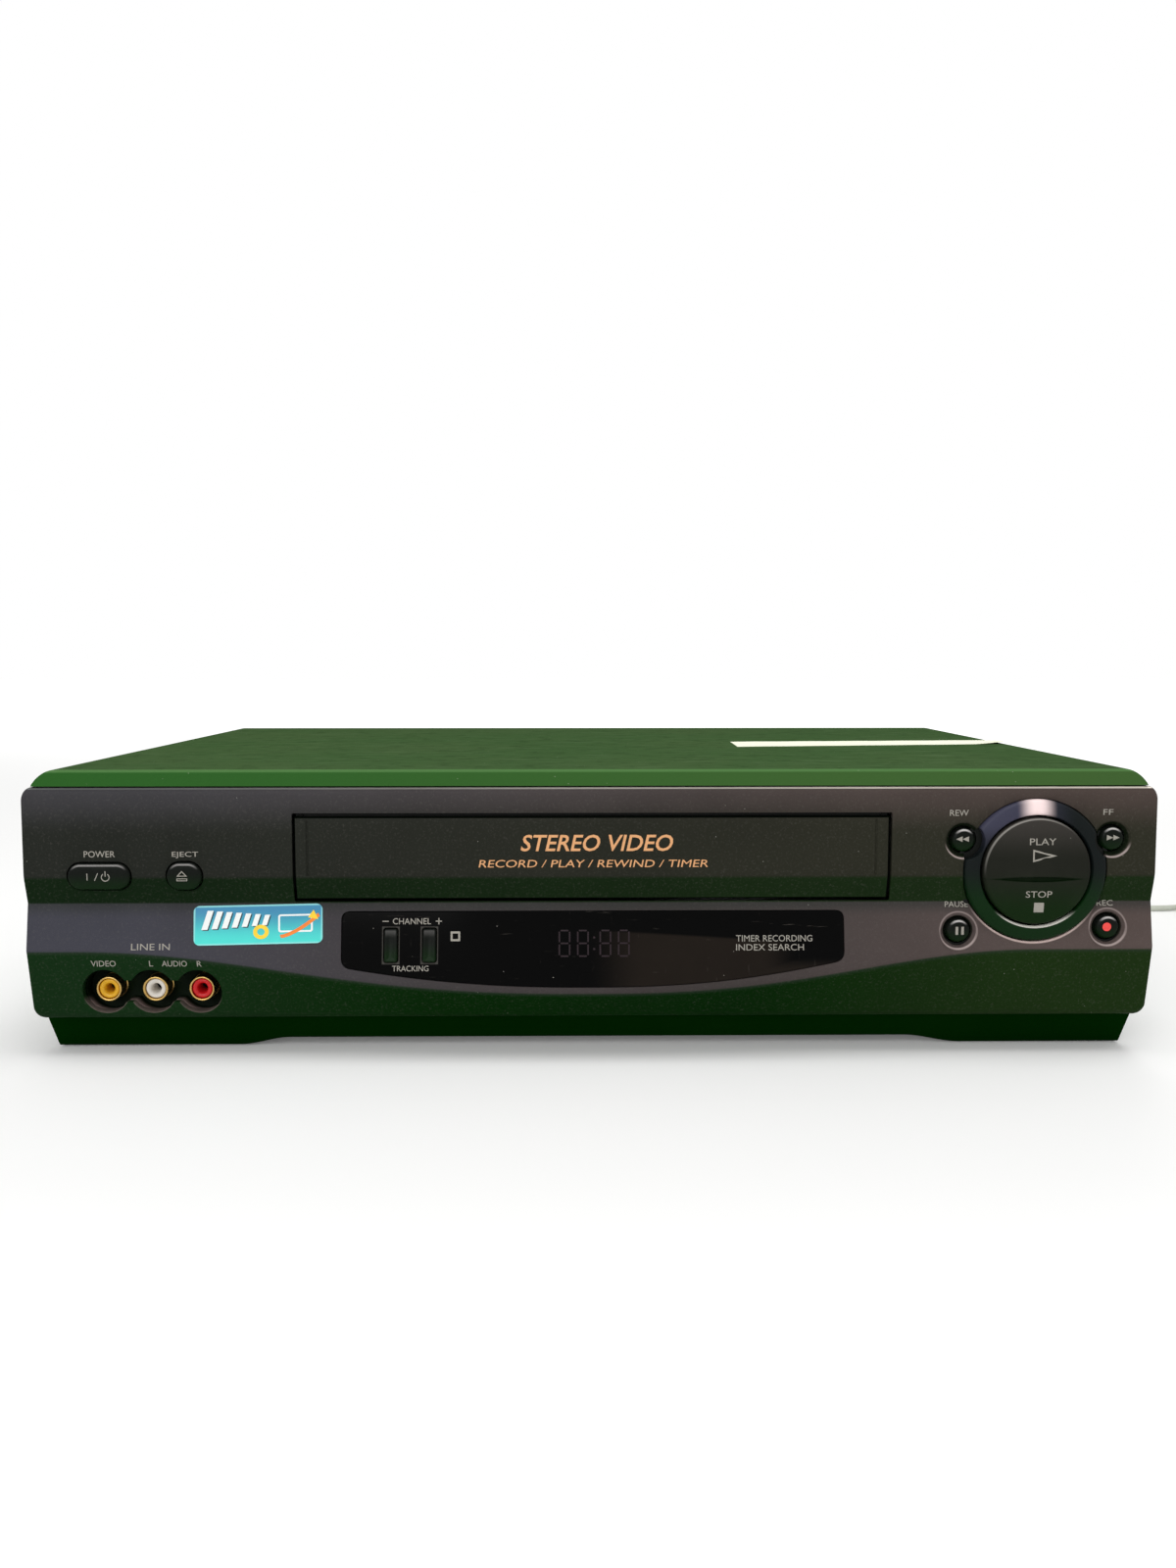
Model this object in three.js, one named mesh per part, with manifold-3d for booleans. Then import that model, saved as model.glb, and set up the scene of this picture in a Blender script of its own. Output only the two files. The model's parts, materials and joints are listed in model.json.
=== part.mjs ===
// A front-loading VHS video cassette recorder, in millimetres.
// +X is to the right as the front is looked at, +Y to the rear, +Z up. Every place below is given with
// Y = 0 at the plane of the front panel, and the last group moves the whole to its own frame, whose
// origin lies under the middle of the housing, on the surface that it stands on.
import * as THREE from "three";
import { mergeVertices } from "three/addons/utils/BufferGeometryUtils.js";
import Module from "manifold-3d";

const wasm = await Module();
wasm.setup();

// Driving dimensions of the housing.
const bezelWidth = 361;
const bezelTop = 88.8;
const bezelBottom = 13;
const coverStep = 5.2; // the cover's top stands so far above the panel's
const totalHeight = bezelTop + coverStep;
const coverInset = 3; // the cover's sides stand so far inside the panel's
const coverWidth = bezelWidth - 2 * coverInset;
const coverRear = 225;
const clearance = 0.3; // between pieces that touch
const overrun = 2; // how far a cut runs past the face that it goes through
const sheet = 1; // steel sheet of the cover, the deck and the carriage
const wall = 2; // moulded walls
const sameSpot = 1e-5; // points closer than this are one

// The front panel's faces, from the top down: a near upright upper face, a band that leans back under
// the crease, a groove, a ledge that leans out, and a lower face that leans back to the bottom edge.
const face = {
  topRound: 3.4,
  topLean: 0.35,
  creaseHeight: 60,
  creaseOut: 0.46,
  grooveHeight: 51.5,
  grooveIn: 1.55,
  ledgeSlope: 0.188, // forward per unit down
  ledgeSideHeight: 36.4,
  ledgeDrop: 13.5, // how far the ledge's edge dips in the middle
  ledgeLeft: 164, ledgeRight: 142,
  ledgePowerShare: 1.26,
  ledgeRound: 0.7,
  lipHeight: 15.3,
  lipIn: 2,
  bottomIn: 4.2,
  depth: 15,
  cornerRadius: 3,
  stations: 12,
};

// The cassette's way in.
const doorHole = { left: -95.3, right: 95.5, bottom: 51.9, top: 80.6 };
const doorGap = 0.85;

// Facets of round pieces.
const round = { fine: 24, medium: 14, small: 8 };

// How far each kind of key travels.
const keyTravel = 0.8;

const finish = {
  bezelPlastic: { color: 0x2c2f2b, roughness: 0.55, metalness: 0 },
  doorPlastic: { color: 0x23271f, roughness: 0.5, metalness: 0 },
  coverPaint: { color: 0x36482f, roughness: 0.6, metalness: 0.2 },
  basePlastic: { color: 0x0d2409, roughness: 0.6, metalness: 0 },
  keyPlastic: { color: 0x161a16, roughness: 0.3, metalness: 0 },
  ringMetal: { color: 0x35363c, roughness: 0.3, metalness: 0.7 },
  smokedWindow: { color: 0x0b0a0a, roughness: 0.08, metalness: 0 },
  blackPlastic: { color: 0x121212, roughness: 0.6, metalness: 0 },
  boardResin: { color: 0x8a6a38, roughness: 0.6, metalness: 0 },
  steel: { color: 0xa9adb0, roughness: 0.4, metalness: 0.8 },
  aluminium: { color: 0xc4c6c8, roughness: 0.25, metalness: 0.9 },
  brass: { color: 0xc9a64f, roughness: 0.3, metalness: 0.9 },
  yellow: { color: 0xf0c21a, roughness: 0.45, metalness: 0 },
  white: { color: 0xe8e6dc, roughness: 0.45, metalness: 0 },
  red: { color: 0xc4161c, roughness: 0.45, metalness: 0 },
  rubber: { color: 0x1b1b1b, roughness: 0.9, metalness: 0 },
  whitePlastic: { color: 0xd9d8cf, roughness: 0.5, metalness: 0 },
  cordJacket: { color: 0xd8d8cc, roughness: 0.5, metalness: 0 },
  copper: { color: 0x9c5a34, roughness: 0.4, metalness: 0.8 },
};

// Solids and their booleans.

/** A closed geometry as a solid, turned the right way out. */
function solid(geometry) {
  const bare = new THREE.BufferGeometry();
  bare.setAttribute("position", geometry.attributes.position);
  bare.setIndex(geometry.index);
  const merged = mergeVertices(bare);
  const place = merged.attributes.position;
  const index = merged.index.array;
  const corners = [0, 1, 2].map(() => new THREE.Vector3());
  const triangles = [];
  let volume = 0;
  for (let i = 0; i < index.length; i += corners.length) {
    const three = [index[i], index[i + 1], index[i + 2]];
    if (new Set(three).size < corners.length) continue;
    triangles.push(three);
    three.forEach((vertex, k) => corners[k].fromBufferAttribute(place, vertex));
    volume += corners[0].dot(corners[1].clone().cross(corners[2]));
  }
  if (volume < 0) triangles.forEach((three) => three.reverse());
  return new wasm.Manifold(new wasm.Mesh({
    numProp: 3,
    vertProperties: Float32Array.from(place.array),
    triVerts: Uint32Array.from(triangles.flat()),
  }));
}

const join = (...bodies) => bodies.flat().reduce((all, next) => all.add(next));
const cut = (body, ...tools) => tools.flat().reduce((left, tool) => left.subtract(tool), body);

/** A box between two corners. */
function box(x0, x1, y0, y1, z0, z1) {
  const block = new THREE.BoxGeometry(x1 - x0, y1 - y0, z1 - z0);
  return solid(block.translate((x0 + x1) / 2, (y0 + y1) / 2, (z0 + z1) / 2));
}

/** A round bar along Z from a low to a high end, tapered where topRadius differs. */
function post(x, y, low, high, radius, sides = round.medium, topRadius = radius) {
  const bar = new THREE.CylinderGeometry(topRadius, radius, high - low, sides);
  return solid(bar.rotateX(Math.PI / 2).translate(x, y, (low + high) / 2));
}

/** A round bar along Y, tapered from the front radius to the back radius. */
function rod(x, z, front, back, radius, sides = round.medium, backRadius = radius) {
  const bar = new THREE.CylinderGeometry(backRadius, radius, back - front, sides);
  return solid(bar.translate(x, (front + back) / 2, z));
}

/** A round bar along X. */
function axle(y, z, left, right, radius, sides = round.small) {
  const bar = new THREE.CylinderGeometry(radius, radius, right - left, sides);
  return solid(bar.rotateZ(-Math.PI / 2).translate((left + right) / 2, y, z));
}

/** A flat outline in X and Z, carried along Y. */
function frontPlate(shape, front, back, curveSegments = round.small / 2) {
  const plate = new THREE.ExtrudeGeometry(shape, { depth: back - front, bevelEnabled: false, curveSegments });
  return solid(plate.rotateX(Math.PI / 2).translate(0, back, 0));
}

/** A flat outline in X and Y, carried up along Z. */
function floorPlate(shape, low, high, curveSegments = round.small / 2) {
  const plate = new THREE.ExtrudeGeometry(shape, { depth: high - low, bevelEnabled: false, curveSegments });
  return solid(plate.translate(0, 0, low));
}

/** A flat outline in Y and Z, carried along X. */
function sidePlate(shape, left, right, curveSegments = round.small / 2) {
  const plate = new THREE.ExtrudeGeometry(shape, { depth: right - left, bevelEnabled: false, curveSegments });
  return solid(plate.rotateY(Math.PI / 2).rotateX(Math.PI / 2).translate(left, 0, 0));
}

/** A turned piece: a profile of [radius, height] points, closed on the axis, about Z through (x, y). */
function turned(profile, x, y, sides = round.fine) {
  const lathe = new THREE.LatheGeometry(profile.map(([r, h]) => new THREE.Vector2(r, h)), sides);
  return solid(lathe.rotateX(Math.PI / 2).translate(x, y, 0));
}

/** A turned piece about Y through (x, z): its profile's heights are places along Y. */
function turnedAlongY(profile, x, z, sides = round.fine) {
  const lathe = new THREE.LatheGeometry(profile.map(([r, h]) => new THREE.Vector2(r, h)), sides);
  return solid(lathe.translate(x, 0, z));
}

/** An outline from corner points. */
const outline = (points) => new THREE.Shape(points.map(([a, b]) => new THREE.Vector2(a, b)));

/** An upright or lying rectangle with rounded corners. */
function roundedRectangle(centreA, centreB, width, height, radius) {
  const [left, right] = [centreA - width / 2, centreA + width / 2];
  const [low, high] = [centreB - height / 2, centreB + height / 2];
  const shape = new THREE.Shape();
  shape.moveTo(left + radius, low);
  shape.lineTo(right - radius, low);
  shape.absarc(right - radius, low + radius, radius, -Math.PI / 2, 0);
  shape.lineTo(right, high - radius);
  shape.absarc(right - radius, high - radius, radius, 0, Math.PI / 2);
  shape.lineTo(left + radius, high);
  shape.absarc(left + radius, high - radius, radius, Math.PI / 2, Math.PI);
  shape.lineTo(left, low + radius);
  shape.absarc(left + radius, low + radius, radius, Math.PI, 1.5 * Math.PI);
  return shape;
}

/** A slot with round ends between two points, in the outline's own plane. */
function slotOutline(from, to, radius) {
  const start = new THREE.Vector2(...from);
  const end = new THREE.Vector2(...to);
  const turn = end.clone().sub(start).angle();
  const shape = new THREE.Shape();
  shape.absarc(end.x, end.y, radius, turn - Math.PI / 2, turn + Math.PI / 2);
  shape.absarc(start.x, start.y, radius, turn + Math.PI / 2, turn + 1.5 * Math.PI);
  return shape;
}

/** A solid through a row of closed rings of as many points each, which follow each other along X or Y. */
function loft(rings, along) {
  const count = rings[0].length;
  const index = [];
  for (let row = 0; row + 1 < rings.length; row++) {
    for (let i = 0; i < count; i++) {
      const a = row * count + i;
      const b = row * count + (i + 1) % count;
      index.push(a, b, b + count, a, b + count, a + count);
    }
  }
  const capOf = (ring) => {
    const flat = ring.map((point) => new THREE.Vector2(...point.filter((_, k) => k !== along)));
    const faces = THREE.ShapeUtils.triangulateShape(flat, []);
    const faceArea = faces.reduce((sum, three) => sum + THREE.ShapeUtils.area(three.map((i) => flat[i])), 0);
    return faceArea * THREE.ShapeUtils.area(flat) > 0 ? faces : faces.map(([a, b, c]) => [a, c, b]);
  };
  const last = (rings.length - 1) * count;
  capOf(rings[0]).forEach(([a, b, c]) => index.push(a, c, b));
  capOf(rings.at(-1)).forEach(([a, b, c]) => index.push(last + a, last + b, last + c));
  const geometry = new THREE.BufferGeometry();
  geometry.setAttribute("position", new THREE.Float32BufferAttribute(rings.flat(2), 3));
  geometry.setIndex(index);
  return solid(geometry);
}

/** Evenly spaced values from low to high. */
const spread = (low, high, steps) => Array.from({ length: steps + 1 }, (_, i) => low + (high - low) * i / steps);

const recorder = new THREE.Group();
const housing = new THREE.Group();
const cord = new THREE.Group();
recorder.add(housing, cord);

/** Adds a finished piece under its name, to the housing or to the cord. */
function add(name, body, look, group = housing) {
  const mesh = body.getMesh();
  const geometry = new THREE.BufferGeometry();
  geometry.setAttribute("position", new THREE.Float32BufferAttribute(mesh.vertProperties, 3));
  geometry.setIndex(Array.from(mesh.triVerts));
  const piece = new THREE.Mesh(geometry, new THREE.MeshStandardMaterial({ ...look, flatShading: true }));
  piece.name = name;
  group.add(piece);
}

// The front panel.

/** Height of the ledge's edge, which runs level at the sides and dips in a smile in the middle. */
function ledgeEdge(x) {
  const way = Math.min(Math.abs(x) / (x < 0 ? face.ledgeLeft : face.ledgeRight), 1) ** face.ledgePowerShare;
  return face.ledgeSideHeight - face.ledgeDrop * (1 + Math.cos(Math.PI * way)) / 2;
}

/** Where the ledge's face stands at a height. */
const ledgeFace = (z) => face.grooveIn - face.ledgeSlope * (face.grooveHeight - z);

/** The panel's outer face at a place x, as [y, z] points from the top edge down. */
function frontProfile(x) {
  const edge = ledgeEdge(x);
  return [
    [face.topRound / 2, bezelTop],
    [face.topLean, bezelTop - face.topRound / 2],
    [-face.creaseOut, face.creaseHeight + face.topRound / 4],
    [-face.creaseOut / 2, face.creaseHeight - face.topRound / 4],
    [face.grooveIn, face.grooveHeight],
    [ledgeFace(edge + face.ledgeRound), edge + face.ledgeRound],
    [ledgeFace(edge) + face.ledgeRound / 4, edge - face.ledgeRound / 2],
    [face.lipIn, face.lipHeight],
    [face.bottomIn - face.topRound / 4, bezelBottom + face.ledgeRound],
    [face.bottomIn + face.topRound / 4, bezelBottom],
  ];
}

/** Where the panel's outer face stands at a place x and a height. */
function frontAt(x, z) {
  const profile = frontProfile(x);
  const below = profile.findIndex(([, height]) => height <= z);
  const [y1, z1] = profile[Math.max(below, 1)];
  const [y0, z0] = profile[Math.max(below, 1) - 1];
  return y0 + (y1 - y0) * (z0 - z) / (z0 - z1);
}

/** The panel as a full block, or as the block of air behind its wall. */
function panelBlock(back, inset) {
  const half = bezelWidth / 2;
  const rings = spread(-1, 1, face.stations).map((share) => {
    const front = frontProfile(share * half).map(([y, z], i, all) => {
      const up = i < 2 ? -inset : i > all.length - 3 ? inset : 0;
      return [share * (half - inset), y + inset, z + up];
    });
    const [low, high] = [bezelBottom + inset, bezelTop - inset];
    return [...front, [share * (half - inset), back, low], [share * (half - inset), back, high]];
  });
  return loft(rings, 0);
}

/** The panel's outline from the front, with its rounded corners. */
function panelOutline() {
  return roundedRectangle(0, (bezelBottom + bezelTop) / 2, bezelWidth, bezelTop - bezelBottom, face.cornerRadius);
}

/** Outline of the window: straight above, and its lower edge keeps to the ledge's edge. */
const windowPlace = { left: -80.4, right: 80.9, top: 48.9, lip: 1.8, sideLip: 1.6, corner: 3, steps: 12 };
function windowOutline(inset) {
  const left = windowPlace.left + inset;
  const right = windowPlace.right - inset;
  const top = windowPlace.top - inset;
  const lowEdge = (x) => ledgeEdge(x) + windowPlace.lip + windowPlace.sideLip * (x / right) ** 2 + inset;
  const shape = new THREE.Shape();
  shape.moveTo(left + windowPlace.corner, top);
  shape.absarc(left + windowPlace.corner, top - windowPlace.corner, windowPlace.corner, Math.PI / 2, Math.PI);
  spread(left, right, windowPlace.steps).forEach((x, i, all) => {
    const atEnd = i === 0 || i === all.length - 1;
    const inwards = i === 0 ? windowPlace.corner / 3 : -windowPlace.corner / 3;
    if (atEnd && i === 0) shape.lineTo(x, lowEdge(x) + windowPlace.corner);
    shape.lineTo(atEnd ? x + inwards : x, lowEdge(x) + (atEnd ? windowPlace.corner / 4 : 0));
    if (atEnd && i > 0) shape.lineTo(x, lowEdge(x) + windowPlace.corner);
  });
  const right0 = right - windowPlace.corner;
  shape.absarc(right0, top - windowPlace.corner, windowPlace.corner, 0, Math.PI / 2);
  return shape;
}

// The keys on the panel: place, size and outline of each. An inset counts from the panel's nearer end.
const pillInset = 24.1;
const ejectInset = 51;
const wellInset = 39;
const rockerInset = 38.9;
const keyInsets = { rewind: 62, forward: 14.35, pause: 62.8, record: 14.5 };
const fromLeft = (inset) => inset - bezelWidth / 2;
const fromRight = (inset) => bezelWidth / 2 - inset;
const pillKey = { x: fromLeft(pillInset), z: 60.6, width: 19.8, height: 8.5, radius: 4.2, proud: 1 };
const ejectKey = { x: fromLeft(ejectInset), z: 60.65, width: 11.1, height: 8.9, radius: 4.3, proud: 1 };
const roundKey = { radius: 4.1, holeRadius: 4.45, wellRadius: 6, wellDepth: 1.6, proud: 1.2, crown: 0.9,
  shoulderShare: 0.85 };
const roundKeyPlaces = {
  rewind_button: [fromRight(keyInsets.rewind), 71.7],
  fast_forward_button: [fromRight(keyInsets.forward), 72.1],
  pause_button: [fromRight(keyInsets.pause), 42.2],
  record_button: [fromRight(keyInsets.record), 43.2],
};
const keyGap = 0.45;
const channelKey = { width: 4.2, height: 10.4, radius: 0.6, z: 38.1, down: -64.5, up: -52.2, proud: 0.5 };

// The play and stop rocker and the ring round it.
const rocker = {
  x: fromRight(rockerInset), z: 61.9, radius: 17.2, proud: 2.2, crown: 1.1, skirt: 6,
  creaseHeight: 59.5, creaseHalf: 15, creaseDepth: 0.8, tilt: 3,
  crownShares: [[0, 1], [0.5, 0.75], [0.8, 0.3]], // of the radius and the crown
};
const ring = { outer: 22.9, inner: 17.9, proud: 1.4, lip: 0.8, seat: 2.6 };

// The front jacks in their three-lobed well.
const jackWell = { x: fromLeft(wellInset), z: 22.9, pitch: 15, radius: 7.4, neck: 3.7, depth: 9 };
const jack = { tip: 3.5, barrel: 4.1, insert: 3.2, bore: 1.55, flange: 5.1 };

/** The jack well's outline: three lobes with narrower necks between them. */
function wellOutline(grow) {
  const radius = jackWell.radius + grow;
  const open = Math.asin((jackWell.neck + grow) / radius);
  const shape = new THREE.Shape();
  const lobes = [-1, 0, 1].map((i) => jackWell.x + i * jackWell.pitch);
  shape.absarc(lobes[0], jackWell.z, radius, open, 2 * Math.PI - open);
  shape.absarc(lobes[1], jackWell.z, radius, Math.PI + open, 2 * Math.PI - open);
  shape.absarc(lobes[2], jackWell.z, radius, Math.PI + open, 3 * Math.PI - open);
  shape.absarc(lobes[1], jackWell.z, radius, open, Math.PI - open);
  return shape;
}

// The door's hinge, behind the panel above the opening.
const hinge = { y: 3.8, z: 82, barrel: 1.1, pin: 0.9, bore: 1.1, arm: 2, reach: 3.2, boss: 2.4 };

/** The hinge bosses at both ends of the opening, with their bores. */
function hingeBosses() {
  return [[doorHole.left, -1], [doorHole.right, 1]].map(([edge, side]) => {
    const inner = edge + side * clearance;
    const outer = edge + side * hinge.reach;
    const [x0, x1] = [Math.min(inner, outer), Math.max(inner, outer)];
    const front = face.topLean + wall / 2;
    const block = box(x0, x1, front, hinge.y + hinge.boss, hinge.z - hinge.boss, hinge.z + hinge.boss);
    return cut(block, axle(hinge.y, hinge.z, x0 - overrun, x1 + overrun, hinge.bore));
  });
}

/** The rim that goes back from the opening's sides and floor. */
const rim = { depth: 10, thickness: 1.6 };
function openingRim() {
  const height = doorHole.top - hinge.boss - overrun;
  const outer = box(doorHole.left - rim.thickness, doorHole.right + rim.thickness,
    face.grooveIn, rim.depth, doorHole.bottom - rim.thickness, height);
  const inner = box(doorHole.left, doorHole.right, 0, rim.depth + overrun, doorHole.bottom, height + overrun);
  return cut(outer, inner);
}

/** Cone-shaped wells and bores of the four round keys. */
function roundKeyHoles() {
  return Object.values(roundKeyPlaces).flatMap(([x, z]) => {
    const front = frontAt(x, z);
    const mouth = roundKey.wellRadius + (roundKey.wellRadius - roundKey.holeRadius) * overrun / roundKey.wellDepth;
    return [
      rod(x, z, front - overrun, front + roundKey.wellDepth, mouth, round.medium, roundKey.holeRadius),
      rod(x, z, front, face.depth, roundKey.holeRadius),
    ];
  });
}

/** A collar behind the panel's wall that guides a round key. */
const collar = { length: 4, thickness: 1.2 };
function roundKeyCollars() {
  return Object.values(roundKeyPlaces).map(([x, z]) => {
    const front = frontAt(x, z) + wall / 2;
    return rod(x, z, front, front + roundKey.wellDepth + collar.length, roundKey.wellRadius + collar.thickness,
      round.small);
  });
}

/** The front panel with all its openings. */
function frontBezel() {
  const block = panelBlock(face.depth, 0).intersect(frontPlate(panelOutline(), -bezelTop, bezelTop));
  const air = panelBlock(face.depth + overrun, wall);
  const shell = join(cut(block, air), openingRim(), roundKeyCollars(), rod(rocker.x, rocker.z,
    face.creaseOut + wall / 2, ring.seat + wall, ring.outer + wall / 2, round.fine));
  const pill = roundedRectangle(pillKey.x, pillKey.z, pillKey.width + 2 * keyGap, pillKey.height + 2 * keyGap,
    pillKey.radius + keyGap);
  const eject = roundedRectangle(ejectKey.x, ejectKey.z, ejectKey.width + 2 * keyGap, ejectKey.height + 2 * keyGap,
    ejectKey.radius + keyGap);
  const reach = face.depth + overrun;
  const front = -face.depth;
  const doorway = box(doorHole.left, doorHole.right, front, reach, doorHole.bottom, doorHole.top);
  const opened = cut(
    shell,
    doorway,
    frontPlate(pill, front, reach),
    frontPlate(eject, front, reach),
    frontPlate(windowOutline(0), front, reach),
    frontPlate(wellOutline(0), front, reach),
    rod(rocker.x, rocker.z, front, ring.seat, ring.outer + clearance, round.fine),
    rod(rocker.x, rocker.z, front, reach, ring.inner, round.fine),
    roundKeyHoles(),
  );
  return join(opened, hingeBosses(), jackWellCup(), windowShelf());
}

/** The cup behind the jack well: its wavy wall and its floor, bored for the jacks. */
function jackWellCup() {
  const front = face.lipIn;
  const cup = frontPlate(wellOutline(wall / 2), front, jackWell.depth + wall / 2);
  const inside = frontPlate(wellOutline(0), -face.depth, jackWell.depth);
  const bores = [-1, 0, 1].map((i) => rod(jackWell.x + i * jackWell.pitch, jackWell.z, 0, face.depth,
    jack.barrel + clearance));
  return cut(cup, inside, bores);
}

/** A slab that leans with the ledge, between two depths behind its face. */
function leaningSlab(from, to) {
  const slab = new THREE.BoxGeometry(bezelWidth, to - from, 2 * bezelTop);
  slab.translate(0, ledgeFace(0) + (from + to) / 2, 0);
  return solid(slab.applyMatrix4(new THREE.Matrix4().makeShear(0, 0, 0, 0, 0, face.ledgeSlope)));
}

/** A narrow shelf behind the window's edge, on which the window rests. */
const shelf = { width: 1.5, thickness: 1.2 };
function windowShelf() {
  const plate = cut(frontPlate(windowOutline(-shelf.width), -face.depth, face.depth),
    frontPlate(windowOutline(shelf.width), -face.depth, face.depth));
  return plate.intersect(leaningSlab(wall - clearance, wall + shelf.thickness));
}
add("front_bezel", frontBezel(), finish.bezelPlastic);

/** An outline's points, each spot once. */
function ringPoints(shape) {
  const points = shape.getPoints(round.small / 4);
  return points.filter((point, i) => point.distanceTo(points[(i + 1) % points.length]) > sameSpot);
}

/** A solid whose outline, drawn by make(inset), changes from step to step along Y; it may lean. */
function stepped(make, steps, lean = 0, leanFrom = 0) {
  const ringAt = ([y, inset]) => ringPoints(make(inset)).map((p) => [p.x, y + lean * (p.y - leanFrom), p.y]);
  return loft(steps.map(ringAt), 1);
}

// The switches that the keys press stand on the front board.
const board = { front: 22, thickness: 1.6, low: 17, notchHalf: 99.5, notchHeight: 49.5, topInset: 4.8, inset: 7.5 };
board.high = bezelTop - board.topInset;
board.half = bezelWidth / 2 - board.inset;
const tact = { side: 6, height: 3.4, plunger: 1.7, plungerReach: 0.9, gap: 0.1 };
const stemEnd = board.front - tact.height - tact.plungerReach - keyTravel - tact.gap;
const stem = { radius: 1.8 };

/** A key cap with a flange behind the panel's wall and a stem to its switch. */
function panelKey(key) {
  const front = frontAt(key.x, key.z) - key.proud;
  const make = (inset) => roundedRectangle(key.x, key.z, key.width - 2 * inset, key.height - 2 * inset,
    key.radius - inset);
  const seat = frontAt(key.x, key.z - key.height / 2 - keyGap) + wall + 2 * clearance;
  const flange = wall / 2;
  return join(
    stepped(make, [[front, 3 * keyGap], [front + key.proud / 4, keyGap], [front + key.proud, 0],
      [seat, 0], [seat, -2 * keyGap], [seat + flange, -2 * keyGap]]),
    rod(key.x, key.z, seat + flange / 2, stemEnd, stem.radius, round.small),
  );
}
add("power_button", panelKey(pillKey), finish.keyPlastic);
add("eject_button", panelKey(ejectKey), finish.keyPlastic);

/** A small round key with a domed front, which slides in its collar. */
function roundPanelKey(x, z) {
  const front = frontAt(x, z) - roundKey.proud + roundKey.wellDepth / 2;
  const seat = frontAt(x, z) + wall / 2 + roundKey.wellDepth + collar.length + clearance;
  const flange = roundKey.wellRadius;
  return join(turnedAlongY([
    [0, front], [roundKey.radius / 2, front + roundKey.crown / 5],
    [roundKey.radius * roundKey.shoulderShare, front + roundKey.crown],
    [roundKey.radius, front + 2 * roundKey.crown], [roundKey.radius, seat], [flange, seat],
    [flange, seat + wall / 2], [0, seat + wall / 2],
  ], x, z, round.medium), rod(x, z, seat + wall / 4, stemEnd, stem.radius, round.small));
}
Object.entries(roundKeyPlaces).forEach(([name, [x, z]]) => add(name, roundPanelKey(x, z), finish.keyPlastic));

// The window and its two channel keys.
const windowSeat = { thickness: wall - 2 * clearance, gap: 0.15 };
const channelHole = (x, grow) => roundedRectangle(x, channelKey.z, channelKey.width + 2 * grow,
  channelKey.height + 2 * grow, channelKey.radius + grow);

/** The window's plate, which leans with the ledge and is flush with it. */
function displayWindow() {
  const plate = frontPlate(windowOutline(windowSeat.gap), -face.depth, face.depth)
    .intersect(leaningSlab(windowSeat.gap, windowSeat.gap + windowSeat.thickness));
  const holes = [channelKey.down, channelKey.up].map((x) =>
    frontPlate(channelHole(x, clearance), -face.depth, face.depth));
  return cut(plate, holes);
}
add("display_window", displayWindow(), finish.smokedWindow);

/** A tall key in the window, with its flange behind the window's plate. */
function channelButton(x) {
  const front = ledgeFace(channelKey.z) - channelKey.proud;
  const seat = ledgeFace(channelKey.z) + wall + clearance;
  const make = (inset) => channelHole(x, -inset);
  const cap = stepped(make, [[front, keyGap], [front + channelKey.proud, 0], [seat, 0],
    [seat, -2 * keyGap], [seat + wall / 2, -2 * keyGap]], face.ledgeSlope, channelKey.z);
  return join(cap, rod(x, channelKey.z, seat, stemEnd, stem.radius, round.small));
}
add("channel_down_button", channelButton(channelKey.down), finish.keyPlastic);
add("channel_up_button", channelButton(channelKey.up), finish.keyPlastic);

// The ring and the rocker.

/** The trim ring, bitten by the wells of the two upper round keys. */
function controlRing() {
  const back = ring.seat - clearance;
  const front = frontAt(rocker.x, rocker.z) - ring.proud;
  const hoop = turnedAlongY([
    [ring.inner, front + ring.lip], [ring.inner + ring.lip, front], [ring.outer - ring.lip, front + ring.lip / 2],
    [ring.outer, front + 2 * ring.lip], [ring.outer, back], [ring.inner, back], [ring.inner, front + ring.lip],
  ], rocker.x, rocker.z);
  const bites = ["rewind_button", "fast_forward_button"].map((name) => {
    const [x, z] = roundKeyPlaces[name];
    return rod(x, z, -face.depth, face.depth, roundKey.wellRadius + clearance);
  });
  return cut(hoop, bites);
}
add("control_ring", controlRing(), finish.ringMetal);

// Fulcrum of the rocker: a post on the board meets the flat end of the rocker's boss.
const fulcrum = { y: 10, radius: 2, switchOff: 12 };

/** The rocker: a crowned disc with a lens-shaped groove between play and stop. */
function playStopRocker() {
  const front = frontAt(rocker.x, rocker.z) - rocker.proud;
  const inside = rocker.radius - wall;
  const disc = turnedAlongY([
    ...rocker.crownShares.map(([out, rise]) => [rocker.radius * out, front - rocker.crown * rise]),
    [rocker.radius - rocker.crown / 2, front + rocker.crown / 4],
    [rocker.radius, front + rocker.crown], [rocker.radius, rocker.skirt], [inside, rocker.skirt],
    [inside, front + wall], [0, front + wall],
  ], rocker.x, rocker.z);
  const lens = new THREE.Shape();
  lens.moveTo(rocker.x - rocker.creaseHalf, rocker.creaseHeight);
  lens.quadraticCurveTo(rocker.x, rocker.creaseHeight + rocker.creaseDepth, rocker.x + rocker.creaseHalf,
    rocker.creaseHeight);
  lens.quadraticCurveTo(rocker.x, rocker.creaseHeight - rocker.creaseDepth, rocker.x - rocker.creaseHalf,
    rocker.creaseHeight);
  const groove = frontPlate(lens, front - 2 * rocker.crown, front - rocker.crown + rocker.creaseDepth, 4);
  const boss = rod(rocker.x, rocker.z, front + wall / 2, fulcrum.y, fulcrum.radius, round.small);
  const stems = [-1, 1].map((side) => rod(rocker.x, rocker.z + side * fulcrum.switchOff, front + wall / 2,
    stemEnd, stem.radius, round.small));
  return cut(join(disc, boss, stems), groove);
}
add("play_stop_rocker", playStopRocker(), finish.keyPlastic);

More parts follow.
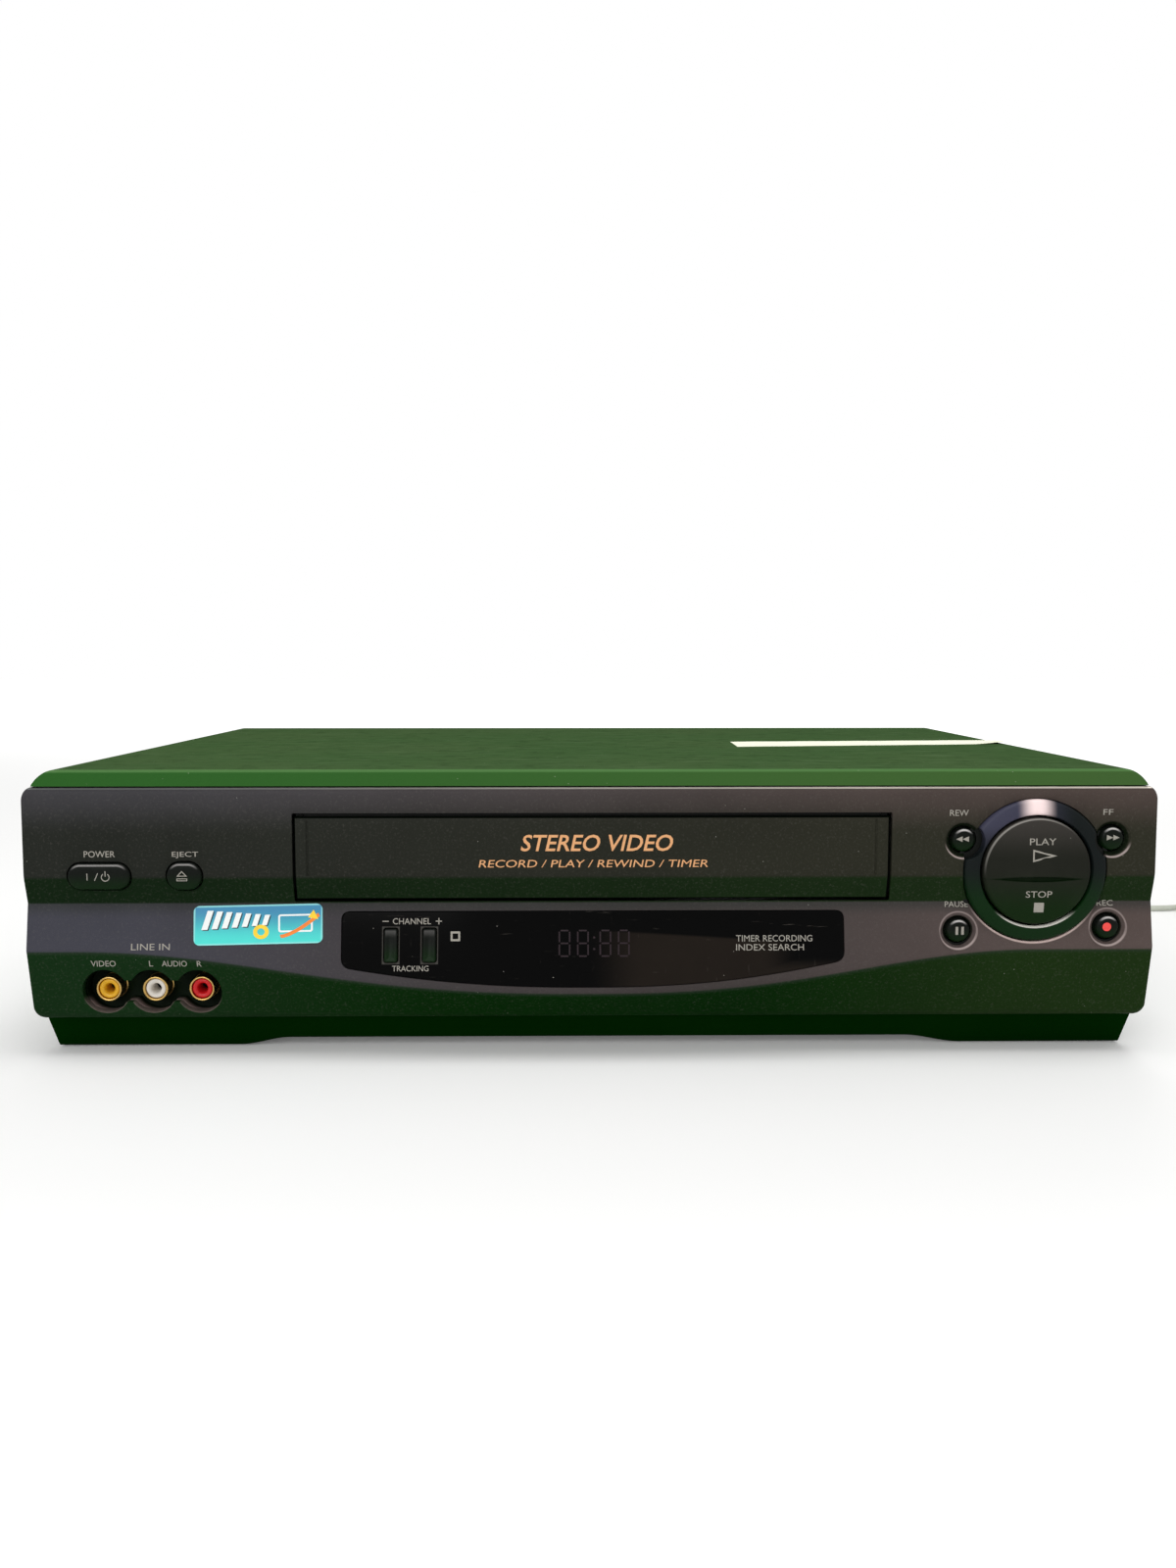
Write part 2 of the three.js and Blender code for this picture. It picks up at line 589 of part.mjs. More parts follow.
// The front jacks.
const jackFloor = jackWell.depth + wall / 2;
const jackNames = ["video_jack", "audio_left_jack", "audio_right_jack"];
const jackColours = [finish.yellow, finish.white, finish.red];

/** A tube along Y between two depths. */
const sleeve = (x, z, front, back, outer, inner, sides = round.medium) => turnedAlongY([
  [inner, front], [outer, front], [outer, back], [inner, back], [inner, front]], x, z, sides);

jackNames.forEach((name, i) => {
  const x = jackWell.x + (i - 1) * jackWell.pitch;
  const inner = jack.insert + clearance / 2;
  add(`${name}_shell`, sleeve(x, jackWell.z, jack.tip, jackFloor, jack.barrel, inner), finish.brass);
  add(`${name}_insert`, sleeve(x, jackWell.z, jack.tip + clearance, jackFloor, jack.insert, jack.bore),
    jackColours[i]);
});

/** The moulded block that carries the three front jacks, with its foot on the front board. */
function frontJackBlock() {
  const half = jackWell.pitch + jack.flange;
  const front = jackFloor + clearance;
  return box(jackWell.x - half, jackWell.x + half, front, board.front - clearance,
    jackWell.z - jack.flange, jackWell.z + jack.flange);
}
add("front_jack_block", frontJackBlock(), finish.blackPlastic);

// The display behind the window.
const display = { left: -34, right: 40, low: 30, high: 44, front: 8, thickness: 5, legs: 1.2 };

/** The display's flat glass tube on its holder. */
function displayModule() {
  const { left, right, low, high, front, thickness, legs } = display;
  const tube = box(left, right, front, front + thickness, low, high);
  const holder = box(left + legs, right - legs, front + thickness, board.front - clearance, low + legs, high - legs);
  return join(tube, holder);
}
add("display_module", displayModule(), finish.blackPlastic);

/** The front board: low under the cassette's way, high at both ends, with its switches. */
function frontBoard() {
  const { half, low, high, notchHalf, notchHeight, front, thickness } = board;
  const plate = frontPlate(outline([[-half, low], [half, low], [half, high], [notchHalf, high],
    [notchHalf, notchHeight], [-notchHalf, notchHeight], [-notchHalf, high], [-half, high]]), front, front + thickness);
  const keys = [[pillKey.x, pillKey.z], [ejectKey.x, ejectKey.z], [channelKey.down, channelKey.z],
    [channelKey.up, channelKey.z], [rocker.x, rocker.z + fulcrum.switchOff],
    [rocker.x, rocker.z - fulcrum.switchOff], ...Object.values(roundKeyPlaces)];
  const switches = keys.map(([x, z]) => join(
    box(x - tact.side / 2, x + tact.side / 2, front - tact.height, front + thickness / 2, z - tact.side / 2,
      z + tact.side / 2),
    rod(x, z, front - tact.height - tact.plungerReach, front, tact.plunger, 6),
  ));
  const post = rod(rocker.x, rocker.z, fulcrum.y + clearance, front + thickness / 2, fulcrum.radius, round.small);
  return join(plate, switches, post);
}
add("front_board", frontBoard(), finish.boardResin);

// The cassette door.
const door = { thickness: 2, grooveX: 90.5, grooveTop: 78.3, grooveLow: 60.2, grooveDepth: 0.5, grooveWidth: 0.7 };
const doorEdge = { left: doorHole.left + doorGap, right: doorHole.right - doorGap - clearance / 2,
  bottom: doorHole.bottom + doorGap, top: doorHole.top - doorGap - clearance };

/** The door: a panel that follows the front's crease, hung from two arms with pins. */
function cassetteDoor() {
  const { left, right, bottom, top } = doorEdge;
  const crease = face.creaseHeight;
  const lowFace = frontAt(0, bottom);
  const panel = sidePlate(outline([
    [frontAt(0, top), top], [-face.creaseOut, crease], [lowFace, bottom],
    [lowFace + door.thickness, bottom], [door.thickness - face.creaseOut, crease],
    [frontAt(0, top) + door.thickness, top],
  ]), left, right);
  const grooves = [-door.grooveX, door.grooveX].map((x) => box(x - door.grooveWidth / 2, x + door.grooveWidth / 2,
    -face.depth, door.grooveDepth - face.creaseOut, door.grooveLow, door.grooveTop));
  const arms = [[left, 1], [right, -1]].map(([edge, inward]) => {
    const [x0, x1] = [Math.min(edge, edge + inward * hinge.arm), Math.max(edge, edge + inward * hinge.arm)];
    const back = hinge.y + hinge.barrel;
    const arm = sidePlate(outline([
      [door.thickness - face.creaseOut, top - 4 * hinge.arm], [back, top - hinge.arm], [back, hinge.z],
      [hinge.y - hinge.barrel, hinge.z], [hinge.y - hinge.barrel, top - hinge.barrel],
      [door.thickness - 2 * face.creaseOut, top - hinge.barrel]]), x0, x1);
    const barrel = axle(hinge.y, hinge.z, x0, x1, hinge.barrel);
    const far = edge - inward * hinge.reach;
    return join(arm, barrel, axle(hinge.y, hinge.z, Math.min(edge, far), Math.max(edge, far), hinge.pin));
  });
  return join(cut(panel, grooves), arms);
}
add("cassette_door", cassetteDoor(), finish.doorPlastic);

// The top cover, one folded sheet, reaches down past the tray's sides.
const cover = { cornerRadius: 6, low: 7.5, chamferY: 5.4, chamferFront: 0.9 };

// The base: a tray whose front skirt stands back under the panel, with two foot portions.
const trayGap = 0.5; // to the cover's sides
const skirtInset = 1.3; // the skirt's ends stand so far inside the panel's
const base = {
  half: coverWidth / 2 - sheet - trayGap, skirtTop: bezelBottom - clearance, skirtFrontTop: 9, skirtFrontLow: 14.5,
  footBottom: 0.4, middleBottom: 3.2, floorTop: 5.2, wallTop: 17, footInner: [-118, 124.6], footRise: [-102, 106],
  footDepth: 62, lipOut: 1.3, rear: 222.2, skirtHalf: bezelWidth / 2 - skirtInset, skirtBack: 20,
};
const pad = { radius: 8, recess: 1.2, inset: 22, front: 36, back: 204, rearHeight: 2.9 };

/** The skirt's front outline from below: level foot portions that rise to the middle. */
function skirtOutline(top, half) {
  const [footLeft, footRight] = base.footInner;
  const [riseLeft, riseRight] = base.footRise;
  return outline([[-half, top], [base.lipOut - half, base.footBottom], [footLeft, base.footBottom],
    [riseLeft, base.middleBottom], [riseRight, base.middleBottom], [footRight, base.footBottom],
    [half - base.lipOut, base.footBottom], [half, top]]);
}

/** The base tray with its bosses for the deck, the boards and the power supply. */
function bottomChassis() {
  const lean = sidePlate(outline([[base.skirtFrontTop, base.skirtTop], [base.skirtFrontLow, base.footBottom],
    [coverRear, base.footBottom], [coverRear, base.skirtTop]]), -base.skirtHalf, base.skirtHalf);
  const behind = box(-bezelWidth, bezelWidth, face.depth, coverRear, cover.low - clearance, bezelTop);
  const ends = cut(frontPlate(skirtOutline(base.skirtTop, base.skirtHalf), 0, base.skirtBack), behind);
  const feet = frontPlate(skirtOutline(base.skirtTop, base.half), 0, base.footDepth);
  const skirt = join(ends, feet).intersect(lean);
  const tray = box(-base.half, base.half, face.depth + clearance, base.rear, base.middleBottom, base.wallTop);
  const hollow = box(-base.half + wall, base.half - wall, base.skirtFrontLow + wall, base.rear - wall,
    base.floorTop, base.wallTop + overrun);
  const pads = [-1, 1].map((side) => post(side * (base.half - pad.inset), pad.front, 0,
    base.footBottom + pad.recess, pad.radius + clearance));
  return join(cut(join(skirt, tray), hollow, pads), chassisBosses());
}

// The tape deck's plate and what stands on the tray's floor to carry it.
const deck = { half: 103, front: 34, rear: 218, top: 27, fold: 6, postInset: 7, postRadius: 4 };
const deckBottom = deck.top - sheet;
const boardGap = { deck: 7, tray: 5 }; // from the boards to the deck's plate and to the tray's outer sides
const mainBoard = { left: boardGap.tray - base.half, right: -deck.half - boardGap.deck, front: 30, rear: 214,
  top: 14, thickness: 1.6 };
const supply = { left: deck.half + boardGap.deck, right: base.half - boardGap.tray, front: 96, rear: 214,
  top: mainBoard.top, thickness: mainBoard.thickness };
const boss = { radius: 3, inset: 6 };

/** The four corners of a plate, inset, as [x, y]. */
const corners = (left, right, front, rear, inset) => [left + inset, right - inset].flatMap((x) =>
  [front + inset, rear - inset].map((y) => [x, y]));

function chassisBosses() {
  const deckPosts = corners(-deck.half, deck.half, deck.front, deck.rear, deck.postInset).map(([x, y]) =>
    post(x, y, base.floorTop - wall / 2, deckBottom - clearance, deck.postRadius, round.small));
  const low = [mainBoard, supply].flatMap((plate) =>
    corners(plate.left, plate.right, plate.front, plate.rear, boss.inset).map(([x, y]) =>
      post(x, y, base.floorTop - wall / 2, plate.top - plate.thickness - clearance, boss.radius, round.small)));
  return [...deckPosts, ...low];
}
add("bottom_chassis", bottomChassis(), finish.basePlastic);

[["left", -1], ["right", 1]].forEach(([name, side]) => {
  const x = side * (base.half - pad.inset);
  const high = base.footBottom + pad.recess - clearance;
  add(`front_foot_${name}`, post(x, pad.front, 0, high, pad.radius), finish.rubber);
  add(`rear_foot_${name}`, post(x, pad.back, 0, base.middleBottom - clearance, pad.radius - wall, round.medium,
    pad.radius), finish.rubber);
});

/** The cover's section across, as a block with rounded upper edges. */
function coverSection(inset, front, back) {
  const half = coverWidth / 2 - inset;
  const top = totalHeight - inset;
  const radius = cover.cornerRadius - inset;
  const shape = new THREE.Shape();
  shape.moveTo(-half, inset > 0 ? 0 : cover.low);
  shape.lineTo(half, inset > 0 ? 0 : cover.low);
  shape.absarc(half - radius, top - radius, radius, 0, Math.PI / 2);
  shape.absarc(radius - half, top - radius, radius, Math.PI / 2, Math.PI);
  return frontPlate(shape, front, back, round.small / 2);
}

/** The cover: its top, its two sides and the slanted strip above the front panel. */
function topCover() {
  const low = bezelTop + clearance;
  const slope = (cover.chamferY - cover.chamferFront) / (totalHeight - low);
  const thick = sheet * Math.hypot(1, slope);
  const sideBack = face.depth + clearance;
  const half = coverWidth;
  const outer = sidePlate(outline([[cover.chamferFront, low], [cover.chamferY, totalHeight],
    [coverRear, totalHeight], [coverRear, cover.low], [sideBack, cover.low], [sideBack, low]]), -half, half);
  const inner = sidePlate(outline([[cover.chamferFront + thick, low],
    [cover.chamferY - slope * sheet + thick, totalHeight - sheet],
    [coverRear + overrun, totalHeight - sheet], [coverRear + overrun, 0], [0, 0], [0, low]]), -half, half);
  const skin = coverSection(0, 0, coverRear).intersect(outer);
  const air = coverSection(sheet, -overrun, coverRear + overrun).intersect(inner);
  return cut(skin, air);
}
add("top_cover", topCover(), finish.coverPaint);

// The rear panel and its connectors.
const rear = { front: base.rear + clearance, thickness: sheet, half: base.half - trayGap, low: 5.5,
  high: totalHeight - sheet - trayGap, slotHeight: 22, slotWidth: 2.6, slotPitch: 6, slotCount: 9, slotX: 44,
  slotZ: 62 };
const modulatorInset = 27.5;
const avInset = 75.5;
const exitInset = 37.5;
const modulator = { x: modulatorInset - rear.half, z: 46, width: 34, height: 46, depth: 38, spacing: 20, barrel: 4.6, reach: 8.5 };
const avBlock = { x: avInset - rear.half, z: 42, width: 42, height: 30, depth: 14, barrel: jack.barrel, pitch: 14, rowPitch: 14,
  reach: 7.5 };
const exit = { x: rear.half - exitInset, z: 24, holeHalf: 5.2 };

/** The rear panel with its holes and ventilation slots. */
function rearPanel() {
  const { front, thickness, half, low, high } = rear;
  const plate = frontPlate(roundedRectangle(0, (low + high) / 2, 2 * half, high - low, cover.cornerRadius),
    front, front + thickness, round.small / 2);
  const y0 = front - overrun;
  const y1 = front + thickness + overrun;
  const modulatorHoles = [-1, 1].map((side) => rod(modulator.x, modulator.z + side * modulator.spacing / 2, y0, y1,
    modulator.barrel + 2 * clearance, round.small));
  const avHoles = avPlaces().map(([x, z]) => rod(x, z, y0, y1, avBlock.barrel + 2 * clearance, round.small));
  const relief = box(exit.x - exit.holeHalf, exit.x + exit.holeHalf, y0, y1, exit.z - exit.holeHalf,
    exit.z + exit.holeHalf);
  const slots = spread(0, rear.slotPitch * (rear.slotCount - 1), rear.slotCount - 1).map((x) =>
    box(rear.slotX + x, rear.slotX + x + rear.slotWidth, y0, y1, rear.slotZ - rear.slotHeight / 2,
      rear.slotZ + rear.slotHeight / 2));
  return cut(plate, modulatorHoles, avHoles, relief, slots);
}

/** Places of the six rear jacks: video, left and right, in two rows. */
function avPlaces() {
  return [-1, 1].flatMap((row) => [-1, 0, 1].map((i) =>
    [avBlock.x + i * avBlock.pitch, avBlock.z + row * avBlock.rowPitch / 2]));
}
add("rear_panel", rearPanel(), finish.steel);

/** The aerial modulator's tin box with its two threaded sockets. */
function rfModulator() {
  const back = rear.front - clearance;
  const { x, z, width, height, depth } = modulator;
  const tin = box(x - width / 2, x + width / 2, back - depth, back, z - height / 2, z + height / 2);
  const sockets = [-1, 1].map((side) => sleeve(x, z + side * modulator.spacing / 2, back - wall,
    rear.front + modulator.reach, modulator.barrel, modulator.barrel / 2, round.small));
  return join(tin, sockets);
}
add("rf_modulator", rfModulator(), finish.steel);

/** The rear jack block with its six barrels. */
function rearJackBlock() {
  const back = rear.front - clearance;
  const { x, z, width, height, depth } = avBlock;
  const body = box(x - width / 2, x + width / 2, back - depth, back, z - height / 2, z + height / 2);
  const barrels = avPlaces().map(([bx, bz]) => sleeve(bx, bz, back - wall, rear.front + avBlock.reach,
    avBlock.barrel, jack.bore, round.small));
  return join(body, barrels);
}
add("rear_jack_block", rearJackBlock(), finish.blackPlastic);

/** The main board, with its larger parts standing on it. */
const chips = { side: 22, can: 5, canHeight: 16, supplyCan: 7, supplyCanHeight: 28 };
function mainBoardPiece() {
  const { left, right, front, rear: end, top, thickness } = mainBoard;
  const plate = box(left, right, front, end, top - thickness, top);
  const cans = spread(front + chips.side, end - 3 * chips.side, 4).map((y) =>
    post(right - 2 * chips.can, y, top - thickness / 2, top + chips.canHeight, chips.can, round.small));
  const chip = box(left + chips.can, left + chips.can + chips.side, (front + end) / 2, (front + end) / 2 + chips.side,
    top - thickness / 2, top + wall);
  return join(plate, cans, chip);
}
add("main_board", mainBoardPiece(), finish.boardResin);

// The power supply: its board, transformer core and winding, as one unit.
const transformerInset = 31;
const transformer = { x: supply.right - transformerInset, y: 150, width: 40, depth: 34, height: 32, coil: 24, coilReach: 7 };
function powerSupply() {
  const { left, right, front, rear: end, top, thickness } = supply;
  const plate = box(left, right, front, end, top - thickness, top);
  const { x, y, width, depth, height, coil, coilReach } = transformer;
  const core = box(x - width / 2, x + width / 2, y - depth / 2, y + depth / 2, top - thickness / 2, top + height);
  const winding = box(x - coil / 2, x + coil / 2, y - depth / 2 - coilReach, y + depth / 2 + coilReach,
    top - thickness / 2, top + height - coilReach);
  const cans = [left + boss.inset + chips.supplyCan, right - boss.inset - chips.supplyCan].map((cx) =>
    post(cx, front + chips.side / 2, top - thickness / 2, top + chips.supplyCanHeight, chips.supplyCan, round.small));
  return join(plate, core, winding, cans);
}
add("power_supply", powerSupply(), finish.boardResin);

// The tape deck. Its pieces stand on the deck's plate.
const drum = { x: 0, y: 187, radius: 31, low: 3.6, split: 18, high: 34, tilt: 5.97, foot: 14, shaft: 3, bore: 3.3,
  hub: 9, hubHigh: 38, recess: 24, recessDepth: 3 };
const reel = { spacing: 92, y: 86, flange: 16, flangeLow: 1.2, flangeHigh: 4, hub: 5.2, tip: 17, fin: 1.2,
  finReach: 3.4, finHigh: 13, pin: 1.8, bore: 2.1, teeth: 16, toothDepth: 1 };
const capstan = { x: 58, y: 158, shaft: 1.25, high: 52, wheel: 20, wheelLow: 14, wheelHigh: 22, bush: 3.6,
  bushHigh: 33, bore: 1.5 };
const pinch = { pivotX: 86, pivotY: 160, length: 24.7, openAngle: 224.4, roller: 6.5, low: 34, high: 50, armLow: 29,
  armHigh: 32, armRadius: 3.6, pin: 1.2, bore: 1.5, core: 3 };
const guide = { startX: 24, startY: 128, endX: 33, endY: 165, base: 6, baseHigh: 4, slot: 2.4, foot: 1.9, post: 1.2,
  roller: 3, rollerLow: 6, rollerHigh: 21, high: 23 };
const cam = { x: -58.5, y: 199, teeth: 24, root: 20.5, tip: 22, low: 1, high: 5, hub: 5, bore: 2.3, pin: 2 };
const motor = { x: -86, y: 196, radius: 11, low: 7, high: 33, boss: 4, footWidth: 10 };
const idler = { x: 0, y: 126, length: 40, gear: 13, teeth: 15, low: 1.2, high: 3.6, arm: 4, bore: 2.1, pin: 1.8,
  gearHigh: 5.4 };
const tension = { x: -84, y: 158, length: 26, angle: -28, low: 1.2, high: 3.6, arm: 3.6, post: 1.8, postHigh: 23,
  pin: 1.6, bore: 1.9 };
const eraseHead = { x: -57, y: 166, width: 12, depth: 7, height: 22, turn: 28, footWidth: 16, footDepth: 10 };
const soundHead = { x: 48, y: 178, width: 13, depth: 8, height: 23, turn: -32, footWidth: 17, footDepth: 12 };
const degrees = Math.PI / 180;

/** A pin that stands on the deck's plate and carries a turning piece. */
const deckPin = (x, y, high, radius) => post(x, y, deck.top - sheet / 2, deck.top + high, radius, round.small);

/** The deck's pressed plate: folded sides, holes for the reels' light path, slots for the tape guides. */
function deckChassis() {
  const plate = box(-deck.half, deck.half, deck.front, deck.rear, deckBottom, deck.top);
  const folds = [-1, 1].map((side) => box(Math.min(side * deck.half, side * (deck.half - sheet)),
    Math.max(side * deck.half, side * (deck.half - sheet)), deck.front + 2 * deck.postInset,
    deck.rear - 2 * deck.postInset, deckBottom - deck.fold, deck.top));
  const slots = [-1, 1].map((side) => floorPlate(slotOutline([side * guide.startX, guide.startY],
    [side * guide.endX, guide.endY], guide.slot), deckBottom - overrun, deck.top + overrun, round.small / 2));
  const windows = [-1, 1].map((side) => floorPlate(roundedRectangle(side * deck.half / 2, 2 * deck.front - reel.flange,
    deck.half / 2, reel.flange, pad.radius / 2), deckBottom - overrun, deck.top + overrun, round.small / 2));
  const bush = post(capstan.x, capstan.y, deck.top - sheet / 2, capstan.bushHigh, capstan.bush, round.small);
  const bore = post(capstan.x, capstan.y, deckBottom - overrun, capstan.bushHigh + overrun, capstan.bore, round.small);
  const pins = [
    deckPin(-reel.spacing / 2, reel.y, reel.tip - wall, reel.pin),
    deckPin(reel.spacing / 2, reel.y, reel.tip - wall, reel.pin),
    deckPin(idler.x, idler.y, idler.high, idler.pin), deckPin(cam.x, cam.y, cam.high + wall / 2, cam.pin),
    deckPin(tension.x, tension.y, tension.high + wall / 2, tension.pin),
    deckPin(pinch.pivotX, pinch.pivotY, pinch.armHigh - deck.top + wall / 2, pinch.pin),
  ];
  return join(cut(join(plate, folds, bush), slots, windows, bore), pins);
}
add("deck_chassis", deckChassis(), finish.steel);

/** A turned piece that leans back with the head drum, about the drum's foot. */
function drumPiece(profile, sides = round.fine) {
  const lathe = new THREE.LatheGeometry(profile.map(([r, h]) => new THREE.Vector2(r, h)), sides);
  return solid(lathe.rotateX(Math.PI / 2 - drum.tilt * degrees).translate(drum.x, drum.y, deck.top));
}

/** The fixed lower drum on its foot. */
function lowerDrum() {
  const body = drumPiece([[drum.bore, drum.low], [drum.radius, drum.low], [drum.radius, drum.split],
    [drum.bore, drum.split], [drum.bore, drum.low]]);
  const foot = post(drum.x, drum.y, deck.top + clearance, deck.top + drum.low + wall, drum.foot);
  const well = drumPiece([[0, -drum.low], [drum.bore, -drum.low], [drum.bore, drum.split], [0, drum.split]],
    round.medium);
  return cut(join(body, foot), well);
}
add("head_drum_lower", lowerDrum(), finish.aluminium);

/** The turning upper drum with its shaft and hub. */
function upperDrum() {
  const top = drum.high - drum.recessDepth;
  return drumPiece([[0, drum.low + wall], [drum.shaft, drum.low + wall], [drum.shaft, drum.split + clearance],
    [drum.radius, drum.split + clearance], [drum.radius, drum.high], [drum.recess, drum.high], [drum.recess, top],
    [drum.hub, top], [drum.hub, drum.hubHigh], [0, drum.hubHigh]]);
}
add("head_drum_upper", upperDrum(), finish.aluminium);

/** A gear blank's outline with plain teeth. */
function gearOutline(x, y, teeth, root, tip) {
  const step = 2 * Math.PI / teeth;
  const toothShares = [[-0.28, 0], [-0.14, 1], [0.14, 1], [0.28, 0]];
  return outline(Array.from({ length: teeth }, (_, i) => toothShares.map(([turn, rise]) => {
    const angle = (i + turn) * step;
    const radius = root + (tip - root) * rise;
    return [x + radius * Math.cos(angle), y + radius * Math.sin(angle)];
  })).flat());
}

/** A reel table: toothed flange, hub and three driving fins, bored for its pin. */
function reelTable(x) {
  const [low, high] = [deck.top + reel.flangeLow, deck.top + reel.flangeHigh];
  const flange = floorPlate(gearOutline(x, reel.y, reel.teeth, reel.flange - reel.toothDepth, reel.flange), low, high);
  const hub = join(post(x, reel.y, low, deck.top + reel.finHigh, reel.hub), post(x, reel.y, deck.top + reel.finHigh,
    deck.top + reel.tip, reel.hub, round.medium, reel.hub / 2));
  const fins = [0, 1, 2].map((i) => {
    const fin = new THREE.BoxGeometry(reel.finReach, reel.fin, reel.finHigh - reel.flangeHigh);
    fin.translate(reel.hub + reel.finReach / 4, 0, deck.top + (reel.finHigh + reel.flangeHigh) / 2);
    return solid(fin.rotateZ(i * 2 * Math.PI / 3).translate(x, reel.y, 0));
  });
  return cut(join(flange, hub, fins), post(x, reel.y, 0, deck.top + reel.tip - wall / 2, reel.bore, round.small));
}
add("supply_reel_table", reelTable(-reel.spacing / 2), finish.whitePlastic);
add("takeup_reel_table", reelTable(reel.spacing / 2), finish.whitePlastic);

/** The capstan's shaft with its flywheel below the deck. */
const capstanPiece = join(post(capstan.x, capstan.y, capstan.wheelLow, capstan.wheelHigh, capstan.wheel),
  post(capstan.x, capstan.y, capstan.wheelLow, capstan.high, capstan.shaft, round.small));
add("capstan_flywheel", capstanPiece, finish.steel);

/** A flat lever between two places in plan, with round ends. */
const lever = (from, to, radius, low, high) => floorPlate(slotOutline(from, to, radius), low, high, round.small / 2);

const pinchX = pinch.pivotX + pinch.length * Math.cos(pinch.openAngle * degrees);
const pinchY = pinch.pivotY + pinch.length * Math.sin(pinch.openAngle * degrees);
const pinchArm = cut(join(lever([pinch.pivotX, pinch.pivotY], [pinchX, pinchY], pinch.armRadius, pinch.armLow,
  pinch.armHigh), post(pinchX, pinchY, pinch.armLow, pinch.high, pinch.pin, round.small)),
post(pinch.pivotX, pinch.pivotY, pinch.armLow - overrun, pinch.armHigh + overrun, pinch.bore, round.small));
add("pinch_roller_arm", pinchArm, finish.steel);

/** The pinch roller: a rubber tyre on its bush, turning on the arm's pin. */
const pinchRoller = turned([[pinch.bore, pinch.armHigh + clearance], [pinch.core, pinch.armHigh + clearance],
  [pinch.core, pinch.low], [pinch.roller, pinch.low], [pinch.roller, pinch.high - wall], [pinch.bore, pinch.high - wall],
  [pinch.bore, pinch.armHigh + clearance]], pinchX, pinchY, round.medium);
add("pinch_roller", pinchRoller, finish.rubber);

/** A tape guide: its slider in the deck's slot, its post and its roller. */
function tapeGuide(side) {
  const [x, y] = [side * guide.startX, guide.startY];
  const slider = lever([x, y - guide.base / 2], [x, y + guide.base / 2], guide.base / 2 + wall,
    deck.top + clearance, deck.top + guide.baseHigh);
  const foot = post(x, y, deckBottom - wall, deck.top + clearance + wall / 2, guide.foot, round.small);
  const low = deck.top + guide.baseHigh - wall / 2;
  return join(slider, foot, post(x, y, low, deck.top + guide.high, guide.post, round.small),
    post(x, y, deck.top + guide.rollerLow, deck.top + guide.rollerHigh, guide.roller, round.small));
}
add("supply_tape_guide", tapeGuide(-1), finish.brass);
add("takeup_tape_guide", tapeGuide(1), finish.brass);

/** A head on its bracket, turned in plan. */
function tapeHead({ x, y, width, depth, height, turn, footWidth, footDepth }) {
  const low = deck.top + clearance;
  const foot = new THREE.BoxGeometry(footWidth, footDepth, wall).translate(0, 0, low + wall / 2);
  const block = new THREE.BoxGeometry(width, depth, height - wall / 2).translate(0, 0, low + (height + wall / 2) / 2);
  return join(...[foot, block].map((piece) => solid(piece.rotateZ(turn * degrees).translate(x, y, 0))));
}
add("erase_head", tapeHead(eraseHead), finish.steel);
add("audio_control_head", tapeHead(soundHead), finish.steel);

const tensionEnd = [tension.x + tension.length * Math.cos(tension.angle * degrees),
  tension.y + tension.length * Math.sin(tension.angle * degrees)];
const tensionArm = cut(join(lever([tension.x, tension.y], tensionEnd, tension.arm, deck.top + tension.low,
  deck.top + tension.high), post(...tensionEnd, deck.top + tension.low, deck.top + tension.postHigh, tension.post,
  round.small)), post(tension.x, tension.y, deckBottom, deck.top + tension.postHigh, tension.bore, round.small));
add("tension_arm", tensionArm, finish.steel);

/** The cam gear that drives the guides. */
function camGear() {
  const [low, high] = [deck.top + cam.low, deck.top + cam.high];
  const blank = floorPlate(gearOutline(cam.x, cam.y, cam.teeth, cam.root, cam.tip), low, high);
  const hub = post(cam.x, cam.y, low, high + wall, cam.hub);
  return cut(join(blank, hub), post(cam.x, cam.y, deckBottom, high + 2 * wall, cam.bore, round.small));
}
add("cam_gear", camGear(), finish.whitePlastic);

/** The loading motor on its foot. */
function loadingMotor() {
  const low = deck.top + clearance;
  const foot = box(motor.x - motor.footWidth, motor.x + motor.footWidth / 2, motor.y - motor.footWidth,
    motor.y + motor.footWidth, low, low + wall);
  const stand = box(motor.x - motor.footWidth, motor.x - motor.footWidth / 2, motor.y - motor.footWidth,
    motor.y + motor.footWidth, low, deck.top + motor.low + wall);
  const can = post(motor.x, motor.y, deck.top + motor.low, deck.top + motor.high, motor.radius);
  const end = post(motor.x, motor.y, deck.top + motor.high - wall / 2, deck.top + motor.high + wall, motor.boss);
  return join(foot, stand, can, end);
}
add("loading_motor", loadingMotor(), finish.steel);

/** The idler that swings between the reel tables, with its gear. */
function reelIdler() {
  const end = [idler.x, idler.y - idler.length];
  const [low, high] = [deck.top + idler.low, deck.top + idler.high];
  const arm = lever([idler.x, idler.y], end, idler.arm, low, high);
  const gear = floorPlate(gearOutline(...end, idler.teeth, idler.gear - reel.toothDepth, idler.gear),
    high - sheet, deck.top + idler.gearHigh);
  return cut(join(arm, gear), post(idler.x, idler.y, deckBottom, high + overrun, idler.bore, round.small));
}
add("reel_idler", reelIdler(), finish.whitePlastic);

// The cassette carriage: brackets on the deck, a slider that runs in along them, and the basket that sinks
// in the slider's upright slots.
const lowering = 18;
const travel = 55;
const basket = { front: 36, depth: 52, half: 96.2, floor: 51, top: 79, ledge: 15, window: 60 };
const basketRear = basket.front + basket.depth;
const carriagePin = { radius: 1.6, play: 0.25, inset: 10, height: 70 };
const runGap = 0.4;
const slider = { inner: basket.half + runGap, top: 81.4, bridgeDepth: 14, low: 46 };
const sliderOuter = slider.inner + sheet;
const bracket = { inner: sliderOuter + runGap, front: 34.5, rear: 150, low: deck.top + clearance, high: board.high,
  railHeight: 76 };

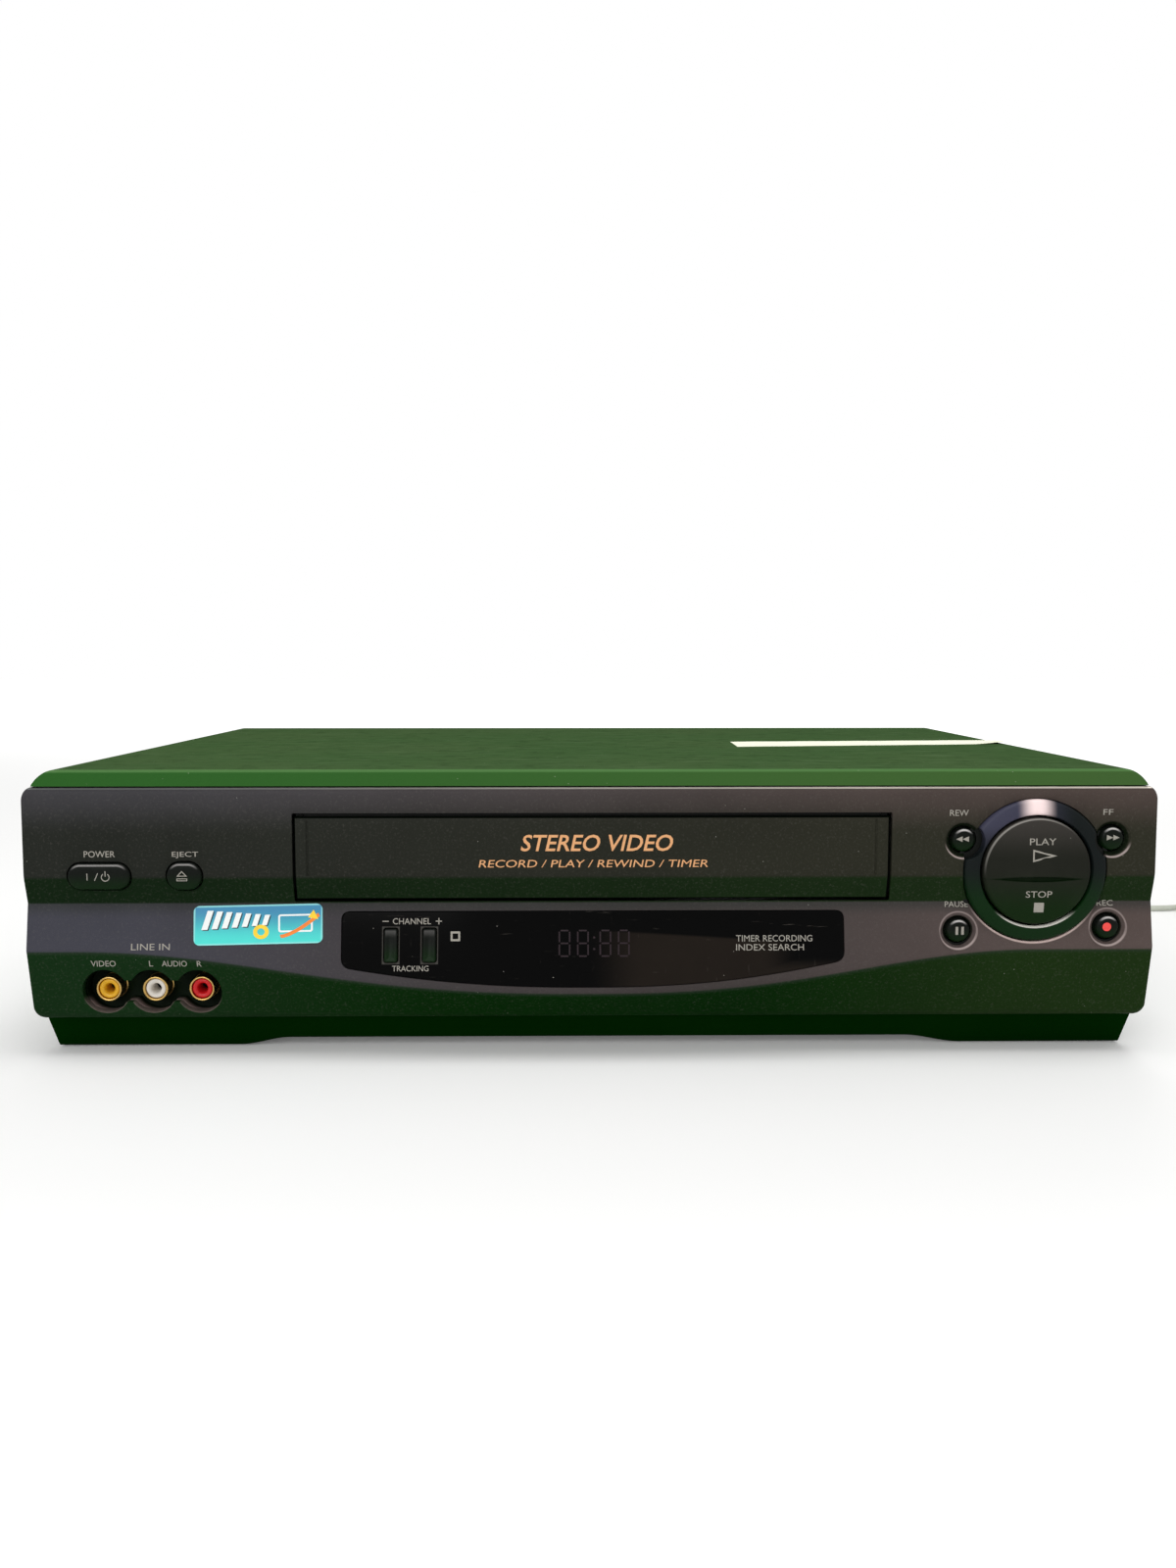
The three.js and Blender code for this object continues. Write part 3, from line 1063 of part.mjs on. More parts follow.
/** The basket: floor ledges, sides and a roof with a long window, open at both ends. */
function cassetteBasket() {
  const { front, half, floor, top, ledge, window } = basket;
  const outer = box(-half, half, front, basketRear, floor, top);
  const inner = box(-half + sheet, half - sheet, front - overrun, basketRear + overrun, floor + sheet, top - sheet);
  const belly = box(ledge - half, half - ledge, front - overrun, basketRear + overrun, floor - overrun,
    floor + 2 * sheet);
  const roof = [-1, 1].map((side) => floorPlate(roundedRectangle(side * half / 2, front + basket.depth / 2,
    window, basket.depth / 2, wall), top - 2 * sheet, top + overrun, round.small / 4));
  const pins = carriagePins(half - sheet / 2, sliderOuter - clearance);
  return join(cut(outer, inner, belly, roof), pins);
}

/** Two pins at each side, near the front and the rear, from inner to outer half width. */
function carriagePins(inner, outer, height = carriagePin.height) {
  return [-1, 1].flatMap((side) => [basket.front + carriagePin.inset, basketRear - carriagePin.inset].map((y) =>
    axle(y, height, Math.min(side * inner, side * outer), Math.max(side * inner, side * outer), carriagePin.radius)));
}
add("cassette_basket", cassetteBasket(), finish.steel);

/** The slider: a frame over the basket whose sides have the basket's upright slots. */
function carriageSlider() {
  const { front } = basket;
  const sides = [-1, 1].map((side) => box(Math.min(side * slider.inner, side * sliderOuter),
    Math.max(side * slider.inner, side * sliderOuter), front, basketRear, slider.low, slider.top));
  const bridge = box(-sliderOuter, sliderOuter, basketRear - slider.bridgeDepth, basketRear, slider.top - sheet,
    slider.top);
  const reach = carriagePin.radius + carriagePin.play;
  const slots = [front + carriagePin.inset, basketRear - carriagePin.inset].map((y) => sidePlate(slotOutline(
    [y, carriagePin.height], [y, carriagePin.height - lowering], reach), -2 * slider.inner, 2 * slider.inner,
  round.small / 2));
  return join(cut(join(sides, bridge), slots), carriagePins(sliderOuter - sheet / 2, bracket.inner + sheet,
    bracket.railHeight));
}
add("carriage_slider", carriageSlider(), finish.steel);

/** A bracket on the deck with the long slot in which the slider's pins run. */
function carriageBracket(side) {
  const [x0, x1] = [side * bracket.inner, side * (bracket.inner + sheet)].sort((a, b) => a - b);
  const [f0, f1] = [side * bracket.inner, side * (deck.half + sheet)].sort((a, b) => a - b);
  const upright = box(x0, x1, bracket.front, bracket.rear, bracket.low, bracket.high);
  const foot = box(f0, f1, bracket.front, bracket.rear, bracket.low, bracket.low + sheet);
  const reach = carriagePin.radius + carriagePin.play;
  const slot = sidePlate(slotOutline([basket.front + carriagePin.inset, bracket.railHeight],
    [basketRear - carriagePin.inset + travel, bracket.railHeight], reach), x0 - overrun, x1 + overrun, round.small / 2);
  const window = sidePlate(roundedRectangle((bracket.front + bracket.rear) / 2, (bracket.low + slider.low) / 2,
    (bracket.rear - bracket.front) / 2, (slider.low - bracket.low) / 2, wall), x0 - overrun, x1 + overrun,
  round.small / 4);
  return cut(join(upright, foot), slot, window);
}
add("carriage_bracket_left", carriageBracket(-1), finish.steel);
add("carriage_bracket_right", carriageBracket(1), finish.steel);

// The mains lead: its relief in the rear panel, the run that lies free, the coil that the rest is wound into,
// a tie round the coil, the short end and the plug.
const lead = { radius: 1.4, sides: 8, steps: 40, endSteps: 12, gap: 0.3 };
const relief = { base: 4.9, clip: 6.4, clipDepth: 2, tip: 2.3, length: 24, ribs: 4, ribDepth: 0.6 };
const reliefEnd = rear.front + rear.thickness + relief.length;

/** The relief: a clip on each side of the panel and a ribbed taper. */
function strainRelief() {
  const panelFront = rear.front - clearance;
  const panelBack = rear.front + rear.thickness + clearance;
  const square = (half, y0, y1) => box(exit.x - half, exit.x + half, y0, y1, exit.z - half, exit.z + half);
  const profile = [[0, panelBack], [relief.base, panelBack]];
  const ribStep = (reliefEnd - panelBack - relief.clipDepth) / relief.ribs;
  Array.from({ length: relief.ribs }).forEach((_, i) => {
    const y = panelBack + relief.clipDepth + i * ribStep;
    const radius = relief.base + (relief.tip - relief.base) * (i + 1) / relief.ribs;
    profile.push([radius + relief.ribDepth, y], [radius + relief.ribDepth, y + ribStep / 2],
      [radius, y + ribStep / 2], [radius, y + ribStep]);
  });
  profile.push([0, reliefEnd]);
  return join(
    turnedAlongY(profile, exit.x, exit.z, round.small),
    square(relief.base, panelFront - relief.clipDepth / 2, panelBack + relief.clipDepth / 2),
    square(relief.clip, panelFront - relief.clipDepth, panelFront),
    square(relief.clip, panelBack, panelBack + relief.clipDepth),
  );
}
add("cord_strain_relief", strainRelief(), finish.whitePlastic, cord);

// The coil: layers of turns that spiral in and out, and climb in the half turn where the spiral reverses.
const tie = { width: 3, thickness: 0.5 };
const coil = { x: 324, y: 200, outer: 23, pitch: 3.8, rise: 3.7, layers: 4, turnsPerLayer: 2, steps: 24, sides: 6 };
const coilInner = coil.outer - coil.pitch * coil.turnsPerLayer;
const coilLow = tie.thickness + clearance + lead.radius;
const coilHigh = coilLow + coil.rise * (coil.layers - 1) + lead.radius;

/** A share that starts and ends gently. */
const gently = (share) => share * share * (3 - 2 * share);

/** The coil's point after so many steps, at a radius and on a layer. */
function coilPoint(turn, radius, layer) {
  const angle = Math.PI / 2 - turn * 2 * Math.PI / coil.steps;
  return new THREE.Vector3(coil.x + radius * Math.cos(angle), coil.y + radius * Math.sin(angle),
    coilLow + coil.rise * layer);
}

/** The coil's centre line, clockwise from its rear side, seen from above. */
function coilLine() {
  const points = [];
  let turn = 0;
  spread(0, coil.layers - 1, coil.layers - 1).forEach((layer) => {
    const inwards = layer % 2 === 0;
    for (let i = 0; i < coil.turnsPerLayer * coil.steps; i++, turn++) {
      const way = coil.pitch * i / coil.steps;
      points.push(coilPoint(turn, inwards ? coil.outer - way : coilInner + way, layer));
    }
    const climbSteps = layer + 1 < coil.layers ? coil.steps / 2 : 1;
    for (let i = 0; i < climbSteps; i++, turn++) {
      points.push(coilPoint(turn, inwards ? coilInner : coil.outer, layer + gently(i / climbSteps)));
    }
  });
  return points;
}

/** The line with a straight, level end of one diameter at both ends. */
function withStraightEnds(points) {
  const beyond = (end, before) => end.clone().add(end.clone().sub(before).setZ(0).normalize()
    .multiplyScalar(2 * lead.radius));
  return [beyond(points[0], points[1]), ...points, beyond(points.at(-1), points.at(-2))];
}

/** An unbroken tube along close points. */
function woundTube(line, sides) {
  const rings = line.map((point, i) => {
    const ahead = line[Math.min(i + 1, line.length - 1)].clone().sub(line[Math.max(i - 1, 0)]);
    const side = new THREE.Vector3(0, 0, 1).cross(ahead).normalize();
    const up = ahead.clone().cross(side).normalize();
    return Array.from({ length: sides }, (_, k) => {
      const angle = (k + 1 / 2) * 2 * Math.PI / sides;
      return point.clone().addScaledVector(side, lead.radius * Math.cos(angle))
        .addScaledVector(up, lead.radius * Math.sin(angle)).toArray();
    });
  });
  return loft(rings, 0);
}

/** The least gap between turns that aren't neighbours along the line. */
function leastGap(points, skip) {
  const distances = points.flatMap((point, i) => points.slice(i + skip).map((other) => point.distanceTo(other)));
  return Math.min(...distances) - 2 * lead.radius;
}

const coilRoute = withStraightEnds(coilLine());
add("mains_lead_coil", woundTube(coilRoute, coil.sides), finish.cordJacket, cord);
console.log(`coil: least gap between turns ${leastGap(coilRoute, coil.steps / 2).toFixed(3)} mm`);

/** A round lead through hand-chosen points. */
function leadThrough(route, steps) {
  const path = new THREE.CatmullRomCurve3(route, false, "centripetal");
  const section = new THREE.Shape();
  section.absarc(0, 0, lead.radius, 0, 2 * Math.PI);
  const sides = section.getPoints(lead.sides / 2).slice(0, lead.sides);
  const tube = new THREE.ExtrudeGeometry(new THREE.Shape(sides), { steps, extrudePath: path, bevelEnabled: false });
  return { body: solid(tube), length: path.getLength() };
}
const vectors = (points) => points.map((point) => new THREE.Vector3(...point));

// Points of the free run, chosen by hand: out of the relief, down to the table behind the recorder, round to
// the right and level past its side, to the coil.
const coilStart = coilRoute[0];
const leadRoute = [
  ...vectors([
    [exit.x, reliefEnd + lead.gap, exit.z], [exit.x, 254, exit.z], [138.2, 262, 21.4], [139.6, 270, 15.6],
    [143, 277, 9.4], [150, 282.5, 4.6], [161, 286, 2.2], [175, 286, 1.6], [191, 282.5, 1.5], [208, 275, 1.5],
    [225, 264.5, 1.5], [241, 251, 1.5], [255, 238, 1.5], [267, 228, 1.5], [278, 222.4, 1.5], [289, 220.8, 1.5],
    [300, 221, 1.6], [310, coilStart.y, 2],
  ]),
  new THREE.Vector3(coilStart.x - 2 * lead.radius, coilStart.y, coilStart.z),
  new THREE.Vector3(coilStart.x - lead.gap, coilStart.y, coilStart.z),
];
const freeRun = leadThrough(leadRoute, lead.steps);
add("mains_lead", freeRun.body, finish.cordJacket, cord);

// The plug lies beside the coil, its blades to the front.
const plug = { x: 302, z: 6.6, tailY: 157, tail: 3.2, tailLength: 12, width: 20, height: 13, length: 26, corner: 3,
  neck: 14, pitch: 12.7, blade: 6.3, bladeThickness: 1.5, bladeLength: 17 };
const coilEnd = coilRoute.at(-1);
const endWay = coilEnd.clone().sub(coilRoute.at(-2)).normalize();
const endRoute = [
  coilEnd.clone().addScaledVector(endWay, lead.gap), coilEnd.clone().addScaledVector(endWay, 4 * lead.radius),
  ...vectors([[306, 174.5, 11.6], [302.8, 168.5, 9], [plug.x, 163, 7.2], [plug.x, plug.tailY + lead.gap, plug.z]]),
];
const shortEnd = leadThrough(endRoute, lead.endSteps);
add("mains_lead_end", shortEnd.body, finish.cordJacket, cord);

/** The moulded plug with its two flat blades. */
function mainsPlug() {
  const { x, z, tailY, tail, tailLength, width, height, length, corner, neck } = plug;
  const shoulder = tailY - tailLength;
  const front = shoulder - length;
  const sections = [[tailY, 2 * tail, 2 * tail, tail], [shoulder, neck / 2, neck / 2, tail],
    [shoulder - corner, width - corner, height - corner, corner], [shoulder - length / 2, width, height, corner],
    [front, width - corner, height - corner / 2, corner]];
  const body = loft(sections.map(([y, w, h, r]) => ringPoints(roundedRectangle(x, z, w, h, Math.min(r, w / 2 - clearance,
    h / 2 - clearance))).map((p) => [p.x, y, p.y])), 1);
  const blades = [-1, 1].map((side) => box(x + side * plug.pitch / 2 - plug.bladeThickness / 2,
    x + side * plug.pitch / 2 + plug.bladeThickness / 2, front - plug.bladeLength, front + wall,
    z - plug.blade / 2, z + plug.blade / 2));
  return join(body, blades);
}
add("mains_plug", mainsPlug(), finish.whitePlastic, cord);

/** The tie: a band round all the coil's turns at its right side. */
function cordTie() {
  const low = coil.x + coilInner - lead.radius - clearance;
  const high = coil.x + coil.outer + lead.radius + clearance;
  const top = coilHigh + clearance;
  const band = (grow) => roundedRectangle((low + high) / 2, top / 2 + tie.thickness / 2, high - low + 2 * grow,
    top - tie.thickness + 2 * grow, lead.radius / 2 + grow);
  return cut(frontPlate(band(tie.thickness), coil.y - tie.width / 2, coil.y + tie.width / 2, 1),
    frontPlate(band(0), coil.y - tie.width, coil.y + tie.width, 1));
}
add("cord_tie", cordTie(), finish.blackPlastic, cord);

const lengthOf = (points) => points.slice(1).reduce((sum, point, i) => sum + point.distanceTo(points[i]), 0);
console.log(`mains lead: free run ${freeRun.length.toFixed(0)} mm, coil ${lengthOf(coilRoute).toFixed(0)} mm, `
  + `short end ${shortEnd.length.toFixed(0)} mm`);

// The whole stands with its origin under the middle of the recorder, on the surface that carries it.
const extent = new THREE.Box3().setFromObject(housing);
recorder.position.y = -(extent.min.y + extent.max.y) / 2;
const part = new THREE.Group();
part.add(recorder);
export default part;
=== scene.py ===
import json
import logging
import math
from dataclasses import dataclass
from enum import Enum
from functools import reduce
from typing import Any, Callable, Sequence

import bmesh
import bpy
import numpy as np
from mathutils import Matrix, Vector
from numpy.typing import NDArray


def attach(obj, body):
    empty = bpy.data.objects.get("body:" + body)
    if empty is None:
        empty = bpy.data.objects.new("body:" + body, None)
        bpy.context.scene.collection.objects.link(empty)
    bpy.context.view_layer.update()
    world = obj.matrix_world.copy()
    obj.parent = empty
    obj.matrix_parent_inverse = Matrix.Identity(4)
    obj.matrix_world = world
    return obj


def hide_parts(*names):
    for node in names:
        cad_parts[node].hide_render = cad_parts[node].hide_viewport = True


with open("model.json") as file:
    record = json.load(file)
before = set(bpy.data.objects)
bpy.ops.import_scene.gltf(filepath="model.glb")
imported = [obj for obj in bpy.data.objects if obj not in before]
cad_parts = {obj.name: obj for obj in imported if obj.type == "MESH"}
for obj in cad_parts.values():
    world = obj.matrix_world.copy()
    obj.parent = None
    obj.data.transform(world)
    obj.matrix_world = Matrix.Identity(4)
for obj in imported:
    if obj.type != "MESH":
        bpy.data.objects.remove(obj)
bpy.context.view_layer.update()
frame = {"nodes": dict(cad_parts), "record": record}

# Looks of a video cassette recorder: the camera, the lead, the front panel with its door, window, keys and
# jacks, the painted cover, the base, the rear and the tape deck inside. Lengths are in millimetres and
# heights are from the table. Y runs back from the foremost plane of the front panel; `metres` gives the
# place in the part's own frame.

Points = NDArray[np.float64]
Colour = tuple[int, int, int]
Pair = tuple[float, float]
Triple = tuple[float, float, float]
Piece = bpy.types.Object
Material = bpy.types.Material
Face = Callable[[Points, Points], Points]

log = logging.getLogger("recorder")

# Move along Y into the part's frame, a degree in radians, the angle past which an edge stays sharp, and dust.
SHIFT_Y = -113.6316
DEGREE = math.pi / 180
CREASE = 32.0
DUST: Colour = (150, 150, 140)
# Places (x, z) of the keys and the jacks, the depth where the keys' stems end, and the jack well's radius.
STEM_END = 16.8
POWER_KEY, EJECT_KEY = (-156.4, 60.6), (-129.5, 60.65)
ROUND_KEYS: dict[str, Pair] = {
    "rewind": (118.5, 71.7), "fast_forward": (166.15, 72.1), "pause": (117.7, 42.2), "record": (166.0, 43.2)}
UPPER_KEYS = ("rewind", "fast_forward")
CHANNEL_KEYS_X, CHANNEL_KEYS_Z = (-64.5, -52.2), 38.1
JACKS_X, JACKS_Z = (-156.5, -141.5, -126.5), 22.9
JACK_WELL = 7.4


def metres(points: Points) -> Points:
    """Place in the part's frame: each millimetre point moved along Y by SHIFT_Y, over 1000.

    Args:
        points: Points in millimetres, with their last axis of length 3.

    Returns:
        The same points in metres.
    """
    return (np.asarray(points, float) + np.array([0.0, SHIFT_Y, 0.0])) / 1000


def linear(colour: Colour) -> tuple[float, float, float, float]:
    """Scene-linear colour of a display colour of 0 to 255, by the usual display curve, with alpha 1."""
    share = np.array(colour, float) / 255
    straight = np.where(share <= 0.04045, share / 12.92, ((share + 0.055) / 1.055) ** 2.4)
    return (*(float(v) for v in straight), 1.0)


def smooth_share(values: Points, low: float, high: float) -> Points:
    """Share from 0 to 1 between two limits, eased: s * s * (3 - 2 s)."""
    share = np.clip((values - low) / (high - low), 0, 1)
    return share * share * (3 - 2 * share)


def binary(operation: str) -> Callable[["Value", Any], "Value"]:
    """A method of Value with one more input, as one Math node of a named operation."""
    return lambda value, other: value.math(operation, other)


class Value:
    """A socket that carries a value. Arithmetic on it adds Math nodes to its material."""

    def __init__(self, graph: "Graph", socket: Any) -> None:
        """Holds the socket and the graph that it belongs to."""
        self.graph = graph
        self.socket = socket

    def math(self, operation: str, *others: Any) -> "Value":
        """Adds one Math node.

        Args:
            operation: The Math node's operation.
            others: Its further inputs, after this value.

        Returns:
            The node's result.
        """
        inputs = {i: value for i, value in enumerate((self, *others))}
        return self.graph.node("ShaderNodeMath", {"operation": operation}, inputs)

    __add__ = __radd__ = binary("ADD")
    __sub__ = binary("SUBTRACT")
    __mul__ = __rmul__ = binary("MULTIPLY")
    __truediv__ = binary("DIVIDE")
    __pow__ = binary("POWER")
    # The smaller of two, the larger of two, and 1 where the value is over a limit, else 0.
    least, most, over = binary("MINIMUM"), binary("MAXIMUM"), binary("GREATER_THAN")

    def __rsub__(self, other: float) -> "Value":
        """Difference, this value taken from a number."""
        return self * -1.0 + other

    def size(self) -> "Value":
        """The value without its sign."""
        return self.math("ABSOLUTE")

    def between(self, low: float, rise: float, fall: float, high: float) -> "Value":
        """Smooth step from 0 at low to 1 at rise, and back from 1 at fall to 0 at high."""
        return self.eased(low, rise) * self.eased(high, fall)

    def eased(self, low: float, high: float) -> "Value":
        """Smooth step from 0 at low to 1 at high; low may be the larger."""
        return self.graph.node("ShaderNodeMapRange", {"interpolation_type": "SMOOTHSTEP"},
                               {0: self, 1: low, 2: high, 3: 0.0, 4: 1.0})


class Graph:
    """One material and the nodes that are put into it."""

    def __init__(self, name: str) -> None:
        """Makes an empty material."""
        self.material = bpy.data.materials.new(name)
        self.material.use_nodes = True
        self.material.node_tree.nodes.clear()

    def node(self, kind: str, settings: dict[str, Any] | None = None, inputs: dict[Any, Any] | None = None,
             output: Any = 0) -> Value:
        """Adds a node.

        Args:
            kind: The node's type.
            settings: Its own settings, set first. A ramp's are under "stops": (place, colour) pairs.
            inputs: Values or links for its sockets, by name or number.
            output: The name or number of the output that is wanted.

        Returns:
            That output.
        """
        made = self.material.node_tree.nodes.new(kind)
        for key, value in (settings or {}).items():
            if key == "stops":
                for i, (place, colour) in enumerate(value):
                    stops = made.color_ramp.elements
                    stop = stops[i] if i < 2 else stops.new(place)
                    stop.position, stop.color = place, colour
            else:
                setattr(made, key, value)
        for key, value in (inputs or {}).items():
            if isinstance(value, Value):
                self.material.node_tree.links.new(value.socket, made.inputs[key])
            else:
                made.inputs[key].default_value = value
        return Value(self, made.outputs[output])

    def place(self) -> Value:
        """Object coordinates, in metres."""
        return self.node("ShaderNodeTexCoord", output="Object")

    def axes(self) -> tuple[Value, Value, Value]:
        """The place on the piece in millimetres: X, Y back from the panel's front plane, Z."""
        made = self.node("ShaderNodeSeparateXYZ", inputs={0: self.place()})
        outputs = made.socket.node.outputs
        x, y, z = (Value(self, outputs[i]) for i in range(3))
        return x * 1000.0, y * 1000.0 - SHIFT_Y, z * 1000.0

    def stretched(self, scale: Triple, turn: Triple = (0, 0, 0)) -> Value:
        """Object coordinates turned by degrees and scaled along each axis."""
        return self.node("ShaderNodeMapping", {}, {
            "Vector": self.place(), "Rotation": tuple(t * DEGREE for t in turn), "Scale": scale})

    def noise(self, scale: float, detail: float = 2.0, roughness: float = 0.5,
              vector: Value | None = None) -> Value:
        """Noise from 0 to 1 with so many features per metre."""
        return self.node("ShaderNodeTexNoise", {}, {
            "Vector": vector or self.place(), "Scale": scale, "Detail": detail, "Roughness": roughness})

    def specks(self, scale: float, size: float, share: float) -> Value:
        """Small dots at random places.

        Args:
            scale: Cells per metre, with at most one dot in each.
            size: Radius of a dot as a share of its cell.
            share: Share of the cells that hold one.

        Returns:
            1 in the dots and 0 elsewhere.
        """
        cells = self.node("ShaderNodeTexVoronoi", {}, {"Vector": self.place(), "Scale": scale})
        colour = Value(self, cells.socket.node.outputs["Color"])
        picked = self.node("ShaderNodeSeparateColor", {}, {0: colour})
        return (1.0 - cells.eased(size * 0.6, size)) * picked.over(1.0 - share)

    def blend(self, first: Colour | Value, second: Colour | Value, share: Any) -> Value:
        """Mix of two colours, each a display colour of 0 to 255 or a value."""
        ends = [linear(end) if isinstance(end, tuple) else end for end in (first, second)]
        return self.node("ShaderNodeMix", {"data_type": "RGBA"}, {0: share, 6: ends[0], 7: ends[1]}, 2)

    def layers(self, base: Colour | Value, *coats: tuple[Colour | Value, Any]) -> Value:
        """Colours laid over a base in turn, as (colour, share) pairs."""
        return reduce(lambda under, coat: self.blend(under, *coat), coats, base)

    def bump(self, height: Value, depth: float, strength: float = 1.0) -> Value:
        """Normal of a surface whose height, from 0 to 1, stands for so many metres."""
        return self.node("ShaderNodeBump", {}, {"Height": height, "Distance": depth, "Strength": strength})

    def dress(self, colour: Any, roughness: Any, specular: float = 0.5, normal: Value | None = None,
              **others: Any) -> Material:
        """Ends the material in a Principled shader.

        Args:
            colour: Base colour.
            roughness: Roughness.
            specular: Level of the plain gloss.
            normal: Normal of a bumped surface.
            others: Further sockets, with _ for a space in their names.

        Returns:
            The material.
        """
        inputs = {"Base Color": colour, "Roughness": roughness, "Specular IOR Level": specular,
                  **{name.replace("_", " "): value for name, value in others.items()}}
        shader = self.node("ShaderNodeBsdfPrincipled", {}, inputs | ({"Normal": normal} if normal else {}))
        end = self.material.node_tree.nodes.new("ShaderNodeOutputMaterial")
        self.material.node_tree.links.new(shader.socket, end.inputs["Surface"])
        return self.material


def polar(x: Value, z: Value, middle: Pair) -> tuple[Value, Value, Value]:
    """Ways to the right of a place and up from it, and the distance sqrt(right^2 + up^2)."""
    right, up = x - middle[0], z - middle[1]
    return right, up, (right * right + up * up) ** 0.5


def jack_reach(x: Value, z: Value) -> tuple[Value, Value]:
    """Height over the front jacks' axes, and the distance from the nearest axis."""
    lobe = reduce(Value.least, [(x - middle).size() for middle in JACKS_X])
    up = z - JACKS_Z
    return up, (lobe * lobe + up * up) ** 0.5


@dataclass(frozen=True)
class Finish:
    """A finish. Its kinds below say how it is made."""

    name: str

    def material(self) -> Material:
        """The finish as a material, made once."""
        name = f"{self.name}_finish"
        return bpy.data.materials.get(name) or self.make(Graph(name))

    def make(self, graph: Graph) -> Material:
        """Builds the material."""
        raise NotImplementedError


@dataclass(frozen=True)
class Moulding(Finish):
    """Moulded plastic: a fine grain, slight clouding, handling marks and a few dust specks."""

    colour: Colour = (40, 42, 40)
    worn: Colour = (70, 72, 70)
    roughness: float = 0.42
    specular: float = 0.3
    grain: float = 3600.0
    depth: float = 0.00003
    dust: float = 0.05

    def make(self, graph: Graph) -> Material:
        """Builds the material."""
        cloud = graph.noise(28.0, 3.0)
        rub = graph.noise(220.0, 4.0, 0.65).eased(0.55, 0.85)
        colour = graph.layers(self.colour, (self.worn, cloud.eased(0.35, 0.85) * 0.22 + rub * 0.12),
                              (DUST, graph.specks(260.0, 0.06, self.dust) * 0.6))
        return graph.dress(colour, cloud * 0.14 + rub * 0.1 + (self.roughness - 0.08), self.specular,
                           graph.bump(graph.noise(self.grain, 1.0), self.depth))


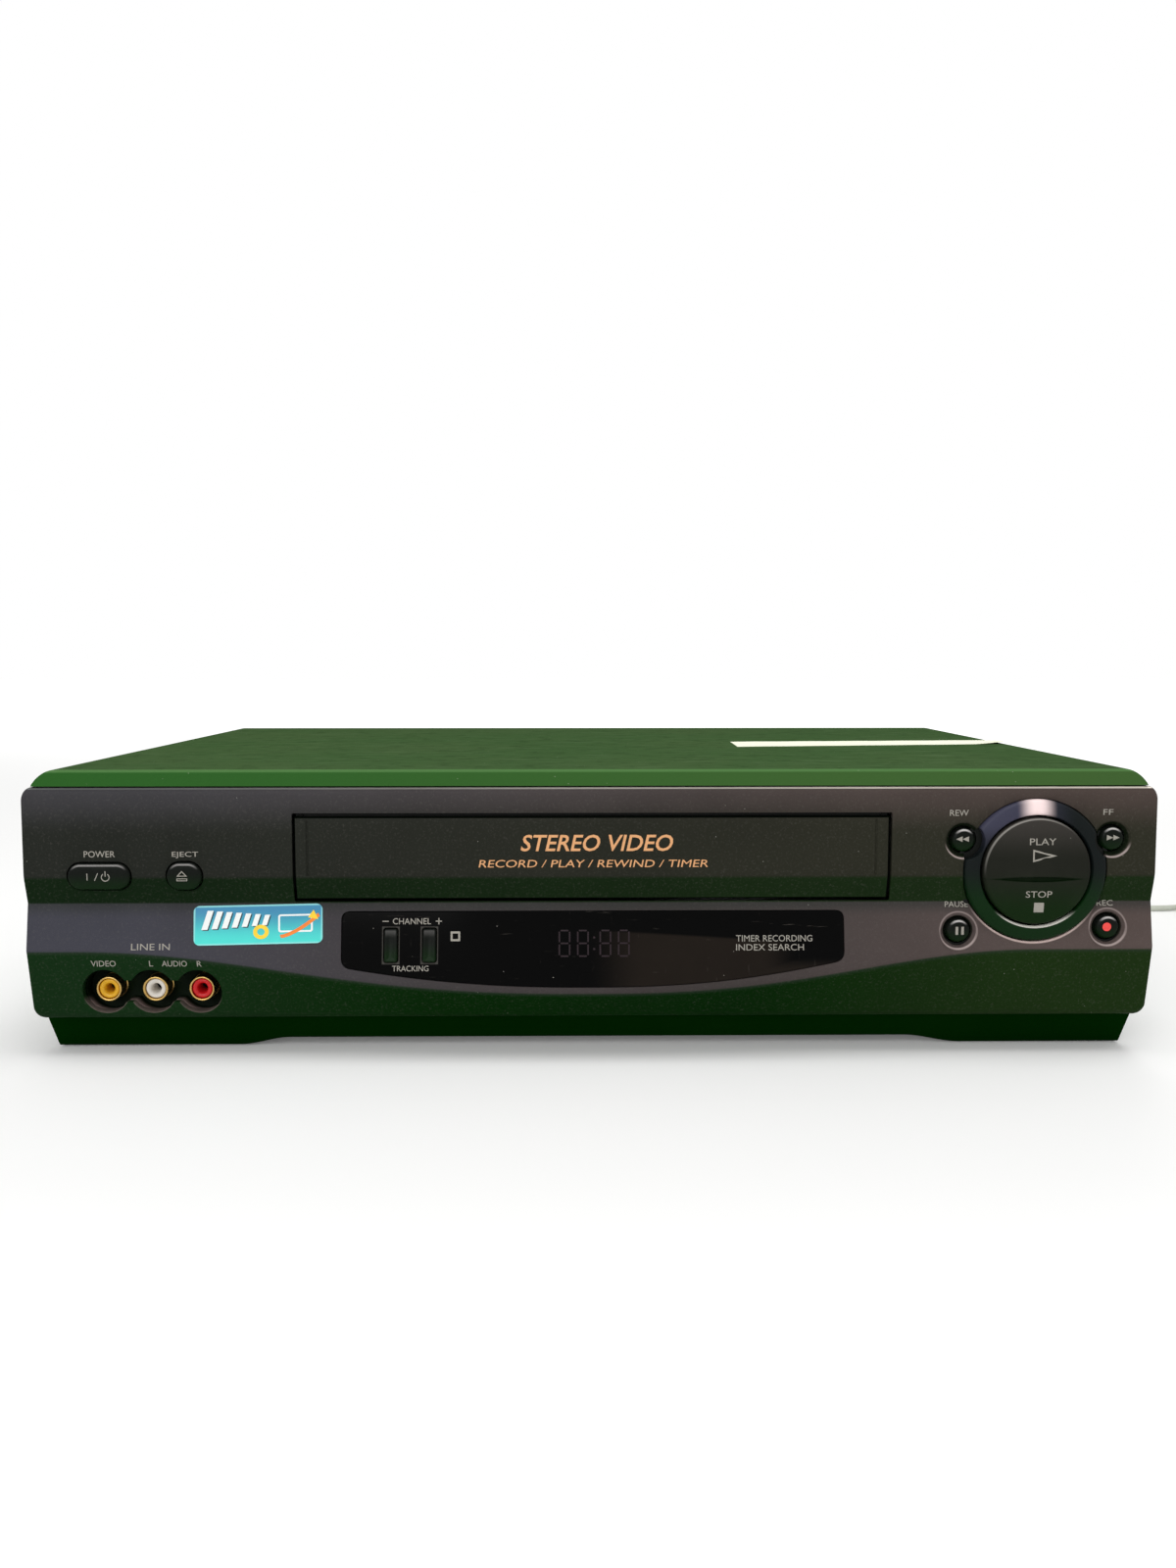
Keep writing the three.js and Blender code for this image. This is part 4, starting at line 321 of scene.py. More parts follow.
@dataclass(frozen=True)
class PanelPlastic(Finish):
    """The front panel's plastic, with painted light and shade: the tone of each face from the top edge to the bottom
    one, paler where it faces up and dark green where it faces down.
    """

    # How much painted shade darkens the whole piece, how much painted sheen pales the upper face, the depth behind
    # the front past which faces are painted black as shadow, and the (x, z) past which the door's edges are painted
    # black as shadow in its gaps.
    shade: float = 1.0
    lit: float = 1.0
    shadow_depth: float = 1.9
    rim: Pair | None = None

    def key_wells(self, x: Value, z: Value) -> list[Value]:
        """Shares of light and of shade in the round keys' wells: lower lips above, whole lips below."""
        light, shade = [], []
        for name, middle in ROUND_KEYS.items():
            _, up, reach = polar(x, z, middle)
            lip, low = reach.between(5.6, 5.85, 6.05, 6.4), (up / 6.0).eased(-0.1, -0.75)
            light.append(lip * (low if name in UPPER_KEYS else low * 0.5 + 0.5))
            shade.append(reach.eased(5.6, 5.2) if name in UPPER_KEYS else reach.eased(5.0, 4.7))
        return [reduce(Value.most, parts) for parts in (light, shade)]

    def tone(self, graph: Graph) -> Value:
        """Colour by place: each face's painted light and shade, from left to right, with soft changes between faces,
        a painted highlight on the top edge, and painted light and shade in and round the wells.
        """
        x, _, z = graph.axes()
        across = x.eased(-175.0, 175.0)
        middle = 1.0 - x.size().eased(30.0, 150.0)
        side = x.over(0.0) * (FACE.ledge_right - FACE.ledge_left) + FACE.ledge_left
        way = ((x.size() / side).least(1.0)) ** FACE.ledge_power
        edge = (way * math.pi).math("COSINE") * (-FACE.ledge_drop / 2) + (FACE.ledge_side - FACE.ledge_drop / 2)
        # Painted light and shade: each face's tone, changing from left to right; the upper face and the ledge paler,
        # facing forward and up, the band under the crease and the lower panel dark green, facing down.
        low, high, band, ledge, lower = (graph.blend(left, right, across) for left, right in (
            ((38, 40, 36), (46, 46, 37)), ((62, 61, 64), (76, 66, 62)), ((18, 34, 17), (26, 42, 20)),
            ((66, 66, 74), (86, 75, 72)), ((19, 44, 20), (28, 47, 18))))
        # Painted highlight along the panel's top edge, brighter to the right.
        top_edge_highlight = graph.blend((110, 112, 112), (255, 244, 232), across ** 1.2)
        # Painted sheen: the upper face pales towards its top edge, as much as the piece is lit.
        upper = graph.blend(low, high, z.eased(73.0, 87.5) * self.lit)
        # Painted shade: the ledge darker in the middle and towards the groove above it, the lower panel darker green
        # in the middle; painted light on the lower panel just under the ledge's edge.
        ledge = graph.layers(ledge, ((60, 56, 54), middle * 0.7), ((52, 54, 52), z.eased(46.5, 51.5) * 0.7))
        lower = graph.layers(lower, ((4, 38, 3), middle), ((44, 54, 44), (z - edge).eased(-1.6, -0.3) * 0.5))
        light, shade = self.key_wells(x, z)
        # Painted light on the lower inner wall of the jack well.
        up, wall = jack_reach(x, z)
        well_wall_light = wall.eased(JACK_WELL + 0.2, JACK_WELL + 0.05) * (up / JACK_WELL).eased(-0.2, -0.62)
        # Painted light on the lower rim of the ring's seat.
        _, over, reach = polar(x, z, (ROCKER.x, ROCKER.z))
        seat = ROCKER.ring_outer + 0.3
        rim = reach.eased(seat + 0.75, seat + 0.35) * (over / seat).eased(-0.45, -0.85)
        # The faces' painted tones, then the painted top edge highlight, the painted shade and light in the key wells,
        # and the painted light on the jack well's wall and on the ring seat's lower rim.
        return graph.layers(
            lower, (ledge, (z - edge).eased(-0.5, 0.3)), (band, z.eased(51.2, 51.8)), (upper, z.eased(59.3, 60.7)),
            (top_edge_highlight, z.eased(88.0, 88.3) * 0.97), ((9, 20, 8), shade * 0.9), ((186, 170, 166), light * 0.75),
            ((120, 106, 102), well_wall_light * (graph.noise(700.0, 3.0, 0.7) * 0.6 + 0.35)), ((206, 184, 178), rim * 0.85))

    def make(self, graph: Graph) -> Material:
        """Builds the material."""
        cloud = graph.noise(22.0, 3.0)
        fine = graph.noise(1300.0, 2.0, 0.7)
        x, y, z = graph.axes()
        # Painted shadow: faces set back past that depth and above 50 mm, and the door's edges past its rim, are
        # painted near black.
        inside = y.over(self.shadow_depth) * z.over(50.0)
        if self.rim:
            inside = inside.most(z.over(self.rim[1])).most(x.size().over(self.rim[0]))
        colour = graph.layers(
            self.tone(graph), ((120, 116, 110), fine.eased(0.5, 0.8) * 0.11),
            ((8, 10, 8), cloud.eased(0.35, 0.8) * 0.16 + (1.0 - self.shade)),
            ((170, 170, 160), graph.specks(330.0, 0.05, 0.1) * 0.7), ((2, 5, 2), inside))
        return graph.dress(colour, cloud * 0.12 + 0.4, 0.015, graph.bump(graph.noise(3400.0, 1.0), 0.00004))


@dataclass(frozen=True)
class KeyPlastic(Finish):
    """A key's dark plastic with painted light and shade: dark green below, near black above, and a painted highlight
    on its upper shoulder.
    """

    middle: Pair = (0.0, 0.0)
    half: Pair = (4.6, 4.6)
    round_end: float = 4.6
    highlight_crescent: float = 0.42

    def make(self, graph: Graph) -> Material:
        """Builds the material: the shoulder, where the highlight is painted, is found by the distance from the key's
        outline.
        """
        x, _, z = graph.axes()
        right, up, _ = polar(x, z, self.middle)
        over = (right.size() - (self.half[0] - self.round_end)).most(0.0)
        rise = (up.size() - (self.half[1] - self.round_end)).most(0.0)
        reach = (over * over + rise * rise) ** 0.5
        height, end = up / self.half[1], self.round_end
        band = reach.between(end - 1.15, end - 0.75, end - 0.6, end - 0.25)
        cloud = graph.noise(160.0, 3.0, 0.6)
        # Painted shade: dark green below, near black above; then a painted highlight on the upper shoulder, clouding
        # and dust.
        colour = graph.layers(
            (13, 33, 12), ((17, 20, 17), height.eased(-0.9, 0.35)),
            ((206, 202, 200), band * height.eased(0.45, 0.95) * self.highlight_crescent),
            ((60, 62, 56), cloud.eased(0.5, 0.85) * 0.12), (DUST, graph.specks(700.0, 0.06, 0.1) * 0.6))
        return graph.dress(colour, cloud * 0.12 + 0.2, 0.06, graph.bump(graph.noise(5200.0, 1.0), 0.00001))


@dataclass(frozen=True)
class CoverPaint(Finish):
    """Baked paint on the sheet steel cover, with fine scratches and dust, painted shade on its front strip and its
    sides, and a painted highlight along the folded edge.
    """

    def make(self, graph: Graph) -> Material:
        """Builds the material."""
        x, y, z = graph.axes()
        cloud = graph.noise(14.0, 4.0, 0.6)
        streaks = graph.noise(30.0, 4.0, 0.7, graph.stretched((1.2, 12.0, 12.0), (0, 0, 14)))
        hair = graph.noise(70.0, 3.0, 0.75, graph.stretched((0.6, 16.0, 16.0), (0, 0, -31)))
        # Painted shade of the front strip, darker to the left.
        strip = graph.blend((44, 88, 38), (62, 92, 48), x.eased(-178.0, 178.0))
        rub = graph.noise(160.0, 3.0, 0.7).eased(0.6, 0.8) * (z.eased(92.6, 93.9) * x.size().eased(169.0, 175.0))
        colour = graph.layers(
            (62, 88, 52), ((67, 90, 55), cloud.eased(0.3, 0.7)),
            ((104, 126, 92), streaks.eased(0.52, 0.74) * 0.34 + hair.eased(0.6, 0.76) * 0.42),
            ((38, 56, 32), graph.noise(130.0, 5.0, 0.75).eased(0.47, 0.7) * 0.4),
            # Painted shade on the front strip, and a painted highlight along the fold at its top.
            (strip, y.eased(5.6, 5.2) * z.eased(88.9, 89.3)), ((84, 124, 72), y.between(4.4, 5.0, 5.6, 6.6) * 0.8),
            # Painted shade on the sides below the top, then rubbed paint on the upper side edges.
            ((40, 66, 36), z.eased(90.0, 84.0) * y.over(15.0)), ((120, 140, 112), rub * 0.7),
            ((176, 186, 160), graph.specks(420.0, 0.06, 0.3) * 0.75))
        peel = graph.noise(900.0, 2.0)
        return graph.dress(colour, cloud * 0.16 + streaks * 0.12 + 0.34, 0.0,
                           graph.bump(peel + streaks * 0.4, 0.00006))


@dataclass(frozen=True)
class Metal(Finish):
    """Bare or plated metal, brushed or milled along one axis."""

    colour: Colour = (170, 172, 170)
    tarnish: Colour = (120, 120, 116)
    roughness: float = 0.3
    brushed: Triple = (2.0, 60.0, 60.0)

    def make(self, graph: Graph) -> Material:
        """Builds the material."""
        lines = graph.noise(22.0, 3.0, 0.6, graph.stretched(self.brushed))
        stain = graph.noise(60.0, 3.0).eased(0.45, 0.8)
        colour = graph.blend(self.colour, self.tarnish, stain * 0.5 + lines * 0.2)
        return graph.dress(colour, lines * 0.14 + stain * 0.1 + (self.roughness - 0.07),
                           normal=graph.bump(lines, 0.00002), Metallic=1.0)


@dataclass(frozen=True)
class RingMetal(Finish):
    """The control ring's dark satin trim, turned about its own centre, with painted light and shade: dark green
    below, bluish grey at the upper left, and painted highlights at its top and on its lower inner lip.
    """

    def make(self, graph: Graph) -> Material:
        """Builds the material."""
        x, y, z = graph.axes()
        right, up, radius = polar(x, z, (ROCKER.x, ROCKER.z))
        lines = graph.noise(1.0, 2.0, 0.7, graph.node("ShaderNodeCombineXYZ", {}, {0: radius * 9.0}))
        height = up / ROCKER.ring_outer
        # Painted highlight at the top.
        top_highlight = (1.0 - (right + 0.4).size().eased(0.8, 6.6)) * height.eased(0.55, 0.85) * 0.94
        near = y.eased(-0.2, -0.9)
        # Painted highlight on the lower inner lip, at the front.
        rim = radius.eased(ROCKER.ring_inner + 0.75, ROCKER.ring_inner + 0.45) * height.eased(-0.55, -0.74) * near
        # Painted shade: dark green below; painted light: bluish grey at the upper left, then the two painted
        # highlights.
        colour = graph.layers(
            (9, 38, 11), ((17, 22, 22), height.eased(-0.5, 0.1)),
            ((60, 60, 76), height.eased(0.2, 0.7) * (right / 22.0).eased(0.6, -0.3)),
            ((255, 232, 230), top_highlight), ((226, 222, 214), rim * 0.95))
        return graph.dress(colour, lines * 0.12 + 0.24, 0.08, graph.bump(lines, 0.00002))


@dataclass(frozen=True)
class RockerPlastic(Finish):
    """The rocker's dark plastic with painted light and shade: paler above, green below, painted shade in the groove
    and a fine painted highlight on its upper left edge.
    """

    def make(self, graph: Graph) -> Material:
        """Builds the material."""
        x, _, z = graph.axes()
        right, up, reach = polar(x, z, (ROCKER.x, ROCKER.z))
        height, way, end = up / ROCKER.radius, right / ROCKER.crease_half, ROCKER.radius
        lens = (1.0 - way * way).most(0.0) * 0.85
        # Painted shade in the groove between the two halves.
        groove = ((z - ROCKER.crease).size() - lens).eased(0.2, -0.15)
        # Painted highlight on the fine edge, at the upper left.
        edge = reach.between(end - 0.8, end - 0.55, end - 0.35, end - 0.1)
        cloud = graph.noise(60.0, 3.0, 0.6)
        # Painted light and shade: green below, paler above; then the groove's shade and the edge's highlight.
        colour = graph.layers(
            (20, 38, 16), ((33, 34, 29), height.eased(-0.8, 0.1)), ((58, 55, 52), height.eased(0.2, 1.0)),
            ((4, 20, 3), groove * 0.9), ((160, 156, 150), edge * (height * 0.9 - way * 0.35).eased(0.25, 0.95) * 0.6),
            ((80, 80, 72), cloud.eased(0.5, 0.85) * 0.08), (DUST, graph.specks(330.0, 0.06, 0.12) * 0.6))
        return graph.dress(colour, cloud * 0.12 + 0.26, 0.03, graph.bump(graph.noise(4200.0, 1.0), 0.00002))


@dataclass(frozen=True)
class WellPlastic(Finish):
    """The jack well: painted shade inside, nearly black, with painted light on its lower wall, paler towards the
    front.
    """

    def make(self, graph: Graph) -> Material:
        """Builds the material."""
        x, y, z = graph.axes()
        up, reach = jack_reach(x, z)
        # Painted light on the lower wall, paler towards the front; painted shade elsewhere.
        light = reach.eased(5.6, 6.8) * (up / JACK_WELL).eased(-0.3, -0.7) * y.eased(8.0, 3.0)
        grain = graph.noise(700.0, 3.0, 0.7)
        colour = graph.blend((6, 18, 5), (176, 152, 148), light * (grain * 0.5 + 0.5))
        return graph.dress(colour, grain * 0.2 + 0.4, 0.05, graph.bump(grain, 0.00005))


@dataclass(frozen=True)
class SmokedWindow(Finish):
    """The window's near black, glossy plastic, with hair scratches, dust, a paler patch and painted highlights round
    the channel keys' holes.
    """

    def make(self, graph: Graph) -> Material:
        """Builds the material."""
        x, _, z = graph.axes()
        # A paler patch right of the middle, below about 43 mm.
        line = z + x * 0.06
        fall = x.eased(66.0, 54.0).most(z.eased(34.0, 30.0))
        pale_patch = x.eased(-2.0, 16.0) * fall * line.eased(43.2, 42.2) * (graph.noise(46.0, 3.0) * 0.6 + 0.6)
        colour = graph.blend((6, 6, 6), (32, 27, 23), pale_patch)
        hair = graph.noise(60.0, 3.0, 0.8, graph.stretched((1.0, 1.0, 18.0), (0, 38, 0))).eased(0.66, 0.75)
        cross = graph.noise(75.0, 3.0, 0.8, graph.stretched((20.0, 1.0, 1.2), (0, -24, 0))).eased(0.68, 0.76)
        colour = graph.layers(
            colour, ((104, 98, 92), hair * 0.34 + cross * 0.26),
            ((180, 176, 168), graph.specks(330.0, 0.06, 0.4) * 0.6))
        # Painted highlight round the edges of the channel keys' holes.
        for middle in CHANNEL_KEYS_X:
            away = ((x - middle).size() - 2.4).most((z - CHANNEL_KEYS_Z).size() - 5.5)
            colour = graph.blend(colour, (78, 76, 72), away.eased(0.5, 0.3) * 0.7)
        return graph.dress(colour, hair * 0.2 + 0.1, 0.03, graph.bump(graph.noise(40.0, 1.0), 0.00002))


@dataclass(frozen=True)
class Ink(Finish):
    """Printed marks, slightly broken up by the grain beneath."""

    colour: Colour = (170, 165, 155)
    ground: Colour = (60, 60, 56)

    def make(self, graph: Graph) -> Material:
        """Builds the material."""
        wear = graph.noise(2600.0, 2.0).eased(0.62, 0.8)
        colour = graph.blend(self.colour, self.ground, wear * 0.45)
        return graph.dress(colour, wear * 0.1 + 0.45, 0.2)


@dataclass(frozen=True)
class StickerFilm(Finish):
    """The sticker's film: deep blue-green above, turquoise below, with a paler border."""

    def make(self, graph: Graph) -> Material:
        """Builds the material."""
        x, _, z = graph.axes()
        rise = graph.noise(80.0, 2.0) * 1.2 + z
        colour = graph.blend((66, 214, 204), (44, 128, 168), rise.eased(39.5, 50.5))
        level = z - (x + 106.8) * 0.0192
        rim = (level - 44.8).size().eased(5.5, 5.9).most((x + 106.8).size().eased(19.8, 20.3))
        colour = graph.blend(colour, (150, 226, 222), rim * 0.75)
        return graph.dress(colour, graph.noise(300.0, 2.0) * 0.15 + 0.28, 0.35)


@dataclass(frozen=True)
class BoardResin(Finish):
    """Circuit board: tan resin with a green lacquer and faint tracks beneath it."""

    def make(self, graph: Graph) -> Material:
        """Builds the material."""
        tracks = graph.node("ShaderNodeTexBrick", {"offset": 0.37, "squash": 0.7, "squash_frequency": 3}, {
            "Vector": graph.place(), "Scale": 90.0, "Mortar Size": 0.035,
            "Color1": (0, 0, 0, 1), "Color2": (0, 0, 0, 1), "Mortar": (1, 1, 1, 1)}, "Fac")
        cloud = graph.noise(40.0, 3.0)
        colour = graph.blend((58, 84, 46), (92, 104, 58), cloud)
        colour = graph.blend(colour, (132, 142, 82), tracks * 0.5)
        return graph.dress(colour, cloud * 0.2 + 0.35, 0.35, graph.bump(tracks, 0.00003))


@dataclass(frozen=True)
class LeadJacket(Finish):
    """The mains lead's pale jacket, a little greyed by handling."""

    def make(self, graph: Graph) -> Material:
        """Builds the material."""
        grime = graph.noise(55.0, 3.0).eased(0.4, 0.8)
        colour = graph.blend((206, 210, 198), (160, 164, 150), grime * 0.6)
        return graph.dress(colour, grime * 0.15 + 0.42, 0.35, graph.bump(graph.noise(900.0, 2.0), 0.00003))


class Shape:
    """Gathers the patches of one mesh, in millimetres."""

    def __init__(self) -> None:
        """Starts empty."""
        self.points: list[Points] = []
        self.faces: list[list[int]] = []
        self.count = 0

    def _take(self, points: Points) -> int:
        """Adds points and gives the number of the first."""
        start = self.count
        self.points.append(points)
        self.count += len(points)
        return start

    def patch(self, grid: Points, closed_rows: bool = False, closed_columns: bool = False) -> "Shape":
        """Adds a grid of quads.

        Args:
            grid: Points as (rows, columns, 3).
            closed_rows: Joins the last row to the first.
            closed_columns: Joins the last column to the first.

        Returns:
            This shape.
        """
        rows, columns, _ = grid.shape
        start = self._take(grid.reshape(-1, 3))
        number = np.arange(rows * columns).reshape(rows, columns) + start
        if closed_rows:
            number = np.vstack([number, number[:1]])
        if closed_columns:
            number = np.hstack([number, number[:, :1]])
        quads = np.stack([number[:-1, :-1], number[:-1, 1:], number[1:, 1:], number[1:, :-1]], axis=-1)
        self.faces += quads.reshape(-1, 4).tolist()
        return self

    def cap(self, ring: Points) -> "Shape":
        """Adds one flat face on a ring of points."""
        start = self._take(ring)
        self.faces.append(list(range(start, start + len(ring))))
        return self

    def skin(self, rings: Points, capped: bool = True) -> "Shape":
        """Adds closed rings that follow each other, (rings, points, 3), with flat ends."""
        self.patch(rings, closed_columns=True)
        if capped:
            self.cap(rings[0]).cap(rings[-1])
        return self

    def prism(self, outline: Points, front: float, back: float) -> "Shape":
        """Adds an (x, z) outline carried along Y from front to back."""
        return self.skin(np.stack([plate_at(outline, front), plate_at(outline, back)]))

    def slab(self, outline: Points, low: float, high: float) -> "Shape":
        """Adds an (x, y) outline carried along Z from low to high."""
        return self.skin(np.stack([floor_at(outline, low), floor_at(outline, high)]))

    def beam(self, outline: Points, left: float, right: float) -> "Shape":
        """Adds a (y, z) outline carried along X from left to right."""
        return self.skin(np.stack([np.column_stack([np.full(len(outline), float(x)), outline])
                                   for x in (left, right)]))

    def box(self, x: Pair, y: Pair, z: Pair) -> "Shape":
        """Adds a block between two places on each axis; the two on X may be in any order."""
        x = sorted(x)
        corners = np.array([[x[0], z[0]], [x[1], z[0]], [x[1], z[1]], [x[0], z[1]]])
        return self.prism(corners, *y)

    def lathe_y(self, profile: Sequence[Pair], x: float, z: float, sides: int = 64,
                closed: bool = False) -> "Shape":
        """Adds a turned piece about Y: x + r cos(a), z + r sin(a), at depth y.

        Args:
            profile: Its (radius, y) points.
            x: Place of the axis.
            z: Place of the axis.
            sides: Steps of the angle a round the axis.
            closed: Joins the profile's last point to its first.

        Returns:
            This shape.
        """
        radius, along, turn = turned(profile, sides)
        grid = np.stack([x + radius * np.cos(turn), along + 0 * turn, z + radius * np.sin(turn)], axis=-1)
        return self.patch(grid, closed_rows=closed, closed_columns=True)

    def lathe_z(self, profile: Sequence[Pair], x: float, y: float, sides: int = 64,
                closed: bool = False) -> "Shape":
        """Adds a turned piece about Z, from (radius, z) points; the rest as in lathe_y."""
        radius, along, turn = turned(profile, sides)
        grid = np.stack([x + radius * np.cos(turn), y + radius * np.sin(turn), along + 0 * turn], axis=-1)
        return self.patch(grid, closed_rows=closed, closed_columns=True)

    def object(self, name: str, finish: Finish | None = None, crease: float = CREASE,
               merge: float = 0.004) -> Piece:
        """Makes the mesh object: joins doubled points, turns faces outwards and sets sharp edges.

        Args:
            name: The object's name.
            finish: Its finish.
            crease: Angle in degrees past which an edge stays sharp.
            merge: Distance in millimetres under which points are one.

        Returns:
            The object, at the origin.
        """
        mesh = bpy.data.meshes.new(name)
        mesh.from_pydata(metres(np.concatenate(self.points)).tolist(), [], self.faces)
        clean(mesh, merge)
        made = linked(name, mesh)
        if finish:
            mesh.materials.append(finish.material())
        shade(made, crease)
        return made


def linked(name: str, data: Any) -> Piece:
    """An object of some data, linked to the scene."""
    made = bpy.data.objects.new(name, data)
    bpy.context.scene.collection.objects.link(made)
    return made


def clean(mesh: bpy.types.Mesh, merge: float = 0.004) -> None:
    """Joins doubled points, drops faces without area and turns the rest outwards.

    Args:
        mesh: The mesh, changed in place.
        merge: Distance in millimetres under which points are one.
    """
    work = bmesh.new()
    work.from_mesh(mesh)
    bmesh.ops.remove_doubles(work, verts=work.verts, dist=merge / 1000)
    bmesh.ops.dissolve_degenerate(work, edges=work.edges, dist=1e-7)
    bmesh.ops.recalc_face_normals(work, faces=work.faces)
    work.to_mesh(mesh)
    work.free()


def shade(piece: Piece, crease: float = CREASE) -> Piece:
    """Smooth shading with sharp edges past an angle in degrees."""
    piece.data.shade_smooth()
    piece.data.set_sharp_from_angle(angle=crease * DEGREE)
    return piece


def settle(piece: Piece) -> Piece:
    """Applies a piece's modifiers to its mesh."""
    depsgraph = bpy.context.evaluated_depsgraph_get()
    mesh = bpy.data.meshes.new_from_object(piece.evaluated_get(depsgraph), depsgraph=depsgraph)
    piece.modifiers.clear()
    old, piece.data = piece.data, mesh
    mesh.name = piece.name
    bpy.data.meshes.remove(old)
    return piece


class Join(Enum):
    """What becomes of a piece and the tools put to it: tools cut out, added, or only what they share kept."""

    CUT = "DIFFERENCE"
    ADD = "UNION"
    KEEP = "INTERSECT"


def carve(piece: Piece, *tools: Shape, join: Join = Join.CUT) -> Piece:
    """Cuts tools out of a piece, or joins them to it.

    Args:
        piece: The piece, changed in place.
        tools: Closed shapes.
        join: What becomes of the piece and its tools.

    Returns:
        The piece.
    """
    made = [tool.object(f"{piece.name}_tool_{i}", merge=0.0004) for i, tool in enumerate(tools)]
    for tool in made:
        step = piece.modifiers.new("cut", "BOOLEAN")
        step.operation, step.object, step.solver = join.value, tool, "EXACT"
    settle(piece)
    for tool in made:
        mesh = tool.data
        bpy.data.objects.remove(tool)
        bpy.data.meshes.remove(mesh)
    return piece


def soften(piece: Piece, width: float, angle: float = 40.0, segments: int = 2,
           crease: float = CREASE) -> Piece:
    """Rounds a piece's sharp edges by so many millimetres and shades it."""
    step = piece.modifiers.new("edge", "BEVEL")
    step.width, step.segments, step.limit_method = width / 1000, segments, "ANGLE"
    step.angle_limit, step.use_clamp_overlap, step.miter_outer = angle * DEGREE, True, "MITER_ARC"
    settle(piece)
    return shade(piece, crease)


def turned(profile: Sequence[Pair], sides: int) -> tuple[Points, Points, Points]:
    """Radius, place along the axis and angle of a turned piece, as columns and a row that combine."""
    table = np.array(profile, float)
    turn = np.arange(sides) * 2 * math.pi / sides
    return table[:, :1], table[:, 1:2], turn[None, :]


def rod(radius: float, low: float, high: float) -> list[Pair]:
    """Profile of a plain rod between two places on its axis."""
    return [(0, low), (radius, low), (radius, high), (0, high)]


def plate_at(outline: Points, y: float) -> Points:
    """An (x, z) outline as points at depth y."""
    return np.stack([outline[:, 0], np.full(len(outline), float(y)), outline[:, 1]], axis=-1)


def floor_at(outline: Points, z: float) -> Points:
    """An (x, y) outline as points at height z."""
    return np.stack([outline[:, 0], outline[:, 1], np.full(len(outline), float(z))], axis=-1)


def arc(x: float, z: float, radius: float, start: float, end: float, steps: int = 8) -> Points:
    """Points on an arc, angles in degrees: x + r cos(a), z + r sin(a)."""
    turn = np.linspace(start, end, steps + 1) * DEGREE
    return np.stack([x + radius * np.cos(turn), z + radius * np.sin(turn)], axis=-1)


def rounded(x: float, z: float, width: float, height: float, radius: float, steps: int = 8) -> Points:
    """Outline of a rectangle about (x, z) with quarter circles at its corners."""
    radius = min(radius, width / 2 - 1e-4, height / 2 - 1e-4)
    across, up = width / 2 - radius, height / 2 - radius
    return np.vstack([arc(x + way * across, z + rise * up, radius, start, start + 90, steps)
                      for way, rise, start in ((1, -1, -90), (1, 1, 0), (-1, 1, 90), (-1, -1, 180))])


def disc(x: float, z: float, radius: float, sides: int = 64) -> Points:
    """Outline of a circle."""
    return arc(x, z, radius, 0, 360 - 360 / sides, sides - 1)


def filleted(corners: Points, radii: Points, steps: int = 4) -> Points:
    """Rounds the inner corners of many open profiles at once.

    Each corner P between A and B becomes the curve (1-t)^2 S + 2 t (1-t) P + t^2 E, where S and E lie on
    the two edges, the fillet's length from P, and at most 45% of an edge away.

    Args:
        corners: Points as (profiles, corners, 2).
        radii: Fillet length of each corner between the ends.
        steps: Steps of t.

    Returns:
        The profiles as (profiles, points, 2), with both ends.
    """
    before, middle, after = corners[:, :-2], corners[:, 1:-1], corners[:, 2:]
    to_before, to_after = before - middle, after - middle
    length_before = np.linalg.norm(to_before, axis=-1, keepdims=True)
    length_after = np.linalg.norm(to_after, axis=-1, keepdims=True)
    reach = np.minimum(np.minimum(np.asarray(radii)[None, :, None], 0.45 * length_before), 0.45 * length_after)
    start = (middle + to_before / length_before * reach)[:, :, None, :]
    end = (middle + to_after / length_after * reach)[:, :, None, :]
    t = np.linspace(0, 1, steps + 1)[None, None, :, None]
    curve = (1 - t) ** 2 * start + 2 * t * (1 - t) * middle[:, :, None, :] + t ** 2 * end
    inner = curve.reshape(len(corners), -1, 2)
    return np.concatenate([corners[:, :1], inner, corners[:, -1:]], axis=1)


def revolve_outline(outline_at: Callable[[float], Points], steps: Sequence[Pair]) -> Points:
    """Rings of an outline that is drawn by its inset, at each (y, inset) step along Y."""
    return np.stack([plate_at(outline_at(inset), y) for y, inset in steps])


def eased_dome(front: float, rise: float, inset: float, steps: int = 6) -> list[Pair]:
    """(y, inset) steps of a quarter ellipse, from the front face's edge back to the key's side."""
    turn = np.linspace(0, math.pi / 2, steps + 1)
    return [(front + rise * (1 - math.cos(a)), inset * (1 - math.sin(a))) for a in turn]


